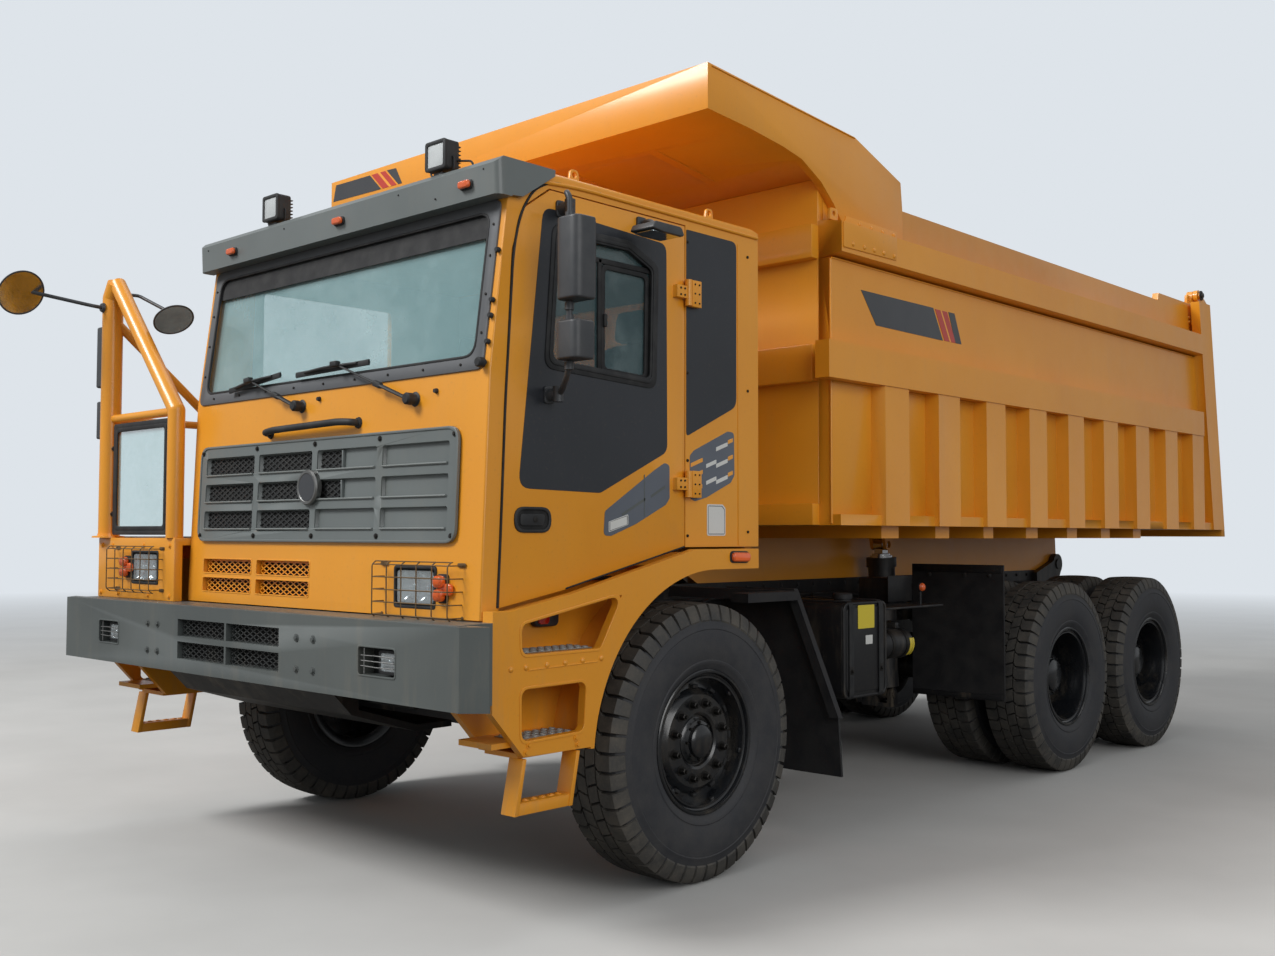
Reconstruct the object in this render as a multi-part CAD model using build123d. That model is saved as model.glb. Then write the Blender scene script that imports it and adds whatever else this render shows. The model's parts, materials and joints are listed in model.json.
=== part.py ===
"""Three-axle mining dump truck: every piece is its own named solid.

Millimetres. X points to the truck's left, the truck faces -Y, Z is up and the
tyres stand on Z = 0. Places along the truck are measured from the front axle
and moved by ORIGIN_Y at the end, so that the origin is under the middle.
"""
from build123d import *
from math import asin, atan2, cos, degrees, hypot, pi, radians, sin, sqrt
import os

# ---------------------------------------------------------------- clearances
SEAT = 0.3              # between curved or moving faces that sit together
PIN_FIT = 0.08          # radial clearance of a hinge pin in its bore
GAP = 6.0               # between neighbouring pieces that move past each other

# ---------------------------------------------------------------- wheels
TYRE_R = 685.0          # out to the flat tops of the lugs
TYRE_W = 376.0
LUGS = 24               # round the tyre, each standing for two blocks of its tread
LUG_DEPTH = 24.0
LUG_GAP = 28.0
TYRE_SIDES = 26
SIDEWALL_R = 500.0      # where the flat of the sidewall ends and the slope to the rim starts
RIM_R = 330.0           # seat of the bead
FLANGE_R = 358.0
FLANGE_T = 15.0
RIM_W = 330.0           # over both flanges
RIM_WALL = 25.0
AXLE_Z = TYRE_R
FRONT_TRACK = 2924.0    # between the middles of the front tyres
DUAL_TRACK = 2414.0     # between the middles of the twin pairs
DUAL_SPACING = 470.0
MID_AXLE_Y = 4130.0
TANDEM = 1527.0
REAR_AXLE_Y = MID_AXLE_Y + TANDEM
HUB_R = 165.0
FRONT_HUB_OUT = 150.0   # how far the front hub stands out from the wheel's middle
REAR_HUB_OUT = 60.0
FRONT_DISC_X = 62.0     # front disc from the wheel's middle, outwards
REAR_DISC_X = -95.0     # disc of the outer twin from that wheel's middle
DISC_T = 24.0
SPINDLE_R = 62.0
DRUM_R = 255.0
DRUM_W = 190.0
ENGINE_BACK = 330.0
SHAFT_R = 55.0
SHAFT_Z = 960.0         # where the engine's shaft leaves it
SHAFT_FLANGE_R = 85.0
SHAFT_FLANGE_T = 50.0

# ---------------------------------------------------------------- frame
RAIL_IN = 380.0
RAIL_W = 90.0
RAIL_OUT = RAIL_IN + RAIL_W
RAIL_Z = (1060.0, 1400.0)
CROSS_W = 130.0
CROSS_Y = (-1250.0, 1180.0, 2250.0, 3500.0, 4893.5, 6020.0)
CHEEK_T = 50.0

# ---------------------------------------------------------------- bumper
BUMPER_FRONT = -1690.0
BUMPER_BACK = -1440.0
BUMPER_HALF = 1865.0
BUMPER_Z = (1004.0, 1340.0)
BUMPER_CORNER = 84.0
WING_EDGE = 6.0         # flat edge of the bumper's outer ends, behind their corner
POCKET_DEEP = 90.0
POCKET_X = ((-1360.0, -1126.0), (1106.0, 1367.0))       # fog lamp pockets
POCKET_Z = (1108.0, 1228.0)
MESH_X = ((-470.0, -8.0), (8.0, 480.0))                 # windows over the expanded mesh
MESH_Z = ((1072.0, 1158.0), (1186.0, 1272.0))

# ---------------------------------------------------------------- cab
CAB_L = 1620.0
CAB_R = -830.0
WALL = 50.0
CAB_BASE_Z = 1346.0
CAB_FRONT = ((-1450.0, CAB_BASE_Z), (-1410.0, 2400.0), (-1310.0, 3150.0))   # y, z
CAB_BACK = 430.0
ROOF_Z = 3250.0
ROOF_T = 60.0
FLOOR_Z = (1560.0, 1620.0)
SCREEN_Z = (2405.0, 3140.0)
SCREEN_SIDE = 58.0      # width of the pillar beside the windscreen
GLASS_T = 12.0
VISOR_Z = (3146.0, 3310.0)
VISOR_FRONT = -1392.0
VISOR_SIDE = 28.0       # how far the visor's cheeks stand out past the cab
CHEEK_BACK = -1060.0
CHEEK_FOOT = -1249.0    # where the cheek's lower edge starts to rise
SILL_Z = 1645.0         # under the panel behind the door

# door outline, y and z, from its lower front corner round to its lower back
DOOR_EDGE = ((-1345.0, 1395.0), (-1318.0, 2280.0), (-1282.0, 2920.0), (-1215.0, 3120.0),
             (-1065.0, 3225.0), (-158.0, 3225.0), (-158.0, SILL_Z), (-974.0, 1459.0))
WINDOW_EDGE = ((-1062.0, 2464.0), (-401.0, 2433.0), (-388.0, 2975.0), (-560.0, 3050.0),
               (-1020.0, 3050.0))

# ---------------------------------------------------------------- fenders
FENDER_X = CAB_L + 70.0
FENDER_GAP = 10.0       # between the door's foot and the fender's top
PLATE = 40.0
STEP_IN = CAB_L - 220.0  # inner side of the step well
ARCH_R = 850.0
FENDER_FLAT_Z = AXLE_Z + ARCH_R
FENDER_BACK = 341.0
FENDER_FOOT = ((-1440.0, 965.0), (-1266.0, 773.0))
FENDER_FOOT_Z = 761.0
STIRRUP_W = 90.0
STEP_HOLES = (((-1281.0, 1324.0), (-670.0, 1432.0), (-812.0, 1199.0), (-1276.0, 1199.0)),
              ((-1279.0, 1053.0), (-900.0, 1058.0), (-915.0, 846.0), (-1277.0, 837.0)))
PLATFORM_X = -1740.0
PLATFORM_FRONT = -1530.0
PLATFORM_Z = 1682.0

# ---------------------------------------------------------------- bed
BED_FRONT = 1000.0
BED_Z = 1760.0          # underside of the floor
FLOOR_T = 80.0
SHEET_X = 1690.0        # outer face of the side sheet
SHEET_T = 85.0
BED_IN = SHEET_X - SHEET_T  # inner face of the sides
UPPER_X = 1655.0        # outer face of the side above the top rail
RIB_X = 1773.0          # outer face of the ribs and rails
RIB_W = 300.0
RIB_PITCH = 597.0
RIB_Y = 1396.0
RIB_TOP = 2560.0
MID_RAIL_Z = (2560.0, 2765.0)
TOP_RAIL_Z = (3250.0, 3440.0)
RAIL_CAP_Z = 3463.0     # where the sloping cap of the top rail meets the side
SIDE_TOP = 3660.0
BACK_EDGE = ((6953.0, BED_Z), (6690.0, 3722.0))     # y, z of the leaning back edge
POST_W = 260.0
FOOT_DROP = 73.0        # cross-beams under the floor
FOOT_Y = ((1515.0, 1700.0), (2124.0, 2291.0), (2732.0, 2862.0), (3327.0, 3501.0),
          (3967.0, 4127.0), (4546.0, 4703.0), (5148.0, 5294.0))
TILT_PIVOT = (6300.0, 1450.0)   # y, z
TILT_EAR_R = 90.0
TILT_PIN_R = 45.0
CANOPY_FRONT = -21.0
CANOPY_T = 45.0
CANOPY_BACK = 1810.0
CANOPY_TOP = ((CANOPY_FRONT, 4078.0), (1296.0, 3997.0), (1791.0, 3830.0), (CANOPY_BACK, SIDE_TOP))
CANOPY_LOW = ((1176.0, RAIL_CAP_Z), (1082.0, 3569.0), (959.0, 3670.0), (779.0, 3757.0),
              (605.0, 3789.0), (328.0, 3819.0), (CANOPY_FRONT, 3842.0))
GATE_PIVOT = (6610.0, 3800.0)   # y, z
GATE_T = 90.0
GATE_ARM_T = 36.0
GATE_PIN_R = 28.0

# ---------------------------------------------------------------- hoist
HOIST_X = 640.0
HOIST_FOOT = (3200.0, 560.0)    # y, z of the lower pin
HOIST_EYE = (3150.0, 1640.0)    # y, z of the upper pin, bed down
HOIST_R = (96.0, 80.0, 66.0, 52.0)
HOIST_STEP = 14.0               # how far each stage stands out of the last
EYE_R = 48.0
BARREL_LOW = EYE_R + 8.0         # the barrel's foot above its pin
HEAD_ROOM = 95.0                # from the barrel's top to the upper pin, bed down
HOIST_DRIFT = 52.0              # room for the eye to wander from its pin in mid travel
EYE_W = 70.0
HOIST_PIN_R = 26.0

# ---------------------------------------------------------------- front axle
KINGPIN_IN = 247.0      # from the middle of the tyre in to the kingpin
KINGPIN_X = FRONT_TRACK / 2 - KINGPIN_IN
KINGPIN_R = 25.0
BEAM_Z = (600.0, 770.0)
BEAM_HALF = 70.0

MIRROR_REACH = CAB_L + 340.0    # how far the left mirrors stand out
RIGHT_REACH = 220.0 - PLATFORM_X
MIRROR_FRONT = -2089.0          # front edge of the round mirror on the right
ROUND_R = 135.0
ROUND_T = 28.0
ROUND_Z = 3095.0
ROUND_FACING = (0.8813, 0.1025, -0.4612)    # it looks down beside the front wheel
INNER_R = 115.0
INNER_T = 20.0
INNER_PLACE = (-1236.0, -1350.0, 2940.0)
INNER_FACING = (0.629, -0.02, -0.777)


GATE_LOW = BED_Z - 60.0
GATE_RIB = 50.0


def back_y(z):
    """The bed's leaning back edge at a height."""
    (y0, z0), (y1, z1) = BACK_EDGE
    return y0 + (y1 - y0) * (z - z0) / (z1 - z0)


GATE_BACK = back_y(GATE_LOW) + GAP + GATE_T + GATE_RIB
ORIGIN_Y = (MIRROR_FRONT + GATE_BACK) / 2


# ================================================================ shapes
def block(x, y, z):
    """A box between two values on each axis."""
    size = [b - a for a, b in (x, y, z)]
    middle = [(a + b) / 2 for a, b in (x, y, z)]
    return Pos(*middle) * Box(*size)


def prism_x(outline, x0, x1):
    """A y-z outline extended from x0 to x1."""
    return Pos(x0, 0, 0) * extrude(Plane.YZ * Polygon(*outline, align=None), amount=x1 - x0, dir=(1, 0, 0))


def prism_y(outline, y0, y1):
    """An x-z outline extended from y0 to y1."""
    return Pos(0, y0, 0) * extrude(Plane.XZ * Polygon(*outline, align=None), amount=y1 - y0, dir=(0, 1, 0))


def prism_z(outline, z0, z1):
    """An x-y outline extended from z0 to z1."""
    return Pos(0, 0, z0) * extrude(Plane.XY * Polygon(*outline, align=None), amount=z1 - z0, dir=(0, 0, 1))


def rod(start, end, radius):
    """A round bar between two points."""
    line = Vector(*end) - Vector(*start)
    return Plane(origin=start, z_dir=line) * Cylinder(
        radius, line.length, align=(Align.CENTER, Align.CENTER, Align.MIN))


def tube_run(points, radius):
    """Round bars from point to point with a ball at each bend."""
    pieces = [rod(a, b, radius) for a, b in zip(points, points[1:])]
    pieces += [Pos(*p) * Sphere(radius) for p in points[1:-1]]
    return fuse(pieces)


def disc_x(y, z, radius, x0, x1):
    """A round disc about a line along X."""
    return Pos((x0 + x1) / 2, y, z) * Rot(0, 90, 0) * Cylinder(radius, x1 - x0)


def turned(profile, x, y, z):
    """A profile of distance along X and radius, turned about X at a place."""
    return Pos(x, y, z) * revolve(make_face(Polyline(*profile, close=True)), axis=Axis.X)


def fuse(pieces):
    """All pieces as one solid."""
    return pieces[0].fuse(*pieces[1:]) if len(pieces) > 1 else pieces[0]


def mirrored(shape):
    """The same piece on the other side of the truck."""
    return mirror(shape, about=Plane.YZ)


def group(pieces):
    """Pieces that share a node as solids of their own."""
    return Compound([solid for piece in pieces for solid in piece.solids()])


def front_y(z):
    """The cab's front face at a height."""
    (y0, z0), (y1, z1), (y2, z2) = CAB_FRONT
    if z <= z1:
        return y0 + (y1 - y0) * (z - z0) / (z1 - z0)
    return y1 + (y2 - y1) * (z - z1) / (z2 - z1)


# ================================================================ wheels
def many_sided(inradius, x):
    """A flat many-sided ring outline about the X axis, its sides at a distance from it."""
    return Plane.YZ.offset(x) * RegularPolygon(inradius, TYRE_SIDES, major_radius=False)


def lug_outline():
    """Side view of the lugs: flat tops at the tyre's radius, one of them straight below the axle."""
    pitch = 2 * pi / LUGS
    half_top = pitch / 2 - asin(LUG_GAP / 2 / TYRE_R)
    corners = ((-half_top, TYRE_R - LUG_DEPTH), (-half_top, TYRE_R / cos(half_top)),
               (half_top, TYRE_R / cos(half_top)), (half_top, TYRE_R - LUG_DEPTH))
    turns = [(k * pitch - pi / 2 + angle, r) for k in range(LUGS) for angle, r in corners]
    return [(r * cos(turn), r * sin(turn)) for turn, r in turns]


def tyre_shape():
    """A tyre at the origin, of flat faces alone, so that all ten stay light: lugs, sides and bead."""
    half = TYRE_W / 2
    seat = RIM_W / 2 - FLANGE_T - SEAT
    bore = RIM_R + SEAT
    shape = prism_x(lug_outline(), -half, half) - extrude(many_sided(bore, -half - 1), amount=TYRE_W + 2)
    clear = FLANGE_R + 1
    bead = seat - (clear - bore) * (half - seat) / (SIDEWALL_R - clear)     # the slope passes the rim's flange
    for side in (-1, 1):
        shape -= loft([many_sided(bore, side * bead), many_sided(SIDEWALL_R, side * half)], ruled=True)
    return shape


def tyre(x, y):
    return Pos(x, y, AXLE_Z) * TYRE


def rim(x, y, disc_x0, hub):
    """Rim with its disc; hub is (inner end, outer end, cap end) from the middle."""
    edge = RIM_W / 2
    inner = RIM_R - RIM_WALL
    barrel = turned([(-edge, inner), (-edge, FLANGE_R), (-edge + FLANGE_T, FLANGE_R),
                     (-edge + FLANGE_T, RIM_R), (edge - FLANGE_T, RIM_R), (edge - FLANGE_T, FLANGE_R),
                     (edge, FLANGE_R), (edge, inner)], x, y, AXLE_Z)
    disc = turned([(disc_x0, 0), (disc_x0, inner + 1), (disc_x0 + DISC_T, inner + 1),
                   (disc_x0 + DISC_T, 0)], x, y, AXLE_Z)
    start, end, cap = hub
    body = turned([(start, 0), (start, HUB_R), (end, HUB_R - 8), (end, HUB_R * 0.6),
                   (cap, HUB_R * 0.55), (cap, 0)], x, y, AXLE_Z)
    return fuse([barrel, disc, body])


def front_rim():
    x = FRONT_TRACK / 2
    wheel = rim(x, 0, FRONT_DISC_X, (-60, FRONT_HUB_OUT - 45, FRONT_HUB_OUT))
    return wheel - disc_x(0, AXLE_Z, SPINDLE_R + SEAT, x - 70, x + FRONT_HUB_OUT - 70)


def twin_rims(y):
    inner_x = DUAL_TRACK / 2 - DUAL_SPACING / 2
    outer_x = DUAL_TRACK / 2 + DUAL_SPACING / 2
    disc_out = REAR_DISC_X
    disc_in = DUAL_SPACING + REAR_DISC_X - DISC_T     # seen from the inner wheel's middle
    outer = rim(outer_x, y, disc_out, (-150, REAR_HUB_OUT - 35, REAR_HUB_OUT))
    edge = RIM_W / 2
    hollow = RIM_R - RIM_WALL
    barrel = turned([(-edge, hollow), (-edge, FLANGE_R), (-edge + FLANGE_T, FLANGE_R),
                     (-edge + FLANGE_T, RIM_R), (edge - FLANGE_T, RIM_R), (edge - FLANGE_T, FLANGE_R),
                     (edge, FLANGE_R), (edge, RIM_R - 5), (disc_in, RIM_R - 5), (disc_in, hollow)],
                    inner_x, y, AXLE_Z)
    disc = turned([(disc_in - DISC_T, SPINDLE_R + SEAT), (disc_in - DISC_T, hollow + 1),
                   (disc_in, hollow + 1), (disc_in, SPINDLE_R + SEAT)], inner_x, y, AXLE_Z)
    drum = turned([(-DRUM_W / 2, 0), (-DRUM_W / 2, DRUM_R), (DRUM_W / 2, DRUM_R),
                   (DRUM_W / 2, HUB_R), (disc_in, HUB_R), (disc_in, 0)], inner_x, y, AXLE_Z)
    bridge = disc_x(y, AXLE_Z, HUB_R, inner_x + disc_in - DISC_T, outer_x + disc_out + DISC_T)
    bore = disc_x(y, AXLE_Z, SPINDLE_R + SEAT, inner_x - DRUM_W, outer_x - 60)
    return fuse([outer, barrel, disc, drum, bridge]) - bore


def twin_tyres(y):
    return group([tyre(DUAL_TRACK / 2 - DUAL_SPACING / 2, y), tyre(DUAL_TRACK / 2 + DUAL_SPACING / 2, y)])


# ================================================================ axles and frame
def knuckle():
    top = (BEAM_Z[1] + GAP, BEAM_Z[1] + GAP + 60)
    low = (BEAM_Z[0] - GAP - 60, BEAM_Z[0] - GAP)
    plate_x = (KINGPIN_X + 82, KINGPIN_X + 122)
    arms = [block((KINGPIN_X, plate_x[0] + 1), (-60, 60), z) for z in (top, low)]
    arms += [Pos(KINGPIN_X, 0, sum(z) / 2) * Cylinder(60, z[1] - z[0]) for z in (top, low)]
    plate = block(plate_x, (-80, 80), (low[0], top[1]))
    spindle = disc_x(0, AXLE_Z, SPINDLE_R, plate_x[0], FRONT_TRACK / 2 + FRONT_HUB_OUT - 75)
    pin = Pos(KINGPIN_X, 0, (low[0] + top[1]) / 2) * Cylinder(KINGPIN_R, top[1] - low[0])
    arm = block((KINGPIN_X - 40, KINGPIN_X + 40), (55, 300), low)
    return fuse(arms + [plate, spindle, pin, arm])


def front_axle():
    beam = block((-BEAM_SPAN, BEAM_SPAN), (-BEAM_HALF, BEAM_HALF), BEAM_Z)
    bosses = [Pos(s * KINGPIN_X, 0, sum(BEAM_Z) / 2) * Cylinder(62, BEAM_Z[1] - BEAM_Z[0]) for s in (-1, 1)]
    axle = fuse([beam] + bosses)
    for side in (-1, 1):
        axle -= Pos(side * KINGPIN_X, 0, AXLE_Z) * Cylinder(KINGPIN_R + PIN_FIT, 400)
    return axle


BEAM_SPAN = KINGPIN_X - 30
SPRING_FRONT = (-860.0, 860.0)
SPRING_Z = (BEAM_Z[1], BEAM_Z[1] + 110)


def front_springs():
    """One leaf pack under each rail, with its hangers."""
    x = (RAIL_IN + 6, RAIL_OUT - 6)
    low, high = SPRING_Z
    y0, y1 = SPRING_FRONT
    pack = prism_x([(y0, high + 60), (-150, low), (150, low), (y1, high + 60), (y1, high + 90),
                    (200, high), (-200, high), (y0, high + 90)], *x)
    hangers = [block(x, (y - 55, y + 55), (high + 58, RAIL_Z[0])) for y in (y0 + 55, y1 - 55)]
    spring = fuse([pack] + hangers)
    return group([spring, mirrored(spring)])


def driven_axle(y):
    tube_end = DUAL_TRACK / 2 - DUAL_SPACING / 2 - DRUM_W / 2 - GAP
    tube = disc_x(y, AXLE_Z, 108, -tube_end, tube_end)
    bowl = turned([(-235, 0), (-235, 130), (-150, 245), (150, 245), (235, 130), (235, 0)], 0, y, AXLE_Z)
    nose = Pos(0, y - 250, AXLE_Z + 20) * Rot(90, 0, 0) * Cylinder(120, 200)
    spindle = disc_x(y, AXLE_Z, SPINDLE_R, -TWIN_SPINDLE, TWIN_SPINDLE)
    output = Pos(0, y + 250, AXLE_Z + 20) * Rot(90, 0, 0) * Cylinder(SHAFT_FLANGE_R, 200)
    return fuse([tube, bowl, nose, spindle] + ([output] if y == MID_AXLE_Y else []))


def prop_shafts():
    """From the engine to the first driven axle, and from that to the second."""
    z = AXLE_Z + 20
    runs = []
    for start, end in (((ENGINE_BACK, SHAFT_Z), (MID_AXLE_Y - 350, z)), ((MID_AXLE_Y + 350, z), (REAR_AXLE_Y - 350, z))):
        flanges = [Pos(0, y, level) * Rot(90, 0, 0) * Cylinder(SHAFT_FLANGE_R, SHAFT_FLANGE_T)
                   for y, level in ((start[0] + SHAFT_FLANGE_T / 2, start[1]), (end[0] - SHAFT_FLANGE_T / 2, end[1]))]
        shaft = rod((0, start[0] + SHAFT_FLANGE_T / 2, start[1]), (0, end[0] - SHAFT_FLANGE_T / 2, end[1]), SHAFT_R)
        runs.append(fuse(flanges + [shaft]))
    return group(runs)


TWIN_SPINDLE = DUAL_TRACK / 2 + DUAL_SPACING / 2 - 65
BOGIE_Y = MID_AXLE_Y + TANDEM / 2
BOGIE_X = (RAIL_OUT + 20, RAIL_OUT + 130)
BOGIE_SEAT = AXLE_Z + 140


def bogie():
    """Leaf packs over both driven axles and their trunnion brackets."""
    y0, y1 = MID_AXLE_Y - 90, REAR_AXLE_Y + 90
    pack = prism_x([(y0, BOGIE_SEAT), (y1, BOGIE_SEAT), (y1, BOGIE_SEAT + 40), (BOGIE_Y + 220, BOGIE_SEAT + 170),
                    (BOGIE_Y - 220, BOGIE_SEAT + 170), (y0, BOGIE_SEAT + 40)], *BOGIE_X)
    bracket = prism_x([(BOGIE_Y - 130, BOGIE_SEAT + 160), (BOGIE_Y + 130, BOGIE_SEAT + 160),
                       (BOGIE_Y + 260, RAIL_Z[1] - 60), (BOGIE_Y - 260, RAIL_Z[1] - 60)], RAIL_OUT, BOGIE_X[1])
    pads = [block(BOGIE_X, (y - 80, y + 80), (AXLE_Z + 60, BOGIE_SEAT)) for y in (MID_AXLE_Y, REAR_AXLE_Y)]
    side = fuse([pack, bracket] + pads)
    for y in (MID_AXLE_Y, REAR_AXLE_Y):
        side -= disc_x(y, AXLE_Z, 108, BOGIE_X[0] - 10, BOGIE_X[1] + 10)
    return group([side, mirrored(side)])


def chassis():
    y_end = TILT_PIVOT[0] - TILT_EAR_R - 30
    rail = block((RAIL_IN, RAIL_OUT), (BUMPER_BACK, y_end), RAIL_Z)
    rail -= block((RAIL_IN - 1, RAIL_OUT + 1), (BUMPER_BACK - 1, CAB_FRONT[0][0] + WALL + GAP), (BUMPER_Z[1], RAIL_Z[1] + 1))
    cross = [block((-RAIL_IN - 1, RAIL_IN + 1), (y - CROSS_W / 2, y + CROSS_W / 2),
                   (RAIL_Z[0] + 40, RAIL_Z[1] - 40)) for y in CROSS_Y]
    y, z = TILT_PIVOT
    outline = [(y - 420, RAIL_Z[0] + 30), (y_end, RAIL_Z[0] + 30), (y + 70, z - 50),
               (y, z + TILT_EAR_R * 0.9), (y - 110, z + 20), (y - 420, RAIL_Z[1] - 20)]
    lanes = ((RAIL_IN - CHEEK_T, RAIL_IN), (RAIL_OUT, RAIL_OUT + CHEEK_T))
    cheeks = [fuse([prism_x(outline, *lane), disc_x(y, z, TILT_EAR_R, *lane)]) for lane in lanes]
    pin = disc_x(y, z, TILT_PIN_R, lanes[0][0] - 10, lanes[1][1] + 10)
    side = fuse([rail, pin] + cheeks)
    hoist_y, hoist_z = HOIST_FOOT
    inner = (RAIL_OUT, HOIST_X - EYE_W / 2 - GAP)
    outer = (HOIST_X + EYE_W / 2 + GAP, HOIST_X + EYE_W / 2 + GAP + 30)
    hanger = prism_x([(hoist_y - 170, RAIL_Z[0] + 20), (hoist_y + 170, RAIL_Z[0] + 20), (hoist_y + 60, hoist_z - 70),
                      (hoist_y - 60, hoist_z - 70)], inner[0] - 40, inner[0])
    base = block((inner[0] - 1, outer[1]), (hoist_y - EYE_R, hoist_y + EYE_R), (hoist_z - 90, hoist_z - 62))
    ears = []
    for lane in ((inner[0] - 1, inner[1]), outer):
        ears.append(block(lane, (hoist_y - EYE_R, hoist_y + EYE_R), (hoist_z - 90, hoist_z)))
        ears.append(disc_x(hoist_y, hoist_z, EYE_R, *lane))
    hoist_pin = disc_x(hoist_y, hoist_z, HOIST_PIN_R, inner[1] - 20, outer[1] + 8)
    side = fuse([side, hanger, base, hoist_pin] + ears)
    return fuse([side, mirrored(side)] + cross)


def hoist_axis():
    """Where the lower pin is, and the direction from it to the upper pin at rest."""
    dy, dz = HOIST_EYE[0] - HOIST_FOOT[0], HOIST_EYE[1] - HOIST_FOOT[1]
    length = hypot(dy, dz)
    return length, (dy / length, dz / length)


def along(shape):
    """Stand a shape that was made upright on the lower pin along the hoist."""
    _, (ry, rz) = hoist_axis()
    lean = degrees(atan2(-ry, rz))
    return Pos(HOIST_X, HOIST_FOOT[0], HOIST_FOOT[1]) * Rot(lean, 0, 0) * shape


def upright(radius, z0, z1):
    return Pos(0, 0, (z0 + z1) / 2) * Cylinder(radius, z1 - z0)


def barrel_top():
    return hoist_axis()[0] - HEAD_ROOM


def hoist_barrels():
    top = barrel_top()
    body = upright(HOIST_R[0], BARREL_LOW, top)
    collar = upright(HOIST_R[0] + 12, top - 68, top)
    hollow = upright(HOIST_R[1] + SEAT, EYE_R + 40, top + 12)
    eye = fuse([disc_x(0, 0, EYE_R, -EYE_W / 2, EYE_W / 2), block((-EYE_W / 2, EYE_W / 2), (-EYE_R, EYE_R), (0, EYE_R + 30))])
    barrel = along(fuse([body, collar, eye]) - hollow - disc_x(0, 0, HOIST_PIN_R + PIN_FIT, -EYE_W, EYE_W))
    return group([barrel, mirrored(barrel)])


def hoist_stage(index):
    """Tube number 1 or 2, which slides in the one before it."""
    top = barrel_top() + HOIST_STEP * index
    low = EYE_R + 42 + 4 * index
    tube = upright(HOIST_R[index], low, top) - upright(HOIST_R[index + 1] + SEAT, low + 3, top + 5)
    tube = along(tube)
    return group([tube, mirrored(tube)])


def hoist_rods():
    length, _ = hoist_axis()
    neck = EYE_R + HOIST_DRIFT
    ram = upright(HOIST_R[3], EYE_R + 56, length - neck)
    ram = fuse([ram, block((-EYE_W / 2, EYE_W / 2), (-EYE_R + 12, EYE_R - 12), (length - neck - 1, length))])
    eye = disc_x(0, length, EYE_R, -EYE_W / 2, EYE_W / 2)
    bore = disc_x(0, length, HOIST_PIN_R + PIN_FIT, -EYE_W, EYE_W)
    ram = along(fuse([ram, eye]) - bore)
    return group([ram, mirrored(ram)])


# ================================================================ front end
def bumper():
    """Deep in the middle, with a thin wing in front of each fender."""
    c = BUMPER_CORNER
    wing_back = BUMPER_FRONT + c + WING_EDGE
    body = prism_z([(-BUMPER_HALF, wing_back), (-BUMPER_HALF, BUMPER_FRONT + c), (-BUMPER_HALF + c, BUMPER_FRONT),
                    (BUMPER_HALF - c, BUMPER_FRONT), (BUMPER_HALF, BUMPER_FRONT + c), (BUMPER_HALF, wing_back),
                    (FENDER_X, wing_back), (FENDER_X, BUMPER_BACK), (PLATFORM_X, BUMPER_BACK),
                    (PLATFORM_X, wing_back)], *BUMPER_Z)
    deep = (BUMPER_FRONT - 1, BUMPER_FRONT + POCKET_DEEP)
    for x in POCKET_X:
        body -= block(x, deep, POCKET_Z)
    for x in MESH_X:
        for z in MESH_Z:
            body -= block(x, deep, z)
    return body


def skid_plate():
    """Black plate that runs from the bumper down and back under the engine."""
    return prism_x([(-1600, BUMPER_Z[0]), (-1480, 880), (-1120, 770), (-900, 770), (-900, 800), (-1110, 800),
                    (-1440, 900), (-1450, BUMPER_Z[0])], -760, 760)


def engine():
    body = block((-320, 320), (-900, ENGINE_BACK), (830, RAIL_Z[1] + 130))
    feet = [block((-RAIL_IN, RAIL_IN), (y - 50, y + 50), (1150, 1260)) for y in (-700, 150)]
    sump = block((-200, 200), (-700, 150), (780, 831))
    return fuse([body, sump] + feet)


# ================================================================ cab
def cab_front():
    """Front panel over the cab's full width, with its windscreen and grille openings."""
    outline = [(y, z) for y, z in CAB_FRONT] + [(front_y(VISOR_Z[0]) + 4, ROOF_Z), (CAB_FRONT[2][0] + WALL, ROOF_Z)]
    outline += [(y + WALL, z) for y, z in reversed(CAB_FRONT)]
    panel = prism_x(outline, CAB_R, CAB_L)
    screen = block((CAB_R + SCREEN_SIDE, CAB_L - SCREEN_SIDE), CUT_Y, SCREEN_Z)
    grille = block((GRILLE_X[0], GRILLE_X[1]), CUT_Y, GRILLE_Z)
    louvre = [block(x, CUT_Y, z) for x in LOUVRE_X for z in LOUVRE_Z]
    lamp = block(LAMP_X, CUT_Y, LAMP_Z)
    for hole in [screen, grille, lamp] + louvre:
        panel -= hole
    return panel


CUT_Y = (CAB_FRONT[0][0] - 150, CAB_FRONT[2][0] + WALL + 150)    # right through the leaning front panel
GRILLE_X = (-727.0, 1457.0)
GRILLE_Z = (1666.0, 2170.0)
GRILLE_COLUMNS = 4
GRILLE_ROWS = 3
GRILLE_BAR = 46.0
LOUVRE_X = ((-672.0, -190.0), (-140.0, 342.0))
LOUVRE_Z = ((1402.0, 1476.0), (1500.0, 1574.0))
LAMP_X = (1035.0, 1315.0)
LAMP_Z = (1389.0, 1557.0)
LAMP_PROUD = 26.0


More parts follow.
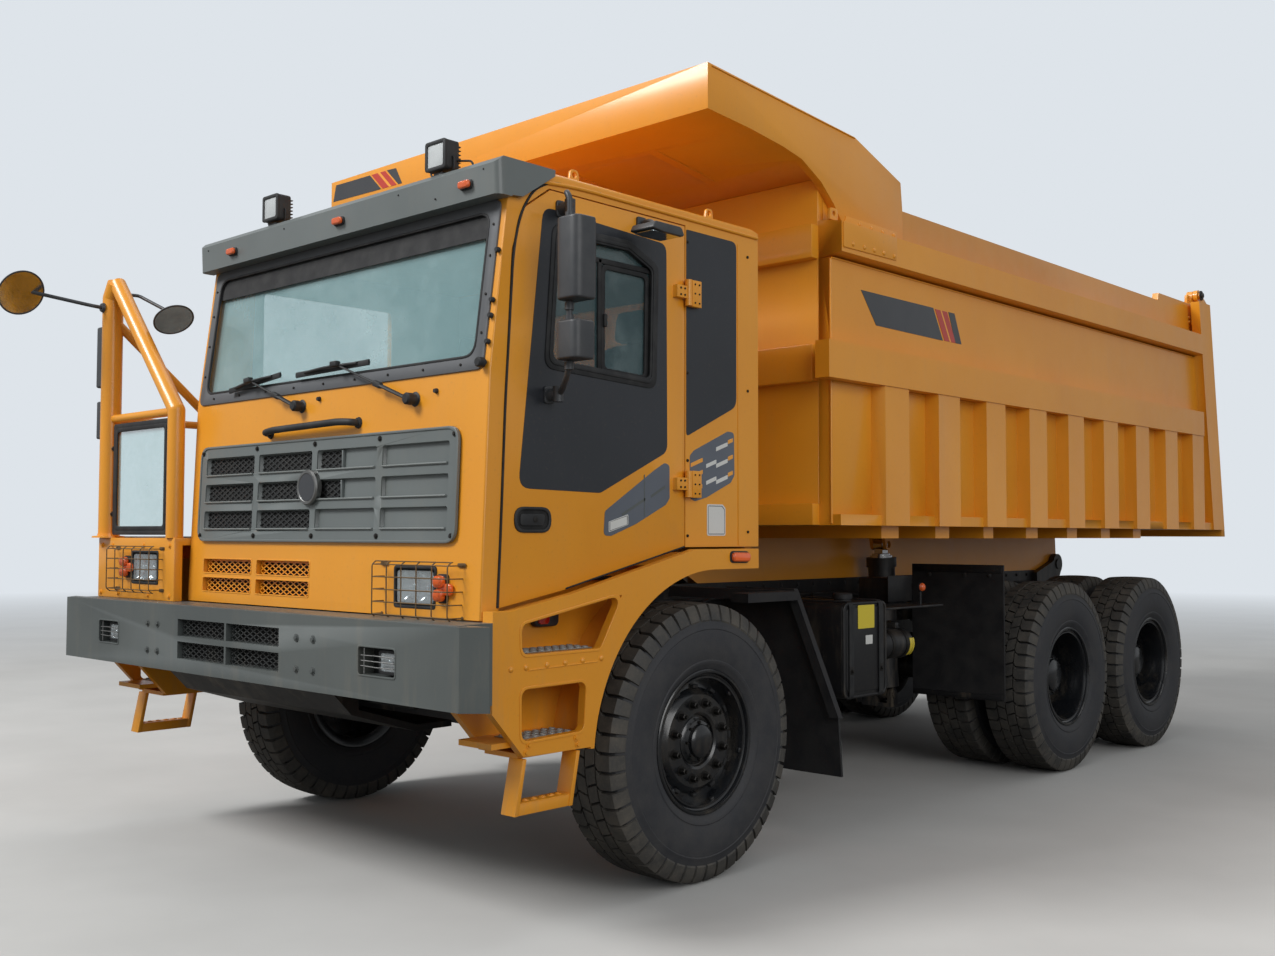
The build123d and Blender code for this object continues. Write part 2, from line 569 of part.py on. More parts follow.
def grille():
    """Grey frame with its bars, a little proud of the panel."""
    z0, z1 = GRILLE_Z
    x0, x1 = GRILLE_X
    outline = [(front_y(z0) - 14, z0), (front_y(z1) - 14, z1), (front_y(z1) + 30, z1), (front_y(z0) + 30, z0)]
    frame = prism_x(outline, x0, x1)
    pitch_x = (x1 - x0 - GRILLE_BAR) / GRILLE_COLUMNS
    pitch_z = (z1 - z0 - GRILLE_BAR) / GRILLE_ROWS
    for column in range(GRILLE_COLUMNS):
        for row in range(GRILLE_ROWS):
            left = x0 + GRILLE_BAR + column * pitch_x
            low = z0 + GRILLE_BAR + row * pitch_z
            frame -= block((left, left + pitch_x - GRILLE_BAR), (CUT_Y[0], front_y(low) + 12),
                           (low, low + pitch_z - GRILLE_BAR))
    return frame


def cab_left():
    """Left side: front pillar, rail over the door and the panel behind the door."""
    side = cab_side(CAB_L - WALL, CAB_L, SILL_Z) - prism_x(door_hole(), CAB_L - WALL - 1, CAB_L + 1)
    return fuse([side] + hinge_halves())


def cab_right():
    side = cab_side(CAB_R, CAB_R + WALL, PLATFORM_Z)
    return side - block((CAB_R - 1, CAB_R + WALL + 1), RIGHT_WINDOW_Y, RIGHT_WINDOW_Z)


RIGHT_WINDOW_Y = (-1050.0, -150.0)
RIGHT_WINDOW_Z = (2440.0, 3080.0)
BACK_WINDOW_X = (-400.0, 1200.0)
BACK_WINDOW_Z = (2460.0, 3020.0)


def cab_side(x0, x1, back_low):
    """Side sheet behind the front panel, between the floor and the roof."""
    front = [(y + WALL, z) for y, z in CAB_FRONT]
    return prism_x(front + [(CAB_FRONT[2][0] + WALL, ROOF_Z), (CAB_BACK, ROOF_Z), (CAB_BACK, back_low),
                            (DOOR_EDGE[6][0] + GAP, back_low), (-974, CAB_BASE_Z + 60)], x0, x1)


def door_hole():
    """The door's outline grown by the gap around it, and open at the foot."""
    grown = []
    middle = (-750.0, 2300.0)
    for y, z in DOOR_EDGE:
        grown.append((y + (GAP if y > middle[0] else -GAP), z + (GAP if z > middle[1] else -GAP)))
    grown[0] = (grown[0][0], CAB_BASE_Z - 10)
    grown[7] = (grown[7][0], CAB_BASE_Z - 10)
    grown[6] = (grown[6][0], SILL_Z - 1)
    return grown


def cab_back():
    wall = block((CAB_R + WALL, CAB_L - WALL), (CAB_BACK - WALL, CAB_BACK), (FLOOR_Z[1], ROOF_Z))
    return wall - block(BACK_WINDOW_X, (CAB_BACK - 90, CAB_BACK + 10), BACK_WINDOW_Z)


def cab_roof():
    front = CAB_FRONT[2][0] + 14
    roof = prism_x([(front, ROOF_Z), (CAB_BACK, ROOF_Z), (CAB_BACK, ROOF_Z + ROOF_T * 0.6),
                    (CAB_BACK - 60, ROOF_Z + ROOF_T), (front, ROOF_Z + ROOF_T)], CAB_R, CAB_L)
    return roof


def cab_floor():
    y0 = front_y(FLOOR_Z[1]) + WALL
    floor = block((CAB_R + WALL, CAB_L - WALL), (y0, CAB_BACK), FLOOR_Z)
    mounts = [block((s * RAIL_OUT if s < 0 else RAIL_IN, RAIL_OUT if s > 0 else -RAIL_IN), (y - 60, y + 60),
                    (RAIL_Z[1], FLOOR_Z[0] + 1)) for s in (-1, 1) for y in (-1230, 300)]
    return fuse([floor] + mounts)


def visor():
    """Bar over the windscreen, with a cheek that wraps round each side of the cab."""
    back = CAB_FRONT[2][0]
    low, high = VISOR_Z
    nose = [(VISOR_FRONT, low), (VISOR_FRONT - 6, high - 30), (VISOR_FRONT + 30, high)]
    bar = prism_x(nose + [(back + 14, high), (back + 14, ROOF_Z), (front_y(low) + 4, ROOF_Z), (front_y(low), low)],
                  CAB_R - VISOR_SIDE, CAB_L + VISOR_SIDE)
    cheek = nose + [(CHEEK_BACK, high), (CHEEK_BACK, high - 28), (CHEEK_FOOT, low + 10)]
    cheeks = [prism_x(cheek, *x) for x in ((CAB_R - VISOR_SIDE, CAB_R - GAP), (CAB_L + GAP, CAB_L + VISOR_SIDE))]
    return fuse([bar] + cheeks)


def pane(x0, x1, z0, z1):
    """Windscreen pane in the middle of the front panel's wall."""
    a = (WALL - GLASS_T) / 2
    return prism_x([(front_y(z0) + a, z0), (front_y(z1) + a, z1), (front_y(z1) + a + GLASS_T, z1),
                    (front_y(z0) + a + GLASS_T, z0)], x0, x1)


def cab_glass():
    screen = pane(CAB_R + SCREEN_SIDE, CAB_L - SCREEN_SIDE, *SCREEN_Z)
    a = (WALL - GLASS_T) / 2
    side = block((CAB_R + a, CAB_R + a + GLASS_T), RIGHT_WINDOW_Y, RIGHT_WINDOW_Z)
    back = block(BACK_WINDOW_X, (CAB_BACK - a - GLASS_T, CAB_BACK - a), BACK_WINDOW_Z)
    return group([screen, side, back])


def seats():
    """Driver's seat and a mate's seat, each a cushion and a back on a box."""
    pieces = []
    for x in (1080.0, -250.0):
        base = block((x - 190, x + 190), (-480, -80), (FLOOR_Z[1], 1960))
        cushion = block((x - 260, x + 260), (-620, -60), (1960, 2090))
        back = prism_x([(-150, 2090), (-20, 2090), (90, 2720), (10, 2720)], x - 240, x + 240)
        head = prism_x([(12, 2720), (88, 2720), (110, 2900), (40, 2900)], x - 130, x + 130)
        pieces.append(fuse([base, cushion, back, head]))
    return group(pieces)


WHEEL_R = 225.0


def dashboard():
    """Dash across the cab, with the steering column and wheel in front of the driver."""
    y0 = front_y(1700) + WALL + 4
    dash = prism_x([(y0, FLOOR_Z[1]), (y0 + 30, 2380), (y0 + 160, 2395), (-1120, 2300), (-1060, 2140),
                    (-1090, 1980), (-1200, 1900), (-1240, FLOOR_Z[1])], CAB_R + WALL, CAB_L - WALL)
    centre = Plane(origin=(1080, -820, 2380), z_dir=(0, 0.42, 0.9))
    ring = centre * Torus(WHEEL_R, 17)
    spokes = [centre * (Rot(0, 0, a) * Pos(WHEEL_R / 2, 0, 0) * Box(WHEEL_R, 40, 14)) for a in (90, 210, 330)]
    column = rod((1080, -1150, 2180), (1080, -820, 2385), 38)
    return fuse([dash, column, ring] + spokes)


# ================================================================ door
def door():
    outline = prism_x(DOOR_EDGE, CAB_L - WALL, CAB_L)
    window = prism_x(WINDOW_EDGE, CAB_L - WALL - 1, CAB_L + 1)
    hinges = []
    for z in HINGE_Z:
        hinges.append(rod((HINGE_X, HINGE_Y, z - HINGE_HALF), (HINGE_X, HINGE_Y, z + HINGE_HALF), HINGE_R))
        hinges.append(block((CAB_L - 2, HINGE_X + 6), (HINGE_Y - 90, HINGE_Y - HINGE_R - GAP), (z - HINGE_HALF, z + HINGE_HALF)))
        hinges.append(block((HINGE_X - 6, HINGE_X + 6), (HINGE_Y - 60, HINGE_Y), (z - HINGE_HALF, z + HINGE_HALF)))
    leaf = fuse([outline - window] + hinges)
    return leaf - rod((HINGE_X, HINGE_Y, 1000), (HINGE_X, HINGE_Y, 3500), HINGE_PIN_R + PIN_FIT)


def hinge_halves():
    """The cab's half of each door hinge, with the pin."""
    pieces = []
    for z in HINGE_Z:
        for low, high in ((z - HINGE_HALF - SEAT - 34, z - HINGE_HALF - SEAT), (z + HINGE_HALF + SEAT, z + HINGE_HALF + SEAT + 34)):
            pieces.append(rod((HINGE_X, HINGE_Y, low), (HINGE_X, HINGE_Y, high), HINGE_R))
            pieces.append(block((HINGE_X - 6, HINGE_X + 6), (HINGE_Y, HINGE_Y + 80), (low, high)))
            pieces.append(block((CAB_L - 2, HINGE_X + 6), (HINGE_Y + HINGE_R + GAP, HINGE_Y + 90), (low, high)))
        pieces.append(rod((HINGE_X, HINGE_Y, z - HINGE_HALF - 34), (HINGE_X, HINGE_Y, z + HINGE_HALF + 34), HINGE_PIN_R))
    return pieces


HINGE_Z = (1952.0, 2892.0)
HINGE_R = 18.0
HINGE_PIN_R = 8.0
HINGE_HALF = 30.0
HINGE_X = CAB_L + 24.0
HINGE_Y = DOOR_EDGE[5][0] + 3.0


def door_window():
    a = (WALL - GLASS_T) / 2
    return prism_x(WINDOW_EDGE, CAB_L - WALL + a, CAB_L - WALL + a + GLASS_T)


def left_mirrors():
    """Tall head and small head on a tube that the door carries, and the ramp mirror."""
    post_x, post_y = MIRROR_REACH - 110, -1165.0
    foot = CAB_L + 12
    tube = tube_run([(foot, -1004, 3150), (foot + 60, -1004, 3150), (post_x, post_y, 3150), (post_x, post_y, 2400),
                     (foot + 60, -1071, 2315), (foot, -1071, 2315)], 17)
    feet = [block((CAB_L, foot + 1), (y - 32, y + 32), (z - 40, z + 40))
            for y, z in ((-1004, 3150), (-1071, 2315))]
    tall = block((MIRROR_REACH - 145, MIRROR_REACH), (post_y - 62, post_y + 52), (2690, 3040))
    small = block((MIRROR_REACH - 145, MIRROR_REACH - 5), (post_y - 60, post_y + 50), (2437, 2600))
    ramp_arm = tube_run([(foot, -480, 3180), (foot + 50, -480, 3180), (CAB_L + 140, -500, 3130)], 14)
    ramp_foot = block((CAB_L, foot + 1), (-510, -450), (3150, 3210))
    ramp = block((CAB_L + 80, CAB_L + 230), (-640, -420), (3090, 3135))
    return group([fuse([tube, tall, small] + feet), fuse([ramp_arm, ramp, ramp_foot])])


# ================================================================ right side
def right_platform():
    back = PLATFORM_FRONT + WALL
    x0, x1 = PLATFORM_X, CAB_R
    face = block((x0, x1), (PLATFORM_FRONT, back), (BUMPER_Z[1], PLATFORM_Z))
    face -= block((-1303, -1013), (PLATFORM_FRONT - 1, PLATFORM_FRONT + 60), (1436, 1603))
    deck = block((x0, x1), (back - 1, CAB_BACK - 90), (PLATFORM_Z - PLATE, PLATFORM_Z))
    return fuse([face, deck])


def guard_frame():
    """Welded tubes round the right platform, with the black screen frame."""
    y = GUARD_Y
    column = tube_run([(GUARD_OUT, y, PLATFORM_Z), (GUARD_OUT, y, 3090), (GUARD_OUT + 56, y, 3170)], 58)
    slope = tube_run([(GUARD_OUT + 56, y, 3170), (GUARD_IN, y, 2380), (GUARD_IN, y, PLATFORM_Z)], 46)
    rail = rod((GUARD_OUT, y, 2375), (GUARD_IN, y, 2375), 24)
    brace = tube_run([(GUARD_OUT + 21, y, 2960), (GUARD_OUT + 116, y + 620, 2365), (GUARD_OUT + 116, y + 620, PLATFORM_Z)], 26)
    side = rod((GUARD_OUT, y, 2375), (GUARD_OUT + 116, y + 620, 2365), 22)
    frame = prism_y([(-1600, 2340), (-940, 2340), (-940, 1700), (-1600, 1700)], y - 14, y + 14)
    frame -= prism_y([(-1565, 2305), (-975, 2305), (-975, 1735), (-1565, 1735)], y - 20, y + 20)
    tabs = [block((x - 30, x + 30), (y - 10, y + 10), (z - 20, z + 20))
            for x, z in ((-1612, 2200), (-1612, 1820), (-930, 2200), (-930, 1820))]
    return fuse([column, slope, rail, brace, side, frame] + tabs)


GUARD_Y = PLATFORM_FRONT + 28.0
GUARD_OUT = PLATFORM_X + 64.0
GUARD_IN = CAB_R - 54.0


def guard_screen():
    return block((-1565, -975), (GUARD_Y - 4, GUARD_Y + 4), (1735, 2305))


def round_head(centre, facing, radius, thick):
    return Plane(origin=centre, z_dir=facing) * Cylinder(radius, thick)


def behind(centre, facing, distance):
    """A point at a distance behind a mirror's middle."""
    return tuple(c - f * distance for c, f in zip(centre, facing))


def right_mirrors():
    """Round mirror on a long arm, two tall heads on a post, and the small inner mirror."""
    y = GUARD_Y
    reach = [ROUND_R * sqrt(1 - f * f) + ROUND_T / 2 * abs(f) for f in ROUND_FACING[:2]]
    centre = (reach[0] - RIGHT_REACH, MIRROR_FRONT + reach[1], ROUND_Z)
    arm_end = behind(centre, ROUND_FACING, 60)
    arm = tube_run([(GUARD_OUT, y - 58 - SEAT, 3030), (GUARD_OUT, y - 130, 3030), arm_end], 14)
    stem = rod(arm_end, behind(centre, ROUND_FACING, ROUND_T / 2 - 1), 12)
    disc = round_head(centre, ROUND_FACING, ROUND_R, ROUND_T)
    inner_end = behind(INNER_PLACE, INNER_FACING, 50)
    inner = tube_run([(-1560, y + 46 + SEAT, 3105), (-1560, y + 100, 3105), inner_end], 12)
    inner_stem = rod(inner_end, behind(INNER_PLACE, INNER_FACING, INNER_T / 2 - 1), 10)
    small = round_head(INNER_PLACE, INNER_FACING, INNER_R, INNER_T)
    edge = GUARD_OUT - 58 - SEAT
    post_x, post_y = 90 - RIGHT_REACH, y + 72
    post = tube_run([(edge, y, 3000), (edge - 50, y, 3000), (post_x, post_y, 2990), (post_x, post_y, 2240),
                     (edge - 50, y, 2225), (edge, y, 2225)], 14)
    tall = block((-RIGHT_REACH, 145 - RIGHT_REACH), (y + 22, y + 122), (2585, 2950))
    low = block((10 - RIGHT_REACH, 145 - RIGHT_REACH), (y + 27, y + 117), (2275, 2500))
    return group([fuse([arm, stem, disc]), fuse([inner, inner_stem, small]), fuse([post, tall, low])])


# ================================================================ fenders
def fender(x_out, top_z, front):
    """Step well in front of the wheel, arch over it and a tail behind, left side."""
    top = [DOOR_EDGE[0], DOOR_EDGE[7], DOOR_EDGE[6]]
    line = [(y, z - FENDER_GAP) for y, z in top] if top_z is None else [(front, top_z)]
    tail_z = SILL_Z - FENDER_GAP if top_z is None else top_z
    outline = [(front, line[0][1])] + line + [(FENDER_BACK, tail_z), (FENDER_BACK, FENDER_FLAT_Z)]
    outline += [(0, FENDER_FLAT_Z), (0, FENDER_FOOT_Z), FENDER_FOOT[1], FENDER_FOOT[0]]
    arch = disc_x(0, AXLE_Z, ARCH_R, STEP_IN - 300, x_out + 10)
    outer = prism_x(outline, x_out - PLATE, x_out) - arch
    holes = [prism_x(hole, STEP_IN + PLATE, x_out + 1) for hole in STEP_HOLES]
    for hole in holes:
        outer -= hole
    inner_low = [(front, FLOOR_Z[0]), (0, FLOOR_Z[0]), (0, FENDER_FOOT_Z), FENDER_FOOT[1], FENDER_FOOT[0]]
    inner = prism_x(inner_low, STEP_IN, STEP_IN + PLATE) - arch
    liner = disc_x(0, AXLE_Z, ARCH_R + 22, STEP_IN, x_out) - disc_x(0, AXLE_Z, ARCH_R, STEP_IN - 1, x_out + 1)
    liner = liner & block((STEP_IN, x_out), (-ARCH_R - 30, 0), (FENDER_FOOT_Z, FENDER_FLAT_Z + 30))
    shelf = block((STEP_IN, x_out), (-1, FENDER_BACK), (FENDER_FLAT_Z, FENDER_FLAT_Z + 22))
    treads = []
    for hole in STEP_HOLES:
        low = hole[2][1] if hole is STEP_HOLES[0] else hole[3][1]
        treads.append(block((STEP_IN + PLATE - 1, x_out - PLATE + 1), (front + 30, hole[2][0]), (low - 24, low)))
    foot = block((STEP_IN + PLATE - 1, x_out - PLATE + 1), (FENDER_FOOT[1][0], -ARCH_R - 12),
                 (FENDER_FOOT_Z, FENDER_FOOT_Z + 22))
    back = block((STEP_IN + PLATE - 1, x_out - PLATE + 1), (front, front + 31), (FENDER_FOOT[0][1], line[0][1]))
    whole = fuse([outer, inner, liner, shelf, foot, back] + treads)
    return whole - block((STEP_IN - 1, CAB_L + GAP), (BUMPER_BACK - 20, front_y(FLOOR_Z[0]) + WALL + 1), (BUMPER_Z[1], 1700))


def ladder(x_out):
    """Hanging stirrup step under the step well: two flat arms and their tread."""
    foot = FENDER_FOOT_Z
    return prism_x([(-1266, foot), (-1248, foot), (-1296, 578), (-992, 578), (-953, foot), (-935, foot),
                    (-978, 530), (-1314, 530)], x_out - STIRRUP_W, x_out)


# ================================================================ tanks and guards
def fuel_tank():
    body = block((850, 1440), (1480, 1947), (737, 1306))
    straps = [block((840, 1450), (y, y + 46), (727, 1316)) for y in (1530, 1850)]
    hanger = [block((RAIL_OUT, 842), (y, y + 46), (1090, 1316)) for y in (1530, 1850)]
    return fuse([body] + straps + hanger)


def air_tanks():
    """Two long cylinders beside the right-hand and left-hand rail."""
    def cylinder(x, y0, y1, z, r):
        return fuse([rod((x, y0, z), (x, y1, z), r), rod((x, y0 - 30, z), (x, y1 + 30, z), r * 0.8)])
    near = cylinder(1310, 1990, 2330, 1018, 92)
    far = cylinder(1040, 1990, 2630, 1040, 92)
    arm = [block((RAIL_OUT, 1320), (y, y + 40), (1100, 1150)) for y in (2080, 2240)]
    hook = [block((x - 30, x + 30), (y, y + 40), (1080, 1110)) for y in (2080, 2240) for x in (1040, 1310)]
    return fuse([near, far] + arm + hook)


def battery_box():
    """Box and steps on the right rail, opposite the tank."""
    body = block((-1440, -760), (1500, 2300), (780, 1290))
    hanger = [block((-761, -RAIL_OUT), (y, y + 50), (1090, 1290)) for y in (1600, 2150)]
    return fuse([body] + hanger)


FLAP_Y = 1080.0
GUARD_BOARD_Y = 3345.0
BOARD_T = 16.0
CARRIER_Y = 3600.0      # clear behind the hoist at full tilt
CARRIER_Z = (1300.0, 1350.0)


def mud_guards():
    """Flap behind each front wheel and the board in front of the twin wheels."""
    flap = prism_y([(880, 1400), (1380, 1400), (1668, 700), (1690, 375), (1010, 375), (880, 700)],
                   FLAP_Y, FLAP_Y + BOARD_T)
    hanger = block((RAIL_OUT, 1400), (FLAP_Y - 60, FLAP_Y + 1), (1330, 1390))
    strut = prism_y([(1340, 1400), (1400, 1400), (1700, 700), (1640, 700)], FLAP_Y - 40, FLAP_Y)
    arm = block((1330, 1450), (560, FLAP_Y - 59), (1340, 1390))
    front = fuse([flap, hanger, strut, arm])
    board = block((780, 1500), (GUARD_BOARD_Y, GUARD_BOARD_Y + BOARD_T), (560, 1500))
    behind = GUARD_BOARD_Y + BOARD_T
    carrier = block((RAIL_OUT, 830), (CARRIER_Y, CARRIER_Y + 50), CARRIER_Z)
    arms = [block((x, x + 50), (behind - 1, CARRIER_Y + 50), CARRIER_Z) for x in (780,)]
    stay = block((780, 1400), (behind - 1, behind + 40), CARRIER_Z)
    rear = fuse([board, carrier, stay] + arms)
    return group([front, mirrored(front), rear, mirrored(rear)])


TOW_Z = (1040.0, 1080.0)
TOW_R = 26.0


def tail_lamps():
    """Cross bar at the end of the rails with a lamp box at each side."""
    y = TILT_PIVOT[0] + 70
    bar = block((-900, 900), (y, y + 60), (1000, 1120))
    hang = [block(x, (y - 460, y + 60), (RAIL_Z[0], RAIL_Z[0] + 30))
            for x in ((RAIL_OUT, RAIL_OUT + CHEEK_T), (-RAIL_OUT - CHEEK_T, -RAIL_OUT))]
    lamps = [block((x - 170, x + 170), (y + 59, y + 95), (1010, 1110)) for x in (-700, 700)]
    plate = block((-90, 90), (y + 59, y + 170), TOW_Z)
    plate = fuse([plate, Pos(0, y + 170, sum(TOW_Z) / 2) * Cylinder(90, TOW_Z[1] - TOW_Z[0])])
    plate -= Pos(0, y + 170, sum(TOW_Z) / 2) * Cylinder(TOW_R, 100)
    return fuse([bar, plate] + hang + lamps)


# ================================================================ lamps
def headlamps():
    y = front_y(LAMP_Z[0])
    left = block(LAMP_X, (y - LAMP_PROUD, y + 40), LAMP_Z)
    left = fuse([left])
    right = block((-1303, -1013), (PLATFORM_FRONT - LAMP_PROUD, PLATFORM_FRONT + 60), (1436, 1603))
    return group([left, right])


def work_lamps():
    """Two lamps on the roof behind the visor."""
    pieces = []
    for x in (1180.0, -199.0):
        lamp = block((x - 75, x + 75), (-1365, -1275), (3335, 3475))
        stem = rod((x, -1325, VISOR_Z[1]), (x, -1325, 3340), 16)
        pieces.append(fuse([lamp, stem]))
    return group(pieces)


# ================================================================ bed
def bed_outline():
    """The side sheet's y-z outline."""
    return [(BED_FRONT, BED_Z), BACK_EDGE[0], BACK_EDGE[1], (BACK_EDGE[1][0] - 880, 3722),
            (BACK_EDGE[1][0] - 900, SIDE_TOP), (BED_FRONT, SIDE_TOP)]


def bed_side():
    lean = prism_x(bed_outline(), 0, RIB_X + 40)
    sheet = block((BED_IN, SHEET_X), (BED_FRONT, 7000), (BED_Z, TOP_RAIL_Z[0]))
    top = prism_y([(BED_IN, TOP_RAIL_Z[0] - 1), (RIB_X - 10, TOP_RAIL_Z[0] + 22), (RIB_X - 10, TOP_RAIL_Z[1]),
                   (UPPER_X, RAIL_CAP_Z), (UPPER_X, 3730), (BED_IN, 3730)], BED_FRONT, 7000)
    top -= block((BED_IN - 1, RIB_X), (BED_FRONT - 1, CANOPY_BACK), (RAIL_CAP_Z, 3740))
    rail = block((SHEET_X - 1, RIB_X + 8), (BED_FRONT - 152, 6450), MID_RAIL_Z)
    ribs = []
    y = RIB_Y
    while y + RIB_W < back_y(BED_Z) - 120:
        ribs.append(prism_z([(SHEET_X - 1, y), (RIB_X, y + 22), (RIB_X, y + RIB_W - 22), (SHEET_X - 1, y + RIB_W)],
                            BED_Z, RIB_TOP + 1))
        y += RIB_PITCH
    sill = block((SHEET_X - 1, RIB_X - 25), (BED_FRONT, 7000), (BED_Z, BED_Z + 60))
    (yb, zb), (yt, zt) = BACK_EDGE
    post = prism_x([(yb, zb), (yt, zt), (yt - POST_W, zt), (back_y(MID_RAIL_Z[1]) - POST_W, MID_RAIL_Z[1]),
                    (yb - POST_W, zb)], SHEET_X - 1, RIB_X - 10)
    side = fuse([sheet, top] + ribs + [sill]) & lean
    gy, gz = GATE_PIVOT
    ear = fuse([prism_x([(gy - 120, 3721), (gy + 75, 3721), (gy + 45, gz), (gy - 45, gz)], BED_IN, UPPER_X),
                disc_x(gy, gz, 46, BED_IN, UPPER_X)])
    pin = disc_x(gy, gz, GATE_PIN_R, BED_IN, UPPER_X + GAP + GATE_ARM_T + 14)
    return fuse([side, rail, post, ear, pin])


def bed_floor():
    floor = prism_x([(BED_FRONT + FRONT_T, BED_Z), (BACK_EDGE[0][0], BED_Z), (back_y(BED_Z + FLOOR_T), BED_Z + FLOOR_T),
                     (BED_FRONT + FRONT_T, BED_Z + FLOOR_T)], -BED_IN, BED_IN)
    feet = [block((-SHEET_X + 10, SHEET_X - 10), y, (BED_Z - FOOT_DROP, BED_Z)) for y in FOOT_Y]
    y, z = TILT_PIVOT
    low = RAIL_Z[1] + SEAT
    lane = (RAIL_IN + GAP, RAIL_OUT - GAP)
    sills = []
    for side in (-1, 1):
        x = lane if side > 0 else (-lane[1], -lane[0])
        sill = prism_x([(1150, BED_Z + 1), (y + 60, BED_Z + 1), (y + 80, z + 20), (y, z), (y - TILT_EAR_R - 34, low),
                        (1300, low), (1150, low + 80)], *x)
        sill = fuse([sill, disc_x(y, z, TILT_EAR_R - 8, *x)])
        sills.append(sill - disc_x(y, z, TILT_PIN_R + PIN_FIT, x[0] - 1, x[1] + 1))
    eyes = []
    ey, ez = HOIST_EYE
    for side in (-1, 1):
        for offset in (-EYE_W / 2 - GAP - 26, EYE_W / 2 + GAP):
            x = side * HOIST_X + offset
            ear = prism_x([(ey - 75, BED_Z + 1), (ey + 75, BED_Z + 1), (ey + 40, ez), (ey - 40, ez)], x, x + 26)
            ear = fuse([ear, disc_x(ey, ez, 42, x, x + 26)])
            eyes.append(ear - disc_x(ey, ez, HOIST_PIN_R, x - 1, x + 27))
    return fuse([floor] + feet + sills + eyes)


FRONT_T = 50.0


def bed_front():
    wall = block((-BED_IN, BED_IN), (BED_FRONT, BED_FRONT + FRONT_T), (BED_Z, 3705))
    beams = [block((-BED_IN, BED_IN), (BED_FRONT - 62, BED_FRONT + 1), z)
             for z in ((BED_Z, BED_Z + 120), (2560, 2765), TOP_RAIL_Z)]
    ribs = [block((x - 60, x + 60), (BED_FRONT - 50, BED_FRONT + 1), (BED_Z + 100, 2570)) for x in (-1000, 0, 1000)]
    return fuse([wall] + beams + ribs)


def canopy():
    """Roof sheet over the cab with its front flange, side plates and top ribs."""
    low = [(y, z) for y, z in CANOPY_LOW]
    side_outline = [*CANOPY_TOP, (CANOPY_BACK, RAIL_CAP_Z), *low]
    inner = BED_IN
    sides = [prism_x(side_outline, inner, UPPER_X), prism_x(side_outline, -UPPER_X, -inner)]
    ceiling = [(BED_FRONT + FRONT_T + 40, 3705), (BED_FRONT, 3705), (779, 3757), (605, 3789), (328, 3819),
               (CANOPY_FRONT, 3842)]
    sheet = prism_x(ceiling + [(y, z + CANOPY_T) for y, z in reversed(ceiling)], -inner - 1, inner + 1)
    flange = block((-inner - 1, inner + 1), (CANOPY_FRONT, CANOPY_FRONT + CANOPY_T), (3842, 4078))
    back = block((-inner - 1, inner + 1), (BED_FRONT, BED_FRONT + CANOPY_T), (3706, 3980))
    ribs = [prism_x([(CANOPY_FRONT + 20, 3860), (CANOPY_FRONT + 20, 4040), (BED_FRONT + 20, 3960), (BED_FRONT + 20, 3720)],
                    x - 30, x + 30) for x in (-1000, -340, 340, 1000)]
    return fuse(sides + [sheet, flange, back] + ribs)


def tailgate():
    """Gate behind the leaning back edge, hung from arms at its top corners."""
    (yb, zb), (yt, zt) = BACK_EDGE
    gy, gz = GATE_PIVOT
    half = SHEET_X + GATE_ARM_T + 4
    low, high = GATE_LOW, 3640.0
    face = [(back_y(low) + GAP, low), (back_y(high) + GAP, high), (back_y(high) + GAP + GATE_T, high),
            (back_y(low) + GAP + GATE_T, low)]
    slab = prism_x(face, -half, half)
    arms = []
    lane = (UPPER_X + GAP, UPPER_X + GAP + GATE_ARM_T)
    for x in (lane, (-lane[1], -lane[0])):
        arm = prism_x([(gy, gz + 50), (gy, gz - 50), (back_y(zt) + GAP + 14, zt + 8), (back_y(high - 300) + GAP, high - 300),
                       (back_y(high - 300) + GAP + GATE_T + 40, high - 300), (back_y(zt) + GATE_T + 50, zt + 20)], *x)
        arm = fuse([arm, disc_x(gy, gz, 50, *x)])
        arms.append(arm - disc_x(gy, gz, GATE_PIN_R + PIN_FIT, x[0] - 1, x[1] + 1))
    ribs = [prism_x([(y + GATE_T - 1, z) for y, z in face[:2]] + [(y + GATE_T + GATE_RIB, z) for y, z in reversed(face[:2])],
                    x - 60, x + 60) for x in (-1300, -650, 0, 650, 1300)]
    return fuse([slab] + arms + ribs)


# ================================================================ the whole truck
TYRE = tyre_shape()


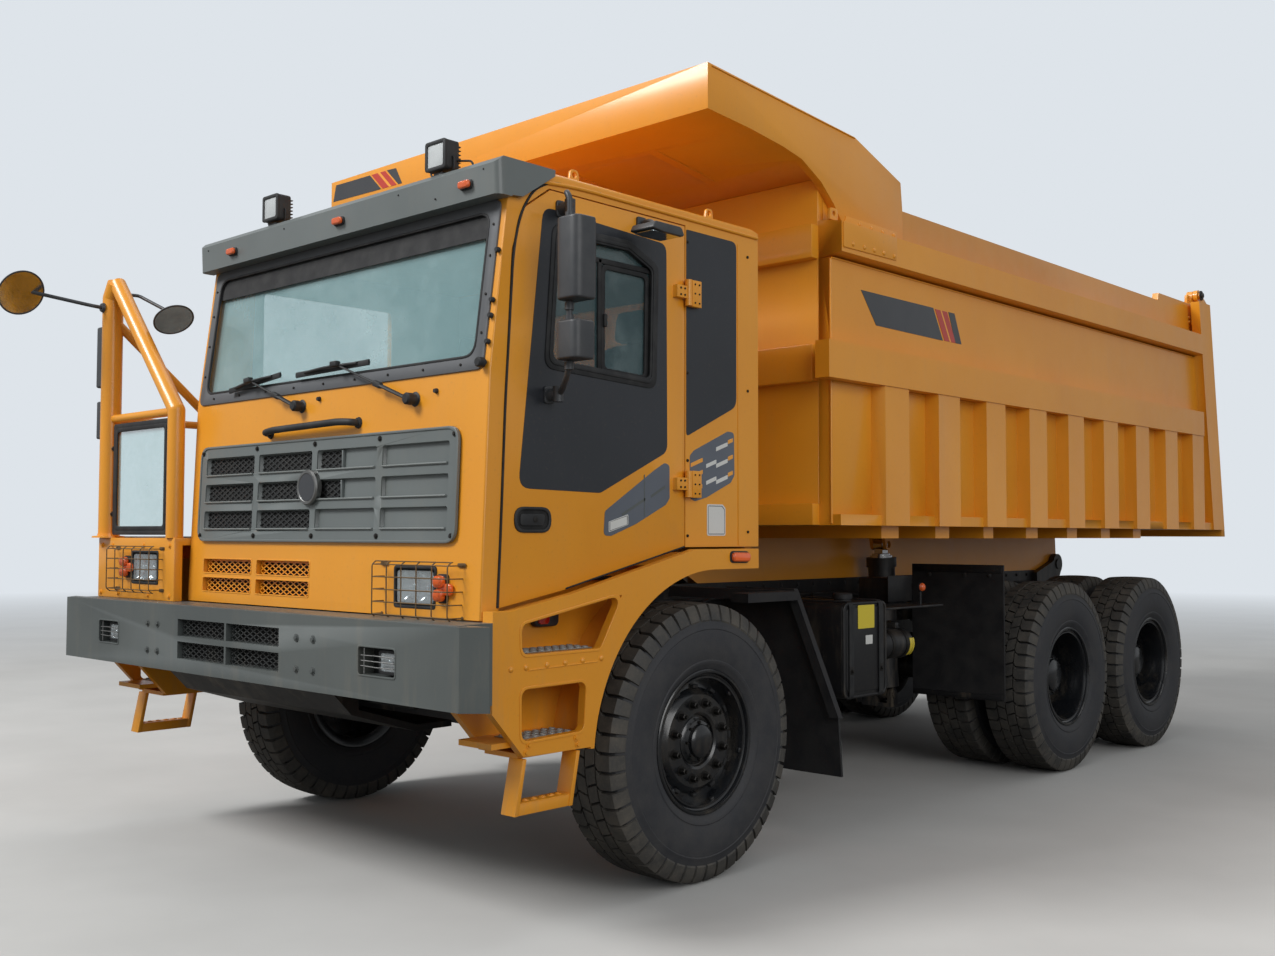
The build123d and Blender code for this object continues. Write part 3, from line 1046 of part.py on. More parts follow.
def build():
    parts = {
        "chassis_frame": chassis(), "front_bumper": bumper(), "skid_plate": skid_plate(), "engine_block": engine(),
        "front_axle": front_axle(), "front_springs": front_springs(), "bogie_springs": bogie(),
        "driven_axles": group([driven_axle(MID_AXLE_Y), driven_axle(REAR_AXLE_Y)]), "prop_shafts": prop_shafts(),
        "cab_floor": cab_floor(), "cab_front_panel": cab_front(), "front_grille": grille(),
        "cab_left_side": cab_left(), "cab_right_side": cab_right(), "cab_back_wall": cab_back(),
        "cab_roof": cab_roof(), "sun_visor": visor(), "glass_panes": group([cab_glass(), guard_screen()]), "cab_seats": seats(),
        "dashboard": dashboard(), "lamps": group([headlamps(), work_lamps()]),
        "right_platform": right_platform(), "guard_frame": guard_frame(), "right_mirrors": right_mirrors(),
        "left_fender": fender(FENDER_X, None, BUMPER_BACK),
        "right_fender": mirrored(fender(-PLATFORM_X, PLATFORM_Z - PLATE, BUMPER_BACK)),
        "ladders": group([ladder(FENDER_X), mirrored(ladder(-PLATFORM_X))]),
        "fuel_tank": fuel_tank(), "air_tanks": air_tanks(), "battery_box": battery_box(),
        "mud_guards": mud_guards(), "tail_lamp_bar": tail_lamps(),
        "cab_door": door(), "door_window": door_window(), "left_mirrors": left_mirrors(),
        "bed_floor": bed_floor(), "bed_front_wall": bed_front(), "bed_canopy": canopy(), "tailgate": tailgate(),
        "hoist_barrels": hoist_barrels(), "hoist_stage_1": hoist_stage(1), "hoist_stage_2": hoist_stage(2),
        "hoist_rods": hoist_rods(),
    }
    parts["bed_side_left"] = bed_side()
    parts["bed_side_right"] = mirrored(bed_side())
    for name, shape in (("knuckle", knuckle()), ("front_tyre", tyre(FRONT_TRACK / 2, 0)), ("front_rim", front_rim()),
                        ("mid_tyres", twin_tyres(MID_AXLE_Y)), ("mid_rims", twin_rims(MID_AXLE_Y)),
                        ("rear_tyres", twin_tyres(REAR_AXLE_Y)), ("rear_rims", twin_rims(REAR_AXLE_Y))):
        parts[name + "_left"] = shape
        parts[name + "_right"] = mirrored(shape)
    return parts


def main():
    print("origin is", ORIGIN_Y, "behind the front axle")
    os.makedirs("parts", exist_ok=True)
    for name, shape in build().items():
        export_step(Pos(0, -ORIGIN_Y, 0) * shape, f"parts/{name}.step")


main()
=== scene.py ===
"""The looks of a three-axle mining dump truck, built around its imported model.

Pieces are modelled in millimetres, with Y measured from the front axle as on the
part's drawing, and put() brings them into the frame's metres.
"""
import json
from math import atan2, cos, hypot, pi, radians, sin

import bmesh
import bpy
from mathutils import Matrix, Vector


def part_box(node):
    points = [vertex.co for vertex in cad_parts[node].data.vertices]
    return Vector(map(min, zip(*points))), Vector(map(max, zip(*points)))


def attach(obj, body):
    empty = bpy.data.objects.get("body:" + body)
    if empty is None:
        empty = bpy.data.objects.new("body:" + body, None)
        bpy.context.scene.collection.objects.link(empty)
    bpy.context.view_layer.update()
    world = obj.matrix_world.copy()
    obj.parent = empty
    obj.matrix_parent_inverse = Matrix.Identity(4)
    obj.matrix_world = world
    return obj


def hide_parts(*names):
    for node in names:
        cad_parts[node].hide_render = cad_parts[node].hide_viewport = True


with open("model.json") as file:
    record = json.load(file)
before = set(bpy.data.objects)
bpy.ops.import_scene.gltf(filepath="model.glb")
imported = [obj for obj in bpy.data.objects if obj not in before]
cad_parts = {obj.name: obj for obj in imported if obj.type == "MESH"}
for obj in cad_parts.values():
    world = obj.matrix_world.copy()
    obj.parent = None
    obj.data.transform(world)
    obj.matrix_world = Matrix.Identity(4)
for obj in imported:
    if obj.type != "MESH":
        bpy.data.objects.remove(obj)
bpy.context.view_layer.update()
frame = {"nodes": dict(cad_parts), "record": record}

MM = 0.001
FORWARD, LEFT = (0, -1, 0), (1, 0, 0)


def middle(node):
    low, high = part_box(node)
    return (low + high) / 2


AXLE_Y = middle("front_tyre_left").y
AXLE_Z = middle("front_tyre_left").z / MM


def node_box(node):
    """A node's lowest and highest corner in millimetres, with Y from the front axle."""
    low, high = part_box(node)
    shift = Vector((0, AXLE_Y, 0))
    return (low - shift) / MM, (high - shift) / MM


# ---------------------------------------------------------------- places on the truck
CAB_LEFT = node_box("cab_front_panel")[1].x         # outer face of the cab's left side
CAB_RIGHT = node_box("cab_front_panel")[0].x
BUMPER_LOW, BUMPER_HIGH = node_box("front_bumper")
VISOR_LOW, VISOR_HIGH = node_box("sun_visor")
GRILLE_LOW, GRILLE_HIGH = node_box("front_grille")
TYRE_RADIUS = (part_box("front_tyre_left")[1].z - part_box("front_tyre_left")[0].z) / 2 / MM
TYRE_WIDTH = node_box("front_tyre_left")[1].x - node_box("front_tyre_left")[0].x
FRONT_WHEEL_X = middle("front_tyre_left").x / MM
MID_AXLE = (middle("mid_tyres_left").y - AXLE_Y) / MM
REAR_AXLE = (middle("rear_tyres_left").y - AXLE_Y) / MM
OUTER_TWIN_X = node_box("mid_tyres_left")[1].x - TYRE_WIDTH / 2
INNER_TWIN_X = node_box("mid_tyres_left")[0].x + TYRE_WIDTH / 2

GUARD_FACE = node_box("right_platform")[0].y        # the right platform's front face
PLATFORM_OUT = -node_box("right_platform")[0].x     # how far it reaches to the right
FENDER_OUT = node_box("left_fender")[1].x           # outer face of the left fender
SIDE_FOOT_Z = node_box("cab_left_side")[0].z + 305  # foot of the cab's left side behind the door
MIRROR_REACH = node_box("left_mirrors")[1].x        # outer end of the left mirrors
RIGHT_MIRROR_LOW = node_box("right_mirrors")[0]

# the cab's leaning front face: y and z of its three edges
CAB_FRONT = ((-1450, 1346), (-1410, 2400), (-1310, 3150))


def front_y(z):
    """The cab's front face at a height."""
    (y0, z0), (y1, z1), (y2, z2) = CAB_FRONT
    if z <= z1:
        return y0 + (y1 - y0) * (z - z0) / (z1 - z0)
    return y1 + (y2 - y1) * (z - z1) / (z2 - z1)


# ================================================================ materials
def colour(red, green, blue):
    """A colour given as 0 to 255 sRGB, as the linear value that shaders take."""
    def linear(c):
        c /= 255
        return c / 12.92 if c <= 0.04045 else ((c + 0.055) / 1.055) ** 2.4
    return (linear(red), linear(green), linear(blue), 1.0)


class Shader:
    """A node material under construction."""

    def __init__(self, name):
        self.material = bpy.data.materials.new(name)
        self.material.use_nodes = True
        self.tree = self.material.node_tree
        self.shader = self.tree.nodes["Principled BSDF"]
        self.place = self.tree.nodes.new("ShaderNodeTexCoord").outputs["Object"]

    def node(self, kind, **settings):
        made = self.tree.nodes.new(kind)
        for key, value in settings.items():
            setattr(made, key, value)
        return made

    def link(self, source, target):
        self.tree.links.new(source, target)

    def noise(self, scale, detail=4.0, roughness=0.55, stretch=None):
        texture = self.node("ShaderNodeTexNoise")
        texture.inputs["Scale"].default_value = scale
        texture.inputs["Detail"].default_value = detail
        texture.inputs["Roughness"].default_value = roughness
        place = self.place
        if stretch:
            mapping = self.node("ShaderNodeMapping")
            mapping.inputs["Scale"].default_value = stretch
            self.link(place, mapping.inputs["Vector"])
            place = mapping.outputs["Vector"]
        self.link(place, texture.inputs["Vector"])
        return texture.outputs["Fac"]

    def ramp(self, value, low, high, ends="From"):
        """Stretches low..high of a value to 0..1."""
        made = self.node("ShaderNodeMapRange")
        made.inputs[ends + " Min"].default_value = low
        made.inputs[ends + " Max"].default_value = high
        self.link(value, made.inputs["Value"])
        return made.outputs["Result"]

    def mix(self, factor, first, second):
        """A colour between two, each a colour or an output."""
        made = self.node("ShaderNodeMix", data_type="RGBA")
        for index, source in ((6, first), (7, second)):
            if isinstance(source, tuple):
                made.inputs[index].default_value = source
            else:
                self.link(source, made.inputs[index])
        if isinstance(factor, float):
            made.inputs[0].default_value = factor
        else:
            self.link(factor, made.inputs[0])
        return made.outputs[2]

    def scaled(self, value, low, high):
        """A 0..1 value as low..high."""
        return self.ramp(value, low, high, "To")

    def multiply(self, first, second):
        made = self.node("ShaderNodeMath", operation="MULTIPLY")
        self.link(first, made.inputs[0])
        if isinstance(second, (int, float)):
            made.inputs[1].default_value = second
        else:
            self.link(second, made.inputs[1])
        return made.outputs[0]

    def height(self):
        """Height above the ground in metres."""
        made = self.node("ShaderNodeSeparateXYZ")
        self.link(self.place, made.inputs["Vector"])
        return made.outputs["Z"]

    def bump(self, value, distance, strength=1.0):
        made = self.node("ShaderNodeBump")
        made.inputs["Distance"].default_value = distance
        made.inputs["Strength"].default_value = strength
        self.link(value, made.inputs["Height"])
        self.link(made.outputs["Normal"], self.shader.inputs["Normal"])

    def surface(self, body, roughness):
        """Feeds the colour and the roughness."""
        self.link(body, self.shader.inputs["Base Color"])
        self.link(roughness, self.shader.inputs["Roughness"])

    def set(self, **values):
        for key, value in values.items():
            socket = key.replace("_", " ").title().replace("Ior", "IOR")
            self.shader.inputs[socket].default_value = value


def paint(name, base, deep, roughness=0.36, coat=0.35, dust=0.25):
    """Sprayed paint: slightly uneven tone, orange peel, a dull film, and dust low down."""
    s = Shader(name)
    tone = s.ramp(s.noise(1.3, 5.0), 0.35, 0.68)
    speck = s.ramp(s.noise(55.0, 3.0), 0.60, 0.74)
    body = s.mix(tone, colour(*deep), colour(*base))
    body = s.mix(s.multiply(speck, 0.10), body, colour(120, 100, 78))
    streaks = s.ramp(s.noise(5.0, 6.0, 0.7, stretch=(1.0, 1.0, 0.18)), 0.52, 0.82)
    low = s.ramp(s.height(), 1.5, 0.4)
    body = s.mix(s.multiply(s.multiply(low, streaks), dust * 2.2), body, colour(150, 136, 116))
    body = s.mix(s.multiply(streaks, dust * 0.35), body, colour(158, 142, 118))
    s.surface(body, s.scaled(s.noise(9.0, 5.0), roughness - 0.07, roughness + 0.12))
    s.set(coat_weight=coat, coat_roughness=0.18)
    s.bump(s.noise(260.0, 2.0), 0.00025, 0.35)
    return s.material


def printed(name, base, deep, roughness=0.34, coat=0.4):
    """Stuck-on film, a little cleaner than the paint under it."""
    return paint(name, base, deep, roughness, coat, dust=0.1)


def rubber(name, base, dust, amount):
    """Tyre rubber: matt, fine moulded grain, with pale dust in the hollows."""
    s = Shader(name)
    film = s.ramp(s.noise(7.0, 8.0, 0.68), 0.40, 0.72)
    grit = s.ramp(s.noise(90.0, 4.0, 0.6), 0.5, 0.75)
    body = s.mix(s.multiply(film, amount), colour(*base), colour(*dust))
    body = s.mix(s.multiply(grit, amount * 0.45), body, colour(*dust))
    s.surface(body, s.scaled(film, 0.62, 0.86))
    s.bump(s.noise(420.0, 3.0), 0.0006, 0.5)
    return s.material


def moulded(name, base, roughness=0.5, grain=600.0, depth=0.0004, worn=0.12):
    """Grained plastic or rubber-like mouldings."""
    s = Shader(name)
    shade = s.ramp(s.noise(11.0, 5.0), 0.4, 0.75)
    body = s.mix(s.multiply(shade, worn), colour(*base), colour(118, 116, 112))
    s.surface(body, s.scaled(s.noise(20.0), roughness - 0.08, roughness + 0.1))
    s.bump(s.noise(grain, 2.0), depth, 0.5)
    return s.material


def bare_metal(name, base, roughness, metallic=1.0):
    """Machined, cast or plated metal with fine brushing."""
    s = Shader(name)
    shade = s.ramp(s.noise(16.0, 6.0), 0.35, 0.75)
    base = colour(*base)
    dull = tuple(c * 0.55 for c in base[:3]) + (1.0,)
    s.surface(s.mix(s.multiply(shade, 0.6), base, dull), s.scaled(s.noise(60.0, 4.0),
                                                                  roughness - 0.06, roughness + 0.14))
    s.set(metallic=metallic)
    s.bump(s.noise(300.0, 2.0, stretch=(1.0, 8.0, 1.0)), 0.0002, 0.4)
    return s.material


def clear(name, tint, alpha, roughness=0.03):
    """Glass seen through: a tinted, glossy film with faint smears."""
    s = Shader(name)
    smear = s.ramp(s.noise(3.0, 6.0, 0.65), 0.45, 0.8)
    s.surface(s.mix(s.multiply(smear, 0.35), colour(*tint), colour(205, 222, 222)),
              s.scaled(smear, roughness, roughness + 0.06))
    s.link(s.scaled(smear, alpha - 0.04, alpha + 0.10), s.shader.inputs["Alpha"])
    s.set(specular_ior_level=0.8)
    return s.material


def lens(name, base, ribs=260.0):
    """A lamp's moulded lens: glossy, with fine prisms behind it."""
    s = Shader(name)
    wave = s.node("ShaderNodeTexWave", wave_type="BANDS", bands_direction="X")
    wave.inputs["Scale"].default_value = ribs
    s.link(s.place, wave.inputs["Vector"])
    base = colour(*base)
    bright = tuple(min(1.0, c * 1.35 + 0.02) for c in base[:3]) + (1.0,)
    s.surface(s.mix(wave.outputs["Fac"], base, bright), s.scaled(s.noise(30.0), 0.06, 0.16))
    s.set(coat_weight=0.8)
    s.bump(wave.outputs["Fac"], 0.0015, 0.5)
    return s.material


def cloth(name, base, thread):
    """Woven seat cloth."""
    s = Shader(name)
    weave = s.node("ShaderNodeTexBrick")
    weave.inputs["Scale"].default_value = 260.0
    weave.inputs["Mortar Size"].default_value = 0.03
    weave.inputs["Color1"].default_value = (1, 1, 1, 1)
    weave.inputs["Color2"].default_value = (0.7, 0.7, 0.7, 1)
    weave.inputs["Mortar"].default_value = (0, 0, 0, 1)
    s.link(s.place, weave.inputs["Vector"])
    tone = s.ramp(s.noise(14.0), 0.3, 0.75)
    body = s.mix(weave.outputs["Color"], colour(*thread), colour(*base))
    s.surface(s.mix(s.multiply(tone, 0.3), body, colour(*thread)), s.scaled(tone, 0.82, 0.95))
    s.set(sheen_weight=0.25)
    s.bump(weave.outputs["Color"], 0.0008, 0.6)
    return s.material


# each finish: a material slot of the record, and its material
FINISHES = {
    "paint": ("yellow_paint", paint("orange paint", (236, 158, 38), (230, 151, 33))),
    "slate": ("grey_paint", paint("slate grey paint", (92, 97, 95), (82, 87, 86), roughness=0.42, coat=0.15)),
    "charcoal": ("grey_paint", paint("charcoal film",
                                     (42, 45, 51), (36, 39, 44), roughness=0.38, coat=0.2, dust=0.08)),
    "black": ("black_paint", paint("chassis black",
                                   (27, 27, 29), (20, 20, 22), roughness=0.46, coat=0.1, dust=0.30)),
    "rim": ("rim_black", paint("rim black", (26, 28, 32), (18, 20, 23), roughness=0.22, coat=0.6, dust=0.10)),
    "tread": ("tyre_rubber", rubber("tread rubber", (60, 59, 57), (122, 114, 102), 0.42)),
    "sidewall": ("tyre_rubber", rubber("sidewall rubber", (48, 49, 53), (104, 100, 94), 0.20)),
    "flap": ("flap_rubber", rubber("flap rubber", (26, 26, 29), (90, 86, 80), 0.18)),
    "plastic": ("mirror_shell", moulded("mirror plastic", (58, 60, 63), 0.42)),
    "matt": ("dark_plastic", moulded("matt black plastic", (30, 31, 33), 0.62)),
    "seal": ("dark_plastic", moulded("seal rubber", (22, 22, 24), 0.7)),
    "gasket": ("dark_plastic", moulded("windscreen rubber", (88, 90, 93), 0.6)),
    "dash": ("dark_plastic", moulded("dashboard plastic", (62, 64, 67), 0.62, grain=900.0)),
    "steel": ("hoist_chrome", bare_metal("zinc steel", (150, 150, 148), 0.36)),
    "dark_steel": ("engine_grey", bare_metal("dark steel", (70, 68, 66), 0.48)),
    "tread_plate": ("engine_grey", bare_metal("grip plate", (158, 156, 150), 0.55, metallic=0.4)),
    "chrome": ("hoist_chrome", bare_metal("hoist chrome", (205, 206, 208), 0.14)),
    "cast": ("engine_grey", bare_metal("cast iron", (72, 72, 72), 0.62, metallic=0.6)),
    "mirror": ("hoist_chrome", bare_metal("mirror glass", (196, 206, 210), 0.08)),
    "lining": ("dark_plastic", moulded("cab lining", (196, 202, 202), 0.7, grain=500.0)),
    "glass": ("pane_glass", clear("windscreen glass", (172, 212, 215), 0.36)),
    "side_glass": ("pane_glass", clear("side glass", (70, 98, 102), 0.48)),
    "lens": ("lamp_lens", lens("clear lens", (208, 212, 212))),
    "amber": ("lamp_lens", lens("amber lens", (226, 92, 22))),
    "red": ("lamp_lens", lens("red lens", (168, 22, 18))),
    "lens_clear": ("pane_glass", clear("lamp glass", (226, 232, 234), 0.22)),
    "mesh_grey": ("dark_plastic", paint("mesh grey",
                                        (58, 60, 60), (44, 46, 46), roughness=0.5, coat=0.05, dust=0.2)),
    # painted highlight: slate made lighter for the lower lips of the grille cells, where the light catches
    # them
    "slate_highlight": ("grey_paint", paint("slate with painted highlight",
                                        (124, 129, 127), (112, 117, 115), roughness=0.4, coat=0.2)),
    # painted sunlight: a lighter copy of the slate paint for the visor and grille faces that the light falls
    # on
    "slate_sunlit": ("grey_paint", paint("slate paint with painted sunlight",
                                         (112, 118, 117), (102, 108, 107), roughness=0.38, coat=0.25)),
    "slate_bolt": ("grey_paint", paint("painted bolts", (84, 88, 87), (70, 74, 73), roughness=0.4, coat=0.2)),
    # painted shade: near-black sheets put in openings and recesses where there is only shade
    "painted_shade": ("dark_plastic", moulded("dark painted shade", (12, 12, 13), 0.8)),
    "cage": ("engine_grey", bare_metal("cage wire", (120, 96, 66), 0.5, metallic=0.5)),
    "seat": ("seat_cloth", cloth("seat cloth", (64, 66, 70), (38, 40, 44))),
    "decal_grey": ("grey_paint", printed("grey decal", (98, 104, 114), (84, 90, 100))),
    "decal_dark": ("grey_paint", printed("dark decal", (60, 62, 66), (52, 54, 58))),
    "decal_red": ("yellow_paint", printed("red decal", (196, 62, 44), (180, 52, 38))),
    "decal_orange": ("yellow_paint", printed("light orange decal", (244, 168, 60), (236, 156, 50))),
    "decal_yellow": ("yellow_paint", printed("yellow label", (228, 206, 60), (216, 192, 52), 0.4, 0.2)),
    "decal_white": ("yellow_paint", printed("white label", (222, 222, 218), (206, 206, 202), 0.4, 0.2)),
}
LOOKS = {look: material for look, (_, material) in FINISHES.items()}


# ================================================================ mesh helpers
def placed(name, data):
    """A new object in the scene."""
    thing = bpy.data.objects.new(name, data)
    bpy.context.scene.collection.objects.link(thing)
    return thing


def put(name, bm, look, edge_angle=35.0, replaces=(), body="chassis"):
    """Turns a mesh built in millimetres from the front axle into a piece of the truck."""
    bmesh.ops.recalc_face_normals(bm, faces=bm.faces)
    bmesh.ops.transform(bm, matrix=Matrix.Translation((0, AXLE_Y, 0)) @ Matrix.Scale(MM, 4), verts=bm.verts)
    limit = radians(edge_angle)
    for face in bm.faces:
        face.smooth = True
    for edge in bm.edges:
        edge.smooth = len(edge.link_faces) == 2 and edge.calc_face_angle(0.0) < limit
    data = bpy.data.meshes.new(name)
    bm.to_mesh(data)
    bm.free()
    piece = placed(name, data)
    data.materials.append(LOOKS[look])
    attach(piece, body)
    if replaces:
        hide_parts(*replaces)
    return piece


def joined(parts):
    """Several meshes as one; the parts are used up."""
    whole = bmesh.new()
    for part in parts:
        data = bpy.data.meshes.new("part")
        part.to_mesh(data)
        part.free()
        whole.from_mesh(data)
        bpy.data.meshes.remove(data)
    return whole


def moved(bm, offset=(0, 0, 0), turn=None, centre=(0, 0, 0)):
    """Turns a mesh about a centre and then shifts it."""
    if turn is not None:
        bmesh.ops.rotate(bm, cent=centre, matrix=turn, verts=bm.verts)
    bmesh.ops.translate(bm, vec=offset, verts=bm.verts)
    return bm


def copied(bm, offset=(0, 0, 0), turn=None, centre=(0, 0, 0)):
    return moved(bm.copy(), offset, turn, centre)


def mirrored(bm):
    """The same mesh on the other side of the truck."""
    other = bm.copy()
    bmesh.ops.scale(other, vec=(-1, 1, 1), verts=other.verts)
    bmesh.ops.reverse_faces(other, faces=other.faces)
    return other


def both_sides(bm):
    """A mesh together with its mirror image."""
    other = mirrored(bm)
    return joined([bm, other])


def leaning(bm, y_at, shift=0.0):
    """Moves an upright sheet made at Y 0 on to a face whose place is y_at(z)."""
    for v in bm.verts:
        v.co.y += y_at(v.co.z) + shift
    return bm


def bevelled(bm, width, segments=2, angle=30.0):
    edges = [e for e in bm.edges if len(e.link_faces) == 2 and e.calc_face_angle(0.0) > radians(angle)]
    if edges and width:
        bmesh.ops.bevel(bm, geom=edges, offset=width,
                        segments=segments, profile=0.5, affect="EDGES", clamp_overlap=True)
    return bm


def block(x, y, z, bevel=0.0, segments=2):
    """A box between two values on each axis, with rounded edges."""
    bm = bmesh.new()
    bmesh.ops.create_cube(bm, size=1.0)
    size = [b - a for a, b in (x, y, z)]
    centre = [(a + b) / 2 for a, b in (x, y, z)]
    bmesh.ops.scale(bm, vec=size, verts=bm.verts)
    bmesh.ops.translate(bm, vec=centre, verts=bm.verts)
    return bevelled(bm, bevel, segments)


def rounded(outline, radius, steps=5):
    """An outline with each corner turned into an arc; radius is one value or one for each corner."""
    count = len(outline)
    radii = [radius] * count if isinstance(radius, (int, float)) else list(radius)
    result = []
    for index, corner in enumerate(outline):
        here = Vector(corner)
        back = Vector(outline[index - 1]) - here
        ahead = Vector(outline[(index + 1) % count]) - here
        turn = pi - back.angle(ahead)
        reach = radii[index] * abs(sin(turn / 2) / cos(turn / 2)) if turn > 0.02 else 0.0
        reach = min(reach, back.length * 0.48, ahead.length * 0.48)
        if reach < 0.01:
            result.append(tuple(here))
            continue
        start, end = here + back.normalized() * reach, here + ahead.normalized() * reach
        for step in range(steps + 1):
            t = step / steps
            result.append(tuple(start * (1 - t) ** 2 + here * 2 * t * (1 - t) + end * t * t))
    return result


def rectangle(x0, x1, z0, z1):
    return [(x0, z0), (x1, z0), (x1, z1), (x0, z1)]


def oblong(x0, x1, z0, z1, radius, steps=5):
    """A rectangle with rounded corners."""
    return rounded(rectangle(x0, x1, z0, z1), radius, steps)


def inset(box, across, up, radius):
    """A rectangle x0, x1, z0, z1 made smaller on every side, with rounded corners."""
    x0, x1, z0, z1 = box
    return oblong(x0 + across, x1 - across, z0 + up, z1 - up, radius)


AXES = {"X": (0, 1, 2), "Y": (1, 0, 2), "Z": (2, 0, 1)}     # depth axis, then the outline's two axes


def slab(outline, axis, low, high, bevel=0.0, holes=(), segments=2):
    """An outline extended along an axis, with holes through it and rounded edges."""
    depth, across, up = AXES[axis]

    def corner(point, level):
        place = [0.0, 0.0, 0.0]
        place[depth], place[across], place[up] = level, point[0], point[1]
        return place

    bm = bmesh.new()
    loops = []
    for ring in [outline, *holes]:
        verts = [bm.verts.new(corner(p, low)) for p in ring]
        loops.append([bm.edges.new((a, b)) for a, b in zip(verts, verts[1:] + verts[:1])])
    edges = [e for loop in loops for e in loop]
    bmesh.ops.triangle_fill(bm, use_beauty=True, use_dissolve=True, edges=edges)
    flat = bm.faces[:]
    out = bmesh.ops.extrude_face_region(bm, geom=flat)
    shift = [0.0, 0.0, 0.0]
    shift[depth] = high - low
    bmesh.ops.translate(bm, vec=shift, verts=[v for v in out["geom"] if isinstance(v, bmesh.types.BMVert)])
    bmesh.ops.recalc_face_normals(bm, faces=bm.faces)
    return bevelled(bm, bevel, segments, 50.0)


def frame_for(direction):
    """Two unit vectors square to a direction."""
    direction = Vector(direction).normalized()
    side = direction.cross(Vector((0, 0, 1)))
    if side.length < 0.01:
        side = Vector((1, 0, 0))
    side.normalize()
    return side, direction.cross(side).normalized()


def angles(count, phase=0.0):
    """Angles spread evenly round a circle, turned on by a share of their spacing."""
    return [2 * pi * (k + phase) / count for k in range(count)]


def circle(count, radius, centre, phase=0.0):
    """Places round a circle that faces along X."""
    x, y, z = centre
    return [(x, y + radius * cos(a), z + radius * sin(a)) for a in angles(count, phase)]


def round_hole(across, up, radius):
    """Outline of a small round hole."""
    return [(across + radius * cos(a), up + radius * sin(a)) for a in angles(20)]


def skin(bm, rings):
    """Faces between neighbouring rings of vertices."""
    for first, second in zip(rings, rings[1:]):
        for k in range(len(first)):
            n = (k + 1) % len(first)
            bm.faces.new((first[k], first[n], second[n], second[k]))


def capped(bm, rings):
    """Faces between rings and over both ends."""
    skin(bm, rings)
    bm.faces.new(rings[0][::-1])
    bm.faces.new(rings[-1])


def eased(points, radius, steps=5):
    """A path with each corner turned into an arc."""
    path = [Vector(points[0])]
    for before, here, after in zip(points, points[1:], points[2:]):
        here = Vector(here)
        back, ahead = Vector(before) - here, Vector(after) - here
        reach = min(radius, back.length * 0.45, ahead.length * 0.45)
        start, end = here + back.normalized() * reach, here + ahead.normalized() * reach
        for step in range(steps + 1):
            t = step / steps
            path.append(start * (1 - t) ** 2 + here * 2 * t * (1 - t) + end * t * t)
    path.append(Vector(points[-1]))
    return path


def tube(points, radius, bend=60.0, sides=14, flat=1.0):
    """A round bar along a path with eased corners and closed ends."""
    path = eased(points, bend) if len(points) > 2 else [Vector(p) for p in points]
    bm = bmesh.new()
    side, up = frame_for(path[1] - path[0])
    rings = []
    for index, here in enumerate(path):
        ahead = path[min(index + 1, len(path) - 1)] - path[max(index - 1, 0)]
        ahead.normalize()
        side = (side - ahead * side.dot(ahead)).normalized()
        up = ahead.cross(side).normalized()
        rings.append([bm.verts.new(here + side * cos(a) * radius + up * sin(a) * radius * flat)
                      for a in angles(sides)])
    capped(bm, rings)
    bmesh.ops.recalc_face_normals(bm, faces=bm.faces)
    return bm


def turned(profile, centre, axis="X", steps=96, closed=True):
    """A profile of distance along an axis and radius, turned about that axis at a place."""
    depth, across, up = AXES[axis]
    bm = bmesh.new()
    rings = []
    for along, radius in profile:
        ring = []
        for a in angles(steps) if radius > 0.001 else [0.0]:
            place = [0.0, 0.0, 0.0]
            place[depth] = centre[depth] + along
            place[across] = centre[across] + radius * cos(a)
            place[up] = centre[up] + radius * sin(a)
            ring.append(bm.verts.new(place))
        rings.append(ring)
    for first, second in list(zip(rings, rings[1:])) + ([(rings[-1], rings[0])] if closed else []):
        for k in range(steps):
            n = (k + 1) % steps
            if len(first) == 1 and len(second) > 1:
                bm.faces.new((first[0], second[n], second[k]))
            elif len(second) == 1 and len(first) > 1:
                bm.faces.new((first[k], first[n], second[0]))
            elif len(first) > 1:
                bm.faces.new((first[k], first[n], second[n], second[k]))
    bmesh.ops.recalc_face_normals(bm, faces=bm.faces)
    return bm


def spun(profile, centre, axis="X", steps=96):
    """A profile that starts and ends on the axis, turned about it into a closed body."""
    return turned(profile, centre, axis, steps, closed=False)


def bolt(place, direction, size=22.0, thick=12.0, washer=True):
    """A hexagon head on its washer, standing on a face."""
    side, up = frame_for(direction)
    out = Vector(direction).normalized()
    foot = 2.5 if washer else 0.0
    stacks = [(12, ((0.0, size * 0.78), (foot, size * 0.78)))] if washer else []
    stacks.append((6, ((foot, size * 0.5), (thick - 2, size * 0.5), (thick, size * 0.42))))
    bm = bmesh.new()
    for sides, levels in stacks:
        capped(bm, [[bm.verts.new(Vector(place) + out * level + side * cos(a) * radius + up * sin(a) * radius)
                     for a in angles(sides)] for level, radius in levels])
    return bm


def bolts(places, direction, size=22.0, thick=12.0, washer=True):
    return joined([bolt(p, direction, size, thick, washer) for p in places])


def on_line(start, end, count):
    """Places spread evenly from start to end."""
    a, b = Vector(start), Vector(end)
    return [a.lerp(b, k / (count - 1)) for k in range(count)]


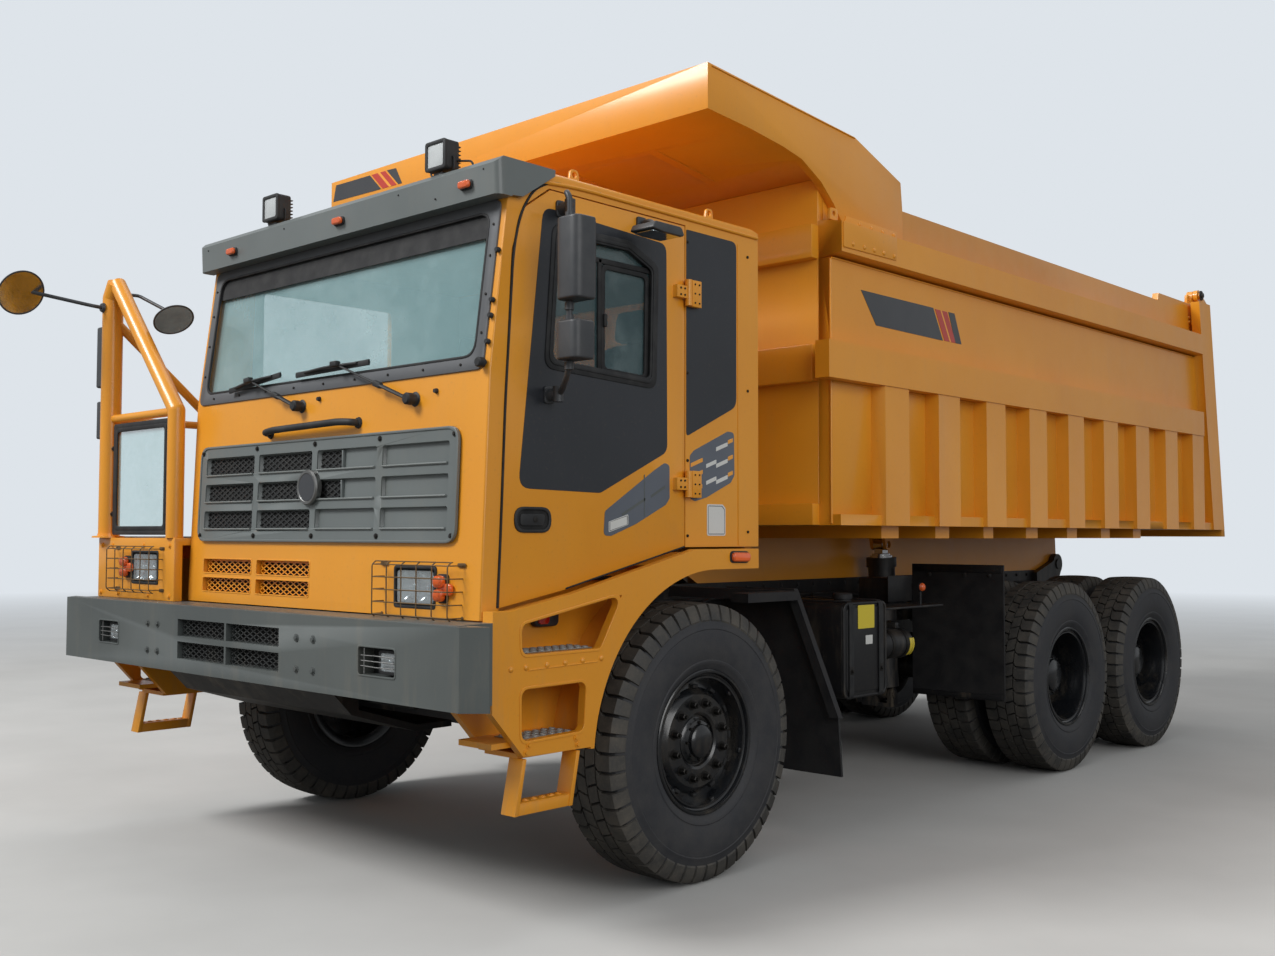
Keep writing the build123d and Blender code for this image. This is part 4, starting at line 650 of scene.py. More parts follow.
def softened(node, look="paint", width=5.0, segments=2, big=None, body="chassis"):
    """Stands for a CAD node as the same panel with its sharp edges rounded.

    big(edge) gives a larger radius for an edge, or 0 for the usual one.
    """
    bm = bmesh.new()
    bm.from_mesh(frame["nodes"][node].data)
    bmesh.ops.scale(bm, vec=(1 / MM,) * 3, verts=bm.verts)
    bmesh.ops.translate(bm, vec=(0, -AXLE_Y / MM, 0), verts=bm.verts)
    bmesh.ops.remove_doubles(bm, verts=bm.verts, dist=0.02)
    bmesh.ops.dissolve_limit(bm, angle_limit=radians(0.8), verts=bm.verts, edges=bm.edges)
    groups = {}
    for edge in bm.edges if big else ():
        if len(edge.link_faces) == 2 and edge.calc_face_angle(0.0) > radians(20) and big(edge):
            groups.setdefault(big(edge), []).append(edge)
    for radius, edges in sorted(groups.items(), reverse=True):
        bmesh.ops.bevel(bm, geom=[e for e in edges if e.is_valid], offset=radius, segments=6, profile=0.5,
                        affect="EDGES", clamp_overlap=True)
    edges = [e for e in bm.edges if len(e.link_faces) == 2 and e.calc_face_angle(0.0) > radians(35)]
    edges = [e for e in edges if e.calc_length() > width * 1.5]
    if width:
        bmesh.ops.bevel(bm, geom=edges, offset=width,
                        segments=segments, profile=0.5, affect="EDGES", clamp_overlap=True)
    return put(node + "_skin", bm, look, 40.0, (node,), body=body)


# ================================================================ wheels
LUGS = 48                                           # blocks round a tyre
LUG_DEPTH = 24.0
CROWN_DROP = 7.0                                    # fall of the radius from the middle to the shoulder
SHOULDER_DROP = 96.0                                # and from there to the end of the blocks


def tyre_surface(s, lift=0.0):
    """A point of the tread's outer surface: s runs from the middle (0) to the shoulder (1) and down
    the sidewall (2). Gives the distance from the middle plane and the radius."""
    half = TYRE_WIDTH / 2
    crown = half - 34.0
    if s <= 1.0:
        x = crown * s
        r = TYRE_RADIUS - CROWN_DROP * s * s
    else:
        t = s - 1.0
        x = crown + (half - 6.0 - crown) * sin(t * pi / 2) ** 0.8
        r = TYRE_RADIUS - CROWN_DROP - SHOULDER_DROP * t
    return x, r - lift


def lug(start, end, s_values, centre_angle, side, zigzag):
    """One block of the tread between two edges that step sideways; angles are in lugs."""
    bm = bmesh.new()
    pitch = 2 * pi / LUGS
    top, low = [], []
    for s in s_values:
        x, r = tyre_surface(s)
        inner_x, inner_r = tyre_surface(s, LUG_DEPTH)
        if s > 1.0:
            inner_x, inner_r = x - 13.0 * (2.0 - s) - 1.0, r - 8.0
        shift = zigzag(s)
        row_top, row_low = [], []
        for edge, inset in ((start, 0.018), ((start + end) / 2, 0.0), (end, -0.018)):
            a = (centre_angle + edge + shift) * pitch
            row_top.append(bm.verts.new((side * x, r * cos(a), r * sin(a))))
            a -= inset * pitch * 1.6
            row_low.append(bm.verts.new((side * inner_x, inner_r * cos(a), inner_r * sin(a))))
        top.append(row_top)
        low.append(row_low)
    for (a, b), (c, d) in zip(zip(top, low), zip(top[1:], low[1:])):
        for k in range(2):
            bm.faces.new((a[k], a[k + 1], c[k + 1], c[k]))
        bm.faces.new((a[0], c[0], d[0], b[0]))
        bm.faces.new((a[2], c[2], d[2], b[2]))
    for row_top, row_low in ((top[0], low[0]), (top[-1], low[-1])):
        for k in range(2):
            bm.faces.new((row_top[k], row_top[k + 1], row_low[k + 1], row_low[k]))
    return bm


def step_shift(s):
    """Sideways step of the cross grooves."""
    return 0.30 * min(max((s - 0.42) / 0.14, 0.0), 1.0)


def tread(side_x):
    """All the blocks of one tyre about the wheel's middle: shoulder lugs and two centre rows."""
    shoulder_s = (0.46, 0.56, 0.70, 0.86, 1.0, 1.12, 1.28, 1.50, 1.80)
    centre_s = (0.03, 0.14, 0.26, 0.40)
    master = []
    for side in (-1, 1):
        offset = 0.0 if side > 0 else 0.5
        master.append(lug(-0.40, 0.40, shoulder_s, offset, side, step_shift))
        master.append(lug(-0.43, 0.43, centre_s, offset + 0.18, side, lambda s: -0.55 * s))
    pattern = joined(master)
    around = [copied(pattern, turn=Matrix.Rotation(a, 3, "X")) for a in angles(LUGS)]
    pattern.free()
    return moved(joined(around), (side_x, 0, 0))


def carcass(x):
    """The tyre under its blocks: groove floor, sidewalls with a rim guard, beads."""
    half = TYRE_WIDTH / 2
    floor = TYRE_RADIUS - LUG_DEPTH
    side = [(0.0, floor), (half - 60, floor - 6), (half - 30, floor - 20), (half - 15, floor - 50),
            (half - 8.5, floor - 78), (half - 4, floor - 96), (half - 1.2, 560), (half - 1.0, 556),
            (half - 3.4, 552), (half - 2.0, 546), (half, 500), (half, 470), (half - 3, 440), (half - 9, 415),
            (half - 12, 404), (half - 9, 399), (half - 10, 390), (half - 16, 380), (half - 24, 368),
            (half - 30, 358), (half - 42, 345), (half - 44, 333)]
    profile = side + [(-a, r) for a, r in reversed(side[1:])]
    return turned(profile, (x, 0, 0), "X", 120)


def tyres(name, y, places, body, node):
    """Rubber of one node: its carcasses and their tread."""
    shift = (0, y, AXLE_Z)
    bodies = [moved(carcass(x), shift) for x in places]
    blocks = [moved(tread(x), shift) for x in places]
    put(name + "_carcass", joined(bodies), "sidewall", 30.0, (node,), body=body)
    put(name + "_tread", joined(blocks), "tread", 24.0, body=body)


RIM_FACE = 165.0                                    # outer edge of a rim from its wheel's middle
# profile of the rims: inwards over the lock ring, and from the inner edge back under the tyre
LOCK_RING = [(RIM_FACE - inward, r) for inward, r in ((4, 356), (0, 350), (0, 340), (8, 336), (22, 334),
                                                      (26, 326), (18, 320), (18, 312), (36, 306))]
RIM_EDGE = [(-RIM_FACE, 352), (4 - RIM_FACE, 357), (14 - RIM_FACE, 357), (16 - RIM_FACE, 331)]
RIM_SEAT = RIM_EDGE + [(RIM_FACE - 40, 331), (RIM_FACE - 16, 335), (RIM_FACE - 12, 357)]


def put_wheel(prefix, side, body, parts):
    """Puts a left wheel's meshes, or their mirror images on the right; the first stands for the CAD rim."""
    for name, bm, look, nodes in parts:
        put(f"{prefix}_{side}_{name}", bm if side == "left" else mirrored(bm), look, 32.0, nodes, body=body)


def front_wheel(side):
    """Front rim: lock ring, stepped barrel, dished disc with hand holes, nuts and the hub cap."""
    x = FRONT_WHEEL_X
    middle_place = (x, 0, AXLE_Z)
    barrel = LOCK_RING + [(RIM_FACE - 70, 300), (RIM_FACE - 110, 292), (20 - RIM_FACE, 292),
                          (-RIM_FACE, 340)] + RIM_SEAT
    disc = [(74, 296), (78, 262), (104, 238), (112, 228), (112, 140), (104, 128), (88, 124), (86, 100),
            (60, 100), (60, 222), (64, 246), (58, 296)]
    hub = [(60, 118), (96, 116), (100, 108), (112, 100),
           (118, 84), (136, 80), (142, 74), (149, 58), (150, 0), (60, 0)]
    wheel = [turned(barrel, middle_place, "X", 120), turned(disc, middle_place, "X", 96),
             spun(hub, middle_place, "X", 64)]
    detail = []
    for place in circle(12, 186, (x + 112, 0, AXLE_Z), 0.5):
        detail.append(bolt(place, LEFT, 34, 34))
        detail.append(moved(spun([(0, 0), (0, 9), (10, 8), (10, 0)], place, "X", 12), (34, 0, 0)))
    detail += [bolt(place, LEFT, 16, 10, washer=False) for place in circle(8, 92, (x + 116, 0, AXLE_Z))]

    def around(count, phase, make):
        return [moved(moved(make(), turn=Matrix.Rotation(a, 3, "X")), middle_place)
                for a in angles(count, phase)]

    holes = around(12, 0.0, lambda: moved(block((70, 96), (-19, 19), (-9, 9), 5), (0, 0, 268)))
    lugs = around(6, 0.25, lambda: block((122, 139), (-13, 13), (296, 322), 4))
    put_wheel("front", side, f"front_wheel_{side}",
              (("rim", joined(wheel + lugs), "rim", (f"front_rim_{side}",)),
               ("nuts", joined(detail), "dark_steel", ()), ("hand_holes", joined(holes), "seal", ())))


def twin_wheel(axle, y, side):
    """Rims of one twin pair: the outer one deeply dished round the planetary hub."""
    out = (OUTER_TWIN_X, y, AXLE_Z)
    inside = (INNER_TWIN_X, y, AXLE_Z)
    barrel = LOCK_RING + [(-90, 296), (-94, 160), (-118, 160), (-122, 296), (-RIM_FACE, 300)] + RIM_SEAT
    hub = [(-94, 172), (-60, 170), (-52, 160), (-10, 156), (22, 150), (30, 140), (34, 118), (52, 112),
           (60, 98), (60, 0), (-94, 0)]
    inner = [(-RIM_FACE, 300)] + RIM_EDGE + [(RIM_FACE - 16, 331), (RIM_FACE - 14, 357), (RIM_FACE - 4, 357),
                                             (RIM_FACE, 350),
                                             (RIM_FACE, 322), (350, 322), (350, 180), (330, 180), (330, 300)]
    drum = [(-95, 0), (-95, 255), (95, 255), (95, 165), (335, 165), (335, 0)]
    wheel = joined([turned(barrel, out, "X", 120), spun(hub, out, "X", 64), turned(inner, inside, "X", 96),
                    spun(drum, inside, "X", 64)])
    detail = [bolt(place, LEFT, 34, 34) for place in circle(14, 218, (out[0] - 94, y, AXLE_Z), 0.5)]
    detail += [bolt(place, LEFT, 15, 12, washer=False) for place in circle(12, 128, (out[0] + 32, y, AXLE_Z))]
    put_wheel(axle, side, f"{axle}_wheels_{side}", (("rims", wheel, "rim", (f"{axle}_rims_{side}",)),
                                                    ("nuts", joined(detail), "dark_steel", ())))


def wheel_pieces():
    for side, sign in (("left", 1), ("right", -1)):
        tyres(f"front_{side}", 0.0, [sign * FRONT_WHEEL_X], f"front_wheel_{side}", f"front_tyre_{side}")
        front_wheel(side)
        for axle, y in (("mid", MID_AXLE), ("rear", REAR_AXLE)):
            tyres(f"{axle}_{side}", y, [sign * INNER_TWIN_X, sign * OUTER_TWIN_X],
                  f"{axle}_wheels_{side}", f"{axle}_tyres_{side}")
            twin_wheel(axle, y, side)


# ================================================================ cab
SCREEN_LEAN = atan2(CAB_FRONT[2][0] - CAB_FRONT[1][0], CAB_FRONT[2][1] - CAB_FRONT[1][1])


def on_screen(bm):
    """Moves a mesh made upright at Y 0, Z 0 to the leaning windscreen's lower edge."""
    return moved(bm, (0, CAB_FRONT[1][0], CAB_FRONT[1][1]), Matrix.Rotation(-SCREEN_LEAN, 3, "X"))


def screen_place(x, up, out=0.0):
    """A place on the windscreen's plane: up is the distance from its lower edge."""
    y = CAB_FRONT[1][0] + up * sin(SCREEN_LEAN) - out * cos(SCREEN_LEAN)
    return (x, y, CAB_FRONT[1][1] + up * cos(SCREEN_LEAN) + out * sin(SCREEN_LEAN))


def windscreen():
    left, right = CAB_RIGHT + 34, CAB_LEFT - 34
    outer = oblong(left, right, 0, 752, 46)
    inner = oblong(left + 62, right - 62, 62, 700, 70)
    gasket = on_screen(slab(outer, "Y", -9, 4, 4, [inner]))
    put("windscreen_gasket", gasket, "gasket", 40)
    band = on_screen(slab(oblong(left + 60, right - 60, 590, 705, 20), "Y", 3, 8, 0))
    put("windscreen_shade_band", band, "seal")
    rim = on_screen(slab(oblong(left + 56, right - 56, 56, 706, 74), "Y", -12, -2, 3,
                         [oblong(left + 68, right - 68, 68, 694, 64)]))
    put("windscreen_lip", rim, "seal", 40)
    screws = [screen_place(x, 30, 9) for x in (-640, -380, -120, 140, 400, 660, 920, 1180, 1440)]
    screws += [screen_place(x, up, 9) for x in (left + 30, right - 30) for up in (160, 330, 500, 640)]
    put("windscreen_screws", bolts(screws, (0, -1, 0.13), 12, 6, False), "dark_steel")
    clips = []
    for up in (118, 232, 300, 520):
        place = Vector(screen_place(CAB_LEFT - 18, up, 0))
        clips.append(spun([(-22, 0), (-22, 9), (-16, 12), (-3, 12), (0, 7), (0, 0)], place, "Y", 14))
    place = Vector(screen_place(CAB_LEFT - 30, 28, 0))
    clips.append(spun([(-46, 0), (-46, 16), (-40, 22), (-12, 22), (-8, 12), (4, 12), (4, 0)], place, "Y", 20))
    put("pillar_knobs", joined(clips), "matt")


# pivot and blade ends on the panel and on the glass: x and z of the pivot, x and rise of each end
WIPERS = (
    ("right", (215, 2334), (-440, 52), (40, 100), (-215, 84)),
    ("left", (1125, 2305), (190, 84), (795, 96), (560, 100)),
)


def wipers():
    for name, (px, pz), (ax, au), (bx, bu), (cx, cu) in WIPERS:
        pivot = Vector((px, front_y(pz) - 2, pz))
        centre = Vector(screen_place(cx, cu, 52))
        start, end = Vector(screen_place(ax, au, 34)), Vector(screen_place(bx, bu, 34))
        hub = spun([(-58, 0), (-58, 20), (-50, 27), (-22, 27), (-18, 20), (-4, 24), (0, 34), (0, 0)],
                   pivot, "Y", 24)
        joint = pivot + Vector((0, -44, 0))
        reach = centre - joint
        arm = tube([joint, joint + reach * 0.38], 15, sides=8, flat=0.6)
        rod = tube([joint + reach * 0.34, joint + reach * 0.93, centre], 8, 30, sides=8, flat=0.7)

        def along(bm, place, way):
            return moved(bm, place, Matrix.Rotation(-atan2(way.z, way.x), 3, "Y"))

        cap = along(block((-28, 28), (-14, 10), (-14, 14), 6), joint + reach * 0.40, reach)
        blade = tube([start, end], 7, sides=6, flat=2.2)
        bridge = tube([start.lerp(end, 0.14) + Vector((0, -8, 4)), (start + end) / 2 + Vector((0, -26, 8)),
                       start.lerp(end, 0.86) + Vector((0, -8, 4))], 7, 120, sides=8)
        clip = along(block((-26, 26), (-26, 4), (-10, 16), 5), centre, end - start)
        put(f"wiper_{name}", joined([hub, arm, rod, cap, blade, bridge, clip]), "matt")
        foot = (px + 150, front_y(pz + 26), pz + 26)
        put(f"washer_jet_{name}", spun([(-16, 0), (-16, 9), (-4, 12), (0, 12), (0, 0)], foot, "Y", 14),
            "matt")


def front_badge_and_handle():
    """Grab bar over the grille, and the plain round badge on it."""
    z = 2222
    y = front_y(z)
    bar = tube([(-60, y + 4, z - 10), (-58, y - 40, z - 8), (20, y - 50, z), (600, y - 50, z + 10),
                (694, y - 40, z + 4), (698, y + 4, z + 2)], 17, 40)
    feet = [spun([(-10, 0), (-10, 24), (0, 28), (0, 0)], (x, y, h), "Y", 18)
            for x, h in ((-60, z - 10), (698, z + 2))]
    put("grab_bar", joined([bar] + feet), "matt")
    face = GRILLE_LOW.y + 8
    disc = spun([(-22, 0), (-22, 66), (-26, 70), (-26, 80), (-18, 86), (6, 86), (6, 0)],
                (345, face, 1929), "Y", 72)
    put("round_badge", disc, "steel")
    field = spun([(-24.5, 0), (-24.5, 66), (-22, 67), (-22, 0)], (345, face, 1929), "Y", 72)
    put("round_badge_field", field, "decal_dark")


def expanded_mesh(x0, x1, z0, z1, y_at, pitch=26.0, rise=15.0, strand=3.2):
    """Diamond mesh of thin strands in a leaning rectangle; y_at(z) is its plane."""
    bm = bmesh.new()

    def strand_between(a, b):
        (ax, az), (bx, bz) = a, b
        nx, nz = -(bz - az), bx - ax
        length = hypot(nx, nz)
        nx, nz = nx / length * strand / 2, nz / length * strand / 2
        corners = ((ax + nx, az + nz), (ax - nx, az - nz), (bx - nx, bz - nz), (bx + nx, bz + nz))
        front, back = ([bm.verts.new((x, y_at(z) + depth, z)) for x, z in corners] for depth in (0, 3))
        bm.faces.new(front)
        bm.faces.new(back[::-1])
        for k in range(4):
            n = (k + 1) % 4
            bm.faces.new((front[k], back[k], back[n], front[n]))

    rows, columns = int((z1 - z0) / rise), int((x1 - x0) / pitch)
    step_x, step_z = (x1 - x0) / columns, (z1 - z0) / rows
    for row in range(rows):
        low, high = z0 + row * step_z, z0 + (row + 1) * step_z
        for column in range(columns):
            left, right = x0 + column * step_x, x0 + (column + 1) * step_x
            start, end = (low, high) if (row + column) % 2 else (high, low)
            strand_between((left, start), (right, end))
    return bm


def cab_skin():
    """Rounded stand-ins of the sheet-metal nodes."""
    def front_corner(edge):
        a, b = edge.verts
        side = abs(a.co.x - CAB_LEFT) < 1 and abs(b.co.x - CAB_LEFT) < 1
        side = side or (abs(a.co.x - CAB_RIGHT) < 1 and abs(b.co.x - CAB_RIGHT) < 1)
        face = abs(a.co.y - front_y(a.co.z)) < 4 and abs(b.co.y - front_y(b.co.z)) < 4
        return 44.0 if side and face and edge.calc_length() > 200 else 0.0

    softened("cab_front_panel", big=front_corner)
    for node in ("cab_left_side", "cab_right_side", "cab_back_wall"):
        softened(node, width=4.0)
    softened("cab_door", body="door")

    def roof_edge(edge):
        a, b = edge.verts
        high = min(a.co.z, b.co.z) > node_box("cab_roof")[1].z - 1
        along = abs(a.co.x - b.co.x) < 1
        return 34.0 if high and along and edge.calc_length() > 500 else 0.0

    softened("cab_roof", width=6.0, big=roof_edge)

    def visor_end(edge):
        a, b = edge.verts
        ends = abs(abs(a.co.x - 395) - (VISOR_HIGH.x - 395)) < 1 and abs(a.co.x - b.co.x) < 1
        return 60.0 if ends and max(a.co.y, b.co.y) < VISOR_LOW.y + 12 and edge.calc_length() > 60 else 0.0

    # the visor takes the lighter slate: painted sunlight on its front face
    softened("sun_visor", "slate_sunlit", 8.0, big=visor_end)


def lifting_eye(x, y, z):
    """Welded eye plate on the roof's edge."""
    plate = slab(rounded([(y - 34, z), (y + 34, z), (y + 24, z + 66), (y - 24, z + 66)], (2, 2, 22, 22)),
                 "X", x - 7, x + 7, 2, [round_hole(y, z + 42, 15)])
    foot = block((x - 40, x + 14), (y - 30, y + 30), (z - 2, z + 8), 3)
    return joined([plate, foot])


def marker_lamp(x, y, z, width=74, high=34, out=26):
    """Oval amber lamp on a face that looks forward."""
    outline = oblong(x - width / 2, x + width / 2, z - high / 2, z + high / 2, high * 0.45)
    base = slab(oblong(x - width / 2 - 4, x + width / 2 + 4, z - high / 2 - 4, z + high / 2 + 4, high * 0.5),
                "Y", y - 7, y + 1, 2)
    return slab(outline, "Y", y - out, y - 6, 8, segments=3), base


def roof_pieces():
    z = node_box("cab_roof")[1].z
    eyes = [lifting_eye(1552, -856, z - 4), lifting_eye(1552, 106, z - 4), lifting_eye(-762, -856, z - 4),
            lifting_eye(-762, 106, z - 4)]
    put("lifting_eyes", joined(eyes), "paint")
    lenses, bases = zip(*[marker_lamp(x, VISOR_LOW.y + 1, 3212) for x in (1448, 492, -498)])
    put("visor_markers", joined(list(lenses)), "amber")
    put("visor_marker_bases", joined(list(bases)), "matt")
    screws = [(x, VISOR_LOW.y + 2, z2) for x, z2 in ((1560, 3262),
                                                     (960, 3256), (0, 3256), (-760, 3256), (1230, 3190))]
    put("visor_screws", bolts(screws, FORWARD, 9, 4, False), "dark_steel")
    gutter = tube([(CAB_LEFT + 4, -1180, 3246), (CAB_LEFT + 4, -900, 3268), (CAB_LEFT + 4, 420, 3262)],
                  9, 120, sides=8)
    put("roof_gutter", gutter, "paint")


def work_lamp(x):
    """Square work lamp on its bracket, over the CAD lamp."""
    y0, y1, z0, z1 = -1362, -1278, 3338, 3472
    box = (x - 72, x + 72, z0, z1)
    shell = slab(inset(box, 0, 0, 16), "Y", y0 + 12, y1, 8, segments=3)
    bezel = slab(inset(box, -1, -1, 16), "Y", y0, y0 + 14, 3, [inset(box, 16, 16, 10)])
    fins = [block((x - 60, x + 60), (y1 - 2, y1 + 18), (h, h + 5), 1) for h in range(z0 + 20, z1 - 15, 18)]
    foot = slab(oblong(-1345, -1305, 3311, 3330, 4), "X", x - 30, x + 30, 2)
    arms = [tube([(x + s * 60, -1318, 3400), (x + s * 82, -1318, 3390), (x + s * 82, -1318, 3330),
                  (x + s * 20, -1322, 3318)], 5, 20, 8) for s in (-1, 1)]
    face = slab(inset(box, 15, 15, 10), "Y", y0 + 5, y0 + 9, 1)
    return joined([shell, bezel, foot] + arms + fins), face


def lamp_pieces():
    shells, faces = zip(*[work_lamp(x) for x in (1180.0, -199.0)])
    put("work_lamp_shells", joined(list(shells)), "matt", 35, ("lamps",))
    put("work_lamp_faces", joined(list(faces)), "lens")
    cable = tube([(1250, -1290, 3380), (1330, -1270, 3370), (1345, -1270, 3330), (1338, -1275, 3312)],
                 5, 30, 8)
    put("work_lamp_cable", cable, "seal")


def cushion(centre, size, lean, lying):
    """One padded part of a seat: crowned, with side wings and a seam along each of them."""
    bm = bmesh.new()
    bmesh.ops.create_cube(bm, size=2.0)
    bmesh.ops.subdivide_edges(bm, edges=bm.edges[:], cuts=9, use_grid_fill=True)
    for v in bm.verts:
        a, b, c = v.co
        crown = 1.0 - 0.16 * max(abs(a), abs(b) if lying else abs(c)) ** 4
        wing = 0.16 * max(0.0, abs(a) - 0.62) / 0.38
        seam = 0.05 * max(0.0, 1 - abs(abs(a) - 0.6) / 0.06)
        thick = crown + wing - seam
        if lying:
            v.co = Vector((a * (1 - 0.05 * b * b * abs(c)), b * (1 - 0.05 * a * a), c * thick))
        else:
            v.co = Vector((a * (1 - 0.10 * c * c), b * thick, c * (1 - 0.05 * a * a)))
        length = (abs(v.co.x) ** 8 + abs(v.co.y) ** 8 + abs(v.co.z) ** 8) ** 0.125
        if length > 1:
            v.co = v.co / (1 + (length - 1) * 0.85)
    bmesh.ops.scale(bm, vec=size, verts=bm.verts)
    return moved(bm, centre, Matrix.Rotation(radians(lean), 3, "X"))


# half width, y, z and edge radius of each block under a seat
SEAT_BASE = (
    (185, (-470, -90), (1640, 1700), 8),
    (150, (-430, -120), (1700, 1900), 20),
    (200, (-500, -70), (1900, 1966), 10),
)


def seats():
    """Driver's and mate's seats: padded parts on their pedestals."""
    for name, x in (("driver", 1080.0), ("mate", -250.0)):
        pads = joined([cushion((x, -340, 2035), (250, 272, 66), 4, True),
                       cushion((x, 18, 2400), (232, 60, 318), -12, False),
                       cushion((x, 74, 2812), (128, 40, 82), -9, False)])
        pad = put(f"{name}_seat_pads", pads, "seat", 50, ("cab_seats",))
        base = [block((x - half, x + half), *rest) for half, *rest in SEAT_BASE]
        base += [tube([(x + s * 225, -180, 1960), (x + s * 232, -60, 2000), (x + s * 232, 20, 2060)], 14, 40)
                 for s in (-1, 1)]
        base += [tube([(x + s * 50, 62, 2690), (x + s * 50, 72, 2760)], 7) for s in (-1, 1)]
        put(f"{name}_seat_base", joined(base), "matt")


def dashboard():
    """Instrument binnacle, vents and the steering wheel in front of the driver."""
    centre = Vector((1080, -820, 2380))
    axis = Vector((0, 0.42, 0.9)).normalized()
    side, up = Vector((1, 0, 0)), axis.cross(Vector((1, 0, 0)))
    rim = bmesh.new()
    rings = []
    for a in angles(64):
        out = side * cos(a) + up * sin(a)
        rings.append([rim.verts.new(centre + out * (225 + 16 * cos(b)) + axis * 16 * sin(b))
                      for b in angles(12)])
    skin(rim, rings + rings[:1])
    spokes = []
    for a in (90, 210, 330):
        out = side * cos(radians(a)) + up * sin(radians(a))
        spokes.append(tube([centre - axis * 18 + out * 50, centre - axis * 10 + out * 150,
                            centre + out * 222], 13, 50, 10, 1.5))
    hub = bmesh.new()
    bmesh.ops.create_uvsphere(hub, u_segments=28, v_segments=14, radius=66)
    bmesh.ops.scale(hub, vec=(1, 1, 0.42), verts=hub.verts)
    moved(hub, centre - axis * 12, Vector((0, 0, 1)).rotation_difference(axis).to_matrix())
    put("steering_wheel", joined([rim, hub] + spokes), "matt", 50)
    hood = slab(rounded([(-1240, 2388), (-1060, 2372), (-1040, 2470), (-1110, 2520), (-1235, 2500)], 34),
                "X", 830, 1340, 14, segments=3)
    put("binnacle", hood, "dash", 40)
    vents = [slab(oblong(x - 80, x + 80, 2305, 2345, 14), "Y", -1104, -1090, 3) for x in (60, 380, -420)]
    put("dash_vents", joined(vents), "matt")


def cab_lining():
    """Pale lining on the cab's back wall, right wall and roof, open at the windows."""
    right, left, back, front = CAB_RIGHT + 51, CAB_LEFT - 51, 379, -1180
    wall = slab(rectangle(right, left, 1640, 3240), "Y", back - 7, back, 2,
                [oblong(-392, 1192, 2468, 3012, 30)])
    side = slab([(-1140, 1640), (370, 1640), (370, 3240), (-1090, 3240)], "X", right, right + 7, 2,
                [oblong(-1042, -158, 2448, 3072, 30)])
    roof = slab(rectangle(right, left, front, 370), "Z", 3242, 3249, 2)
    put("cab_lining", joined([wall, side, roof]), "lining")


def cab_pieces():
    cab_lining()
    cab_skin()
    windscreen()
    wipers()
    front_badge_and_handle()
    roof_pieces()
    lamp_pieces()
    seats()
    dashboard()


# ================================================================ bumper, grille and lamps
def ring_of(outline, width):
    """An outline moved inwards by a width, for outlines that are nearly rectangles."""
    xs, zs = [p[0] for p in outline], [p[1] for p in outline]
    cx, cz = (min(xs) + max(xs)) / 2, (min(zs) + max(zs)) / 2
    sx = 1 - 2 * width / (max(xs) - min(xs))
    sz = 1 - 2 * width / (max(zs) - min(zs))
    return [(cx + (x - cx) * sx, cz + (z - cz) * sz) for x, z in outline]


def lip(x0, x1, z0, z1, y_at, width=7.0, stand=4.0, radius=12.0):
    """Raised rim round a rectangular hole in a face that looks forward."""
    outer = oblong(x0 - width, x1 + width, z0 - width, z1 + width, radius + width)
    inner = oblong(x0 + 2, x1 - 2, z0 + 2, z1 - 2, radius)
    return leaning(slab(outer, "Y", 0, stand + 3, 2, [inner]), y_at, -stand)


FOG_X = ((-1360, -1126), (1106, 1367))
FOG_Z = (1108, 1228)
MESH_X = ((-470, -8), (8, 480))
MESH_Z = ((1072, 1158), (1186, 1272))


def wire(points, radius=3.0, bend=14.0):
    return tube(points, radius, bend, 6)


def bumper_pieces():
    softened("front_bumper", "slate", 7.0, 3)
    y = BUMPER_LOW.y
    rims = [lip(*x, *FOG_Z, lambda z: y, 6, 3, 14) for x in FOG_X]
    put("fog_pocket_rims", joined(rims), "slate")
    for side, (x0, x1), inward in zip(("right", "left"), FOG_X, (84, 76)):
        back = slab(rectangle(x0 + 1, x1 - 1, FOG_Z[0] + 1, FOG_Z[1] - 1), "Y", y + 82, y + 88)
        put(f"fog_pocket_back_{side}", back, "matt")
        lamp, z = x1 - inward, 1168
        box = (lamp - 62, lamp + 62, z - 50, z + 50)
        body = slab(inset(box, 0, 0, 20), "Y", y + 30, y + 80, 6)
        bezel = slab(inset(box, -1, -1, 20), "Y", y + 18, y + 32, 3, [inset(box, 12, 12, 14)])
        put(f"fog_lamp_shell_{side}", joined([body, bezel]), "matt")
        put(f"fog_reflector_{side}", reflector(lamp, y + 22, z, 50, 38), "mirror", 60)
        put(f"fog_glass_{side}", slab(inset(box, 11, 11, 14), "Y", y + 20, y + 24, 1), "lens_clear")
        bars = [wire([(x0 + 16, y + 4, z + dz), (lamp - 60, y + 2, z + dz * 1.1), (x1 - 10, y + 2, z + dz)],
                     2.6) for dz in (-22, 0, 22)]
        bars += [wire([(x0 + 40, y + 3, z - 54), (x0 + 40, y + 3, z + 54)], 2.6)]
        put(f"fog_guard_{side}", joined(bars), "steel")
    openings = [(*x, *z) for x in MESH_X for z in MESH_Z]
    meshes = [expanded_mesh(x0 + 2, x1 - 2, z0 + 2, z1 - 2, lambda z: y + 26, 28, 13, 4.5)
              for x0, x1, z0, z1 in openings]
    put("bumper_mesh", joined(meshes), "mesh_grey")
    # painted shade: near-black sheets behind the bumper meshes
    shade_sheets = [slab(rectangle(x0 + 1, x1 - 1, z0 + 1, z1 - 1), "Y", y + 84, y + 88)
             for x0, x1, z0, z1 in openings]
    put("bumper_mesh_shade_sheets", joined(shade_sheets), "painted_shade")
    places = [(x, y, z) for x in (-792, -684, 628, 762) for z in (1096, 1236)]
    put("bumper_bolts", bolts(places, FORWARD, 24, 11), "slate_bolt")
    top = BUMPER_HIGH.z
    seam = slab(rectangle(BUMPER_LOW.x + 110, BUMPER_HIGH.x - 110, top - 5, top + 3), "Y", y + 8, y + 60, 1.5)
    put("bumper_top_strip", seam, "slate")


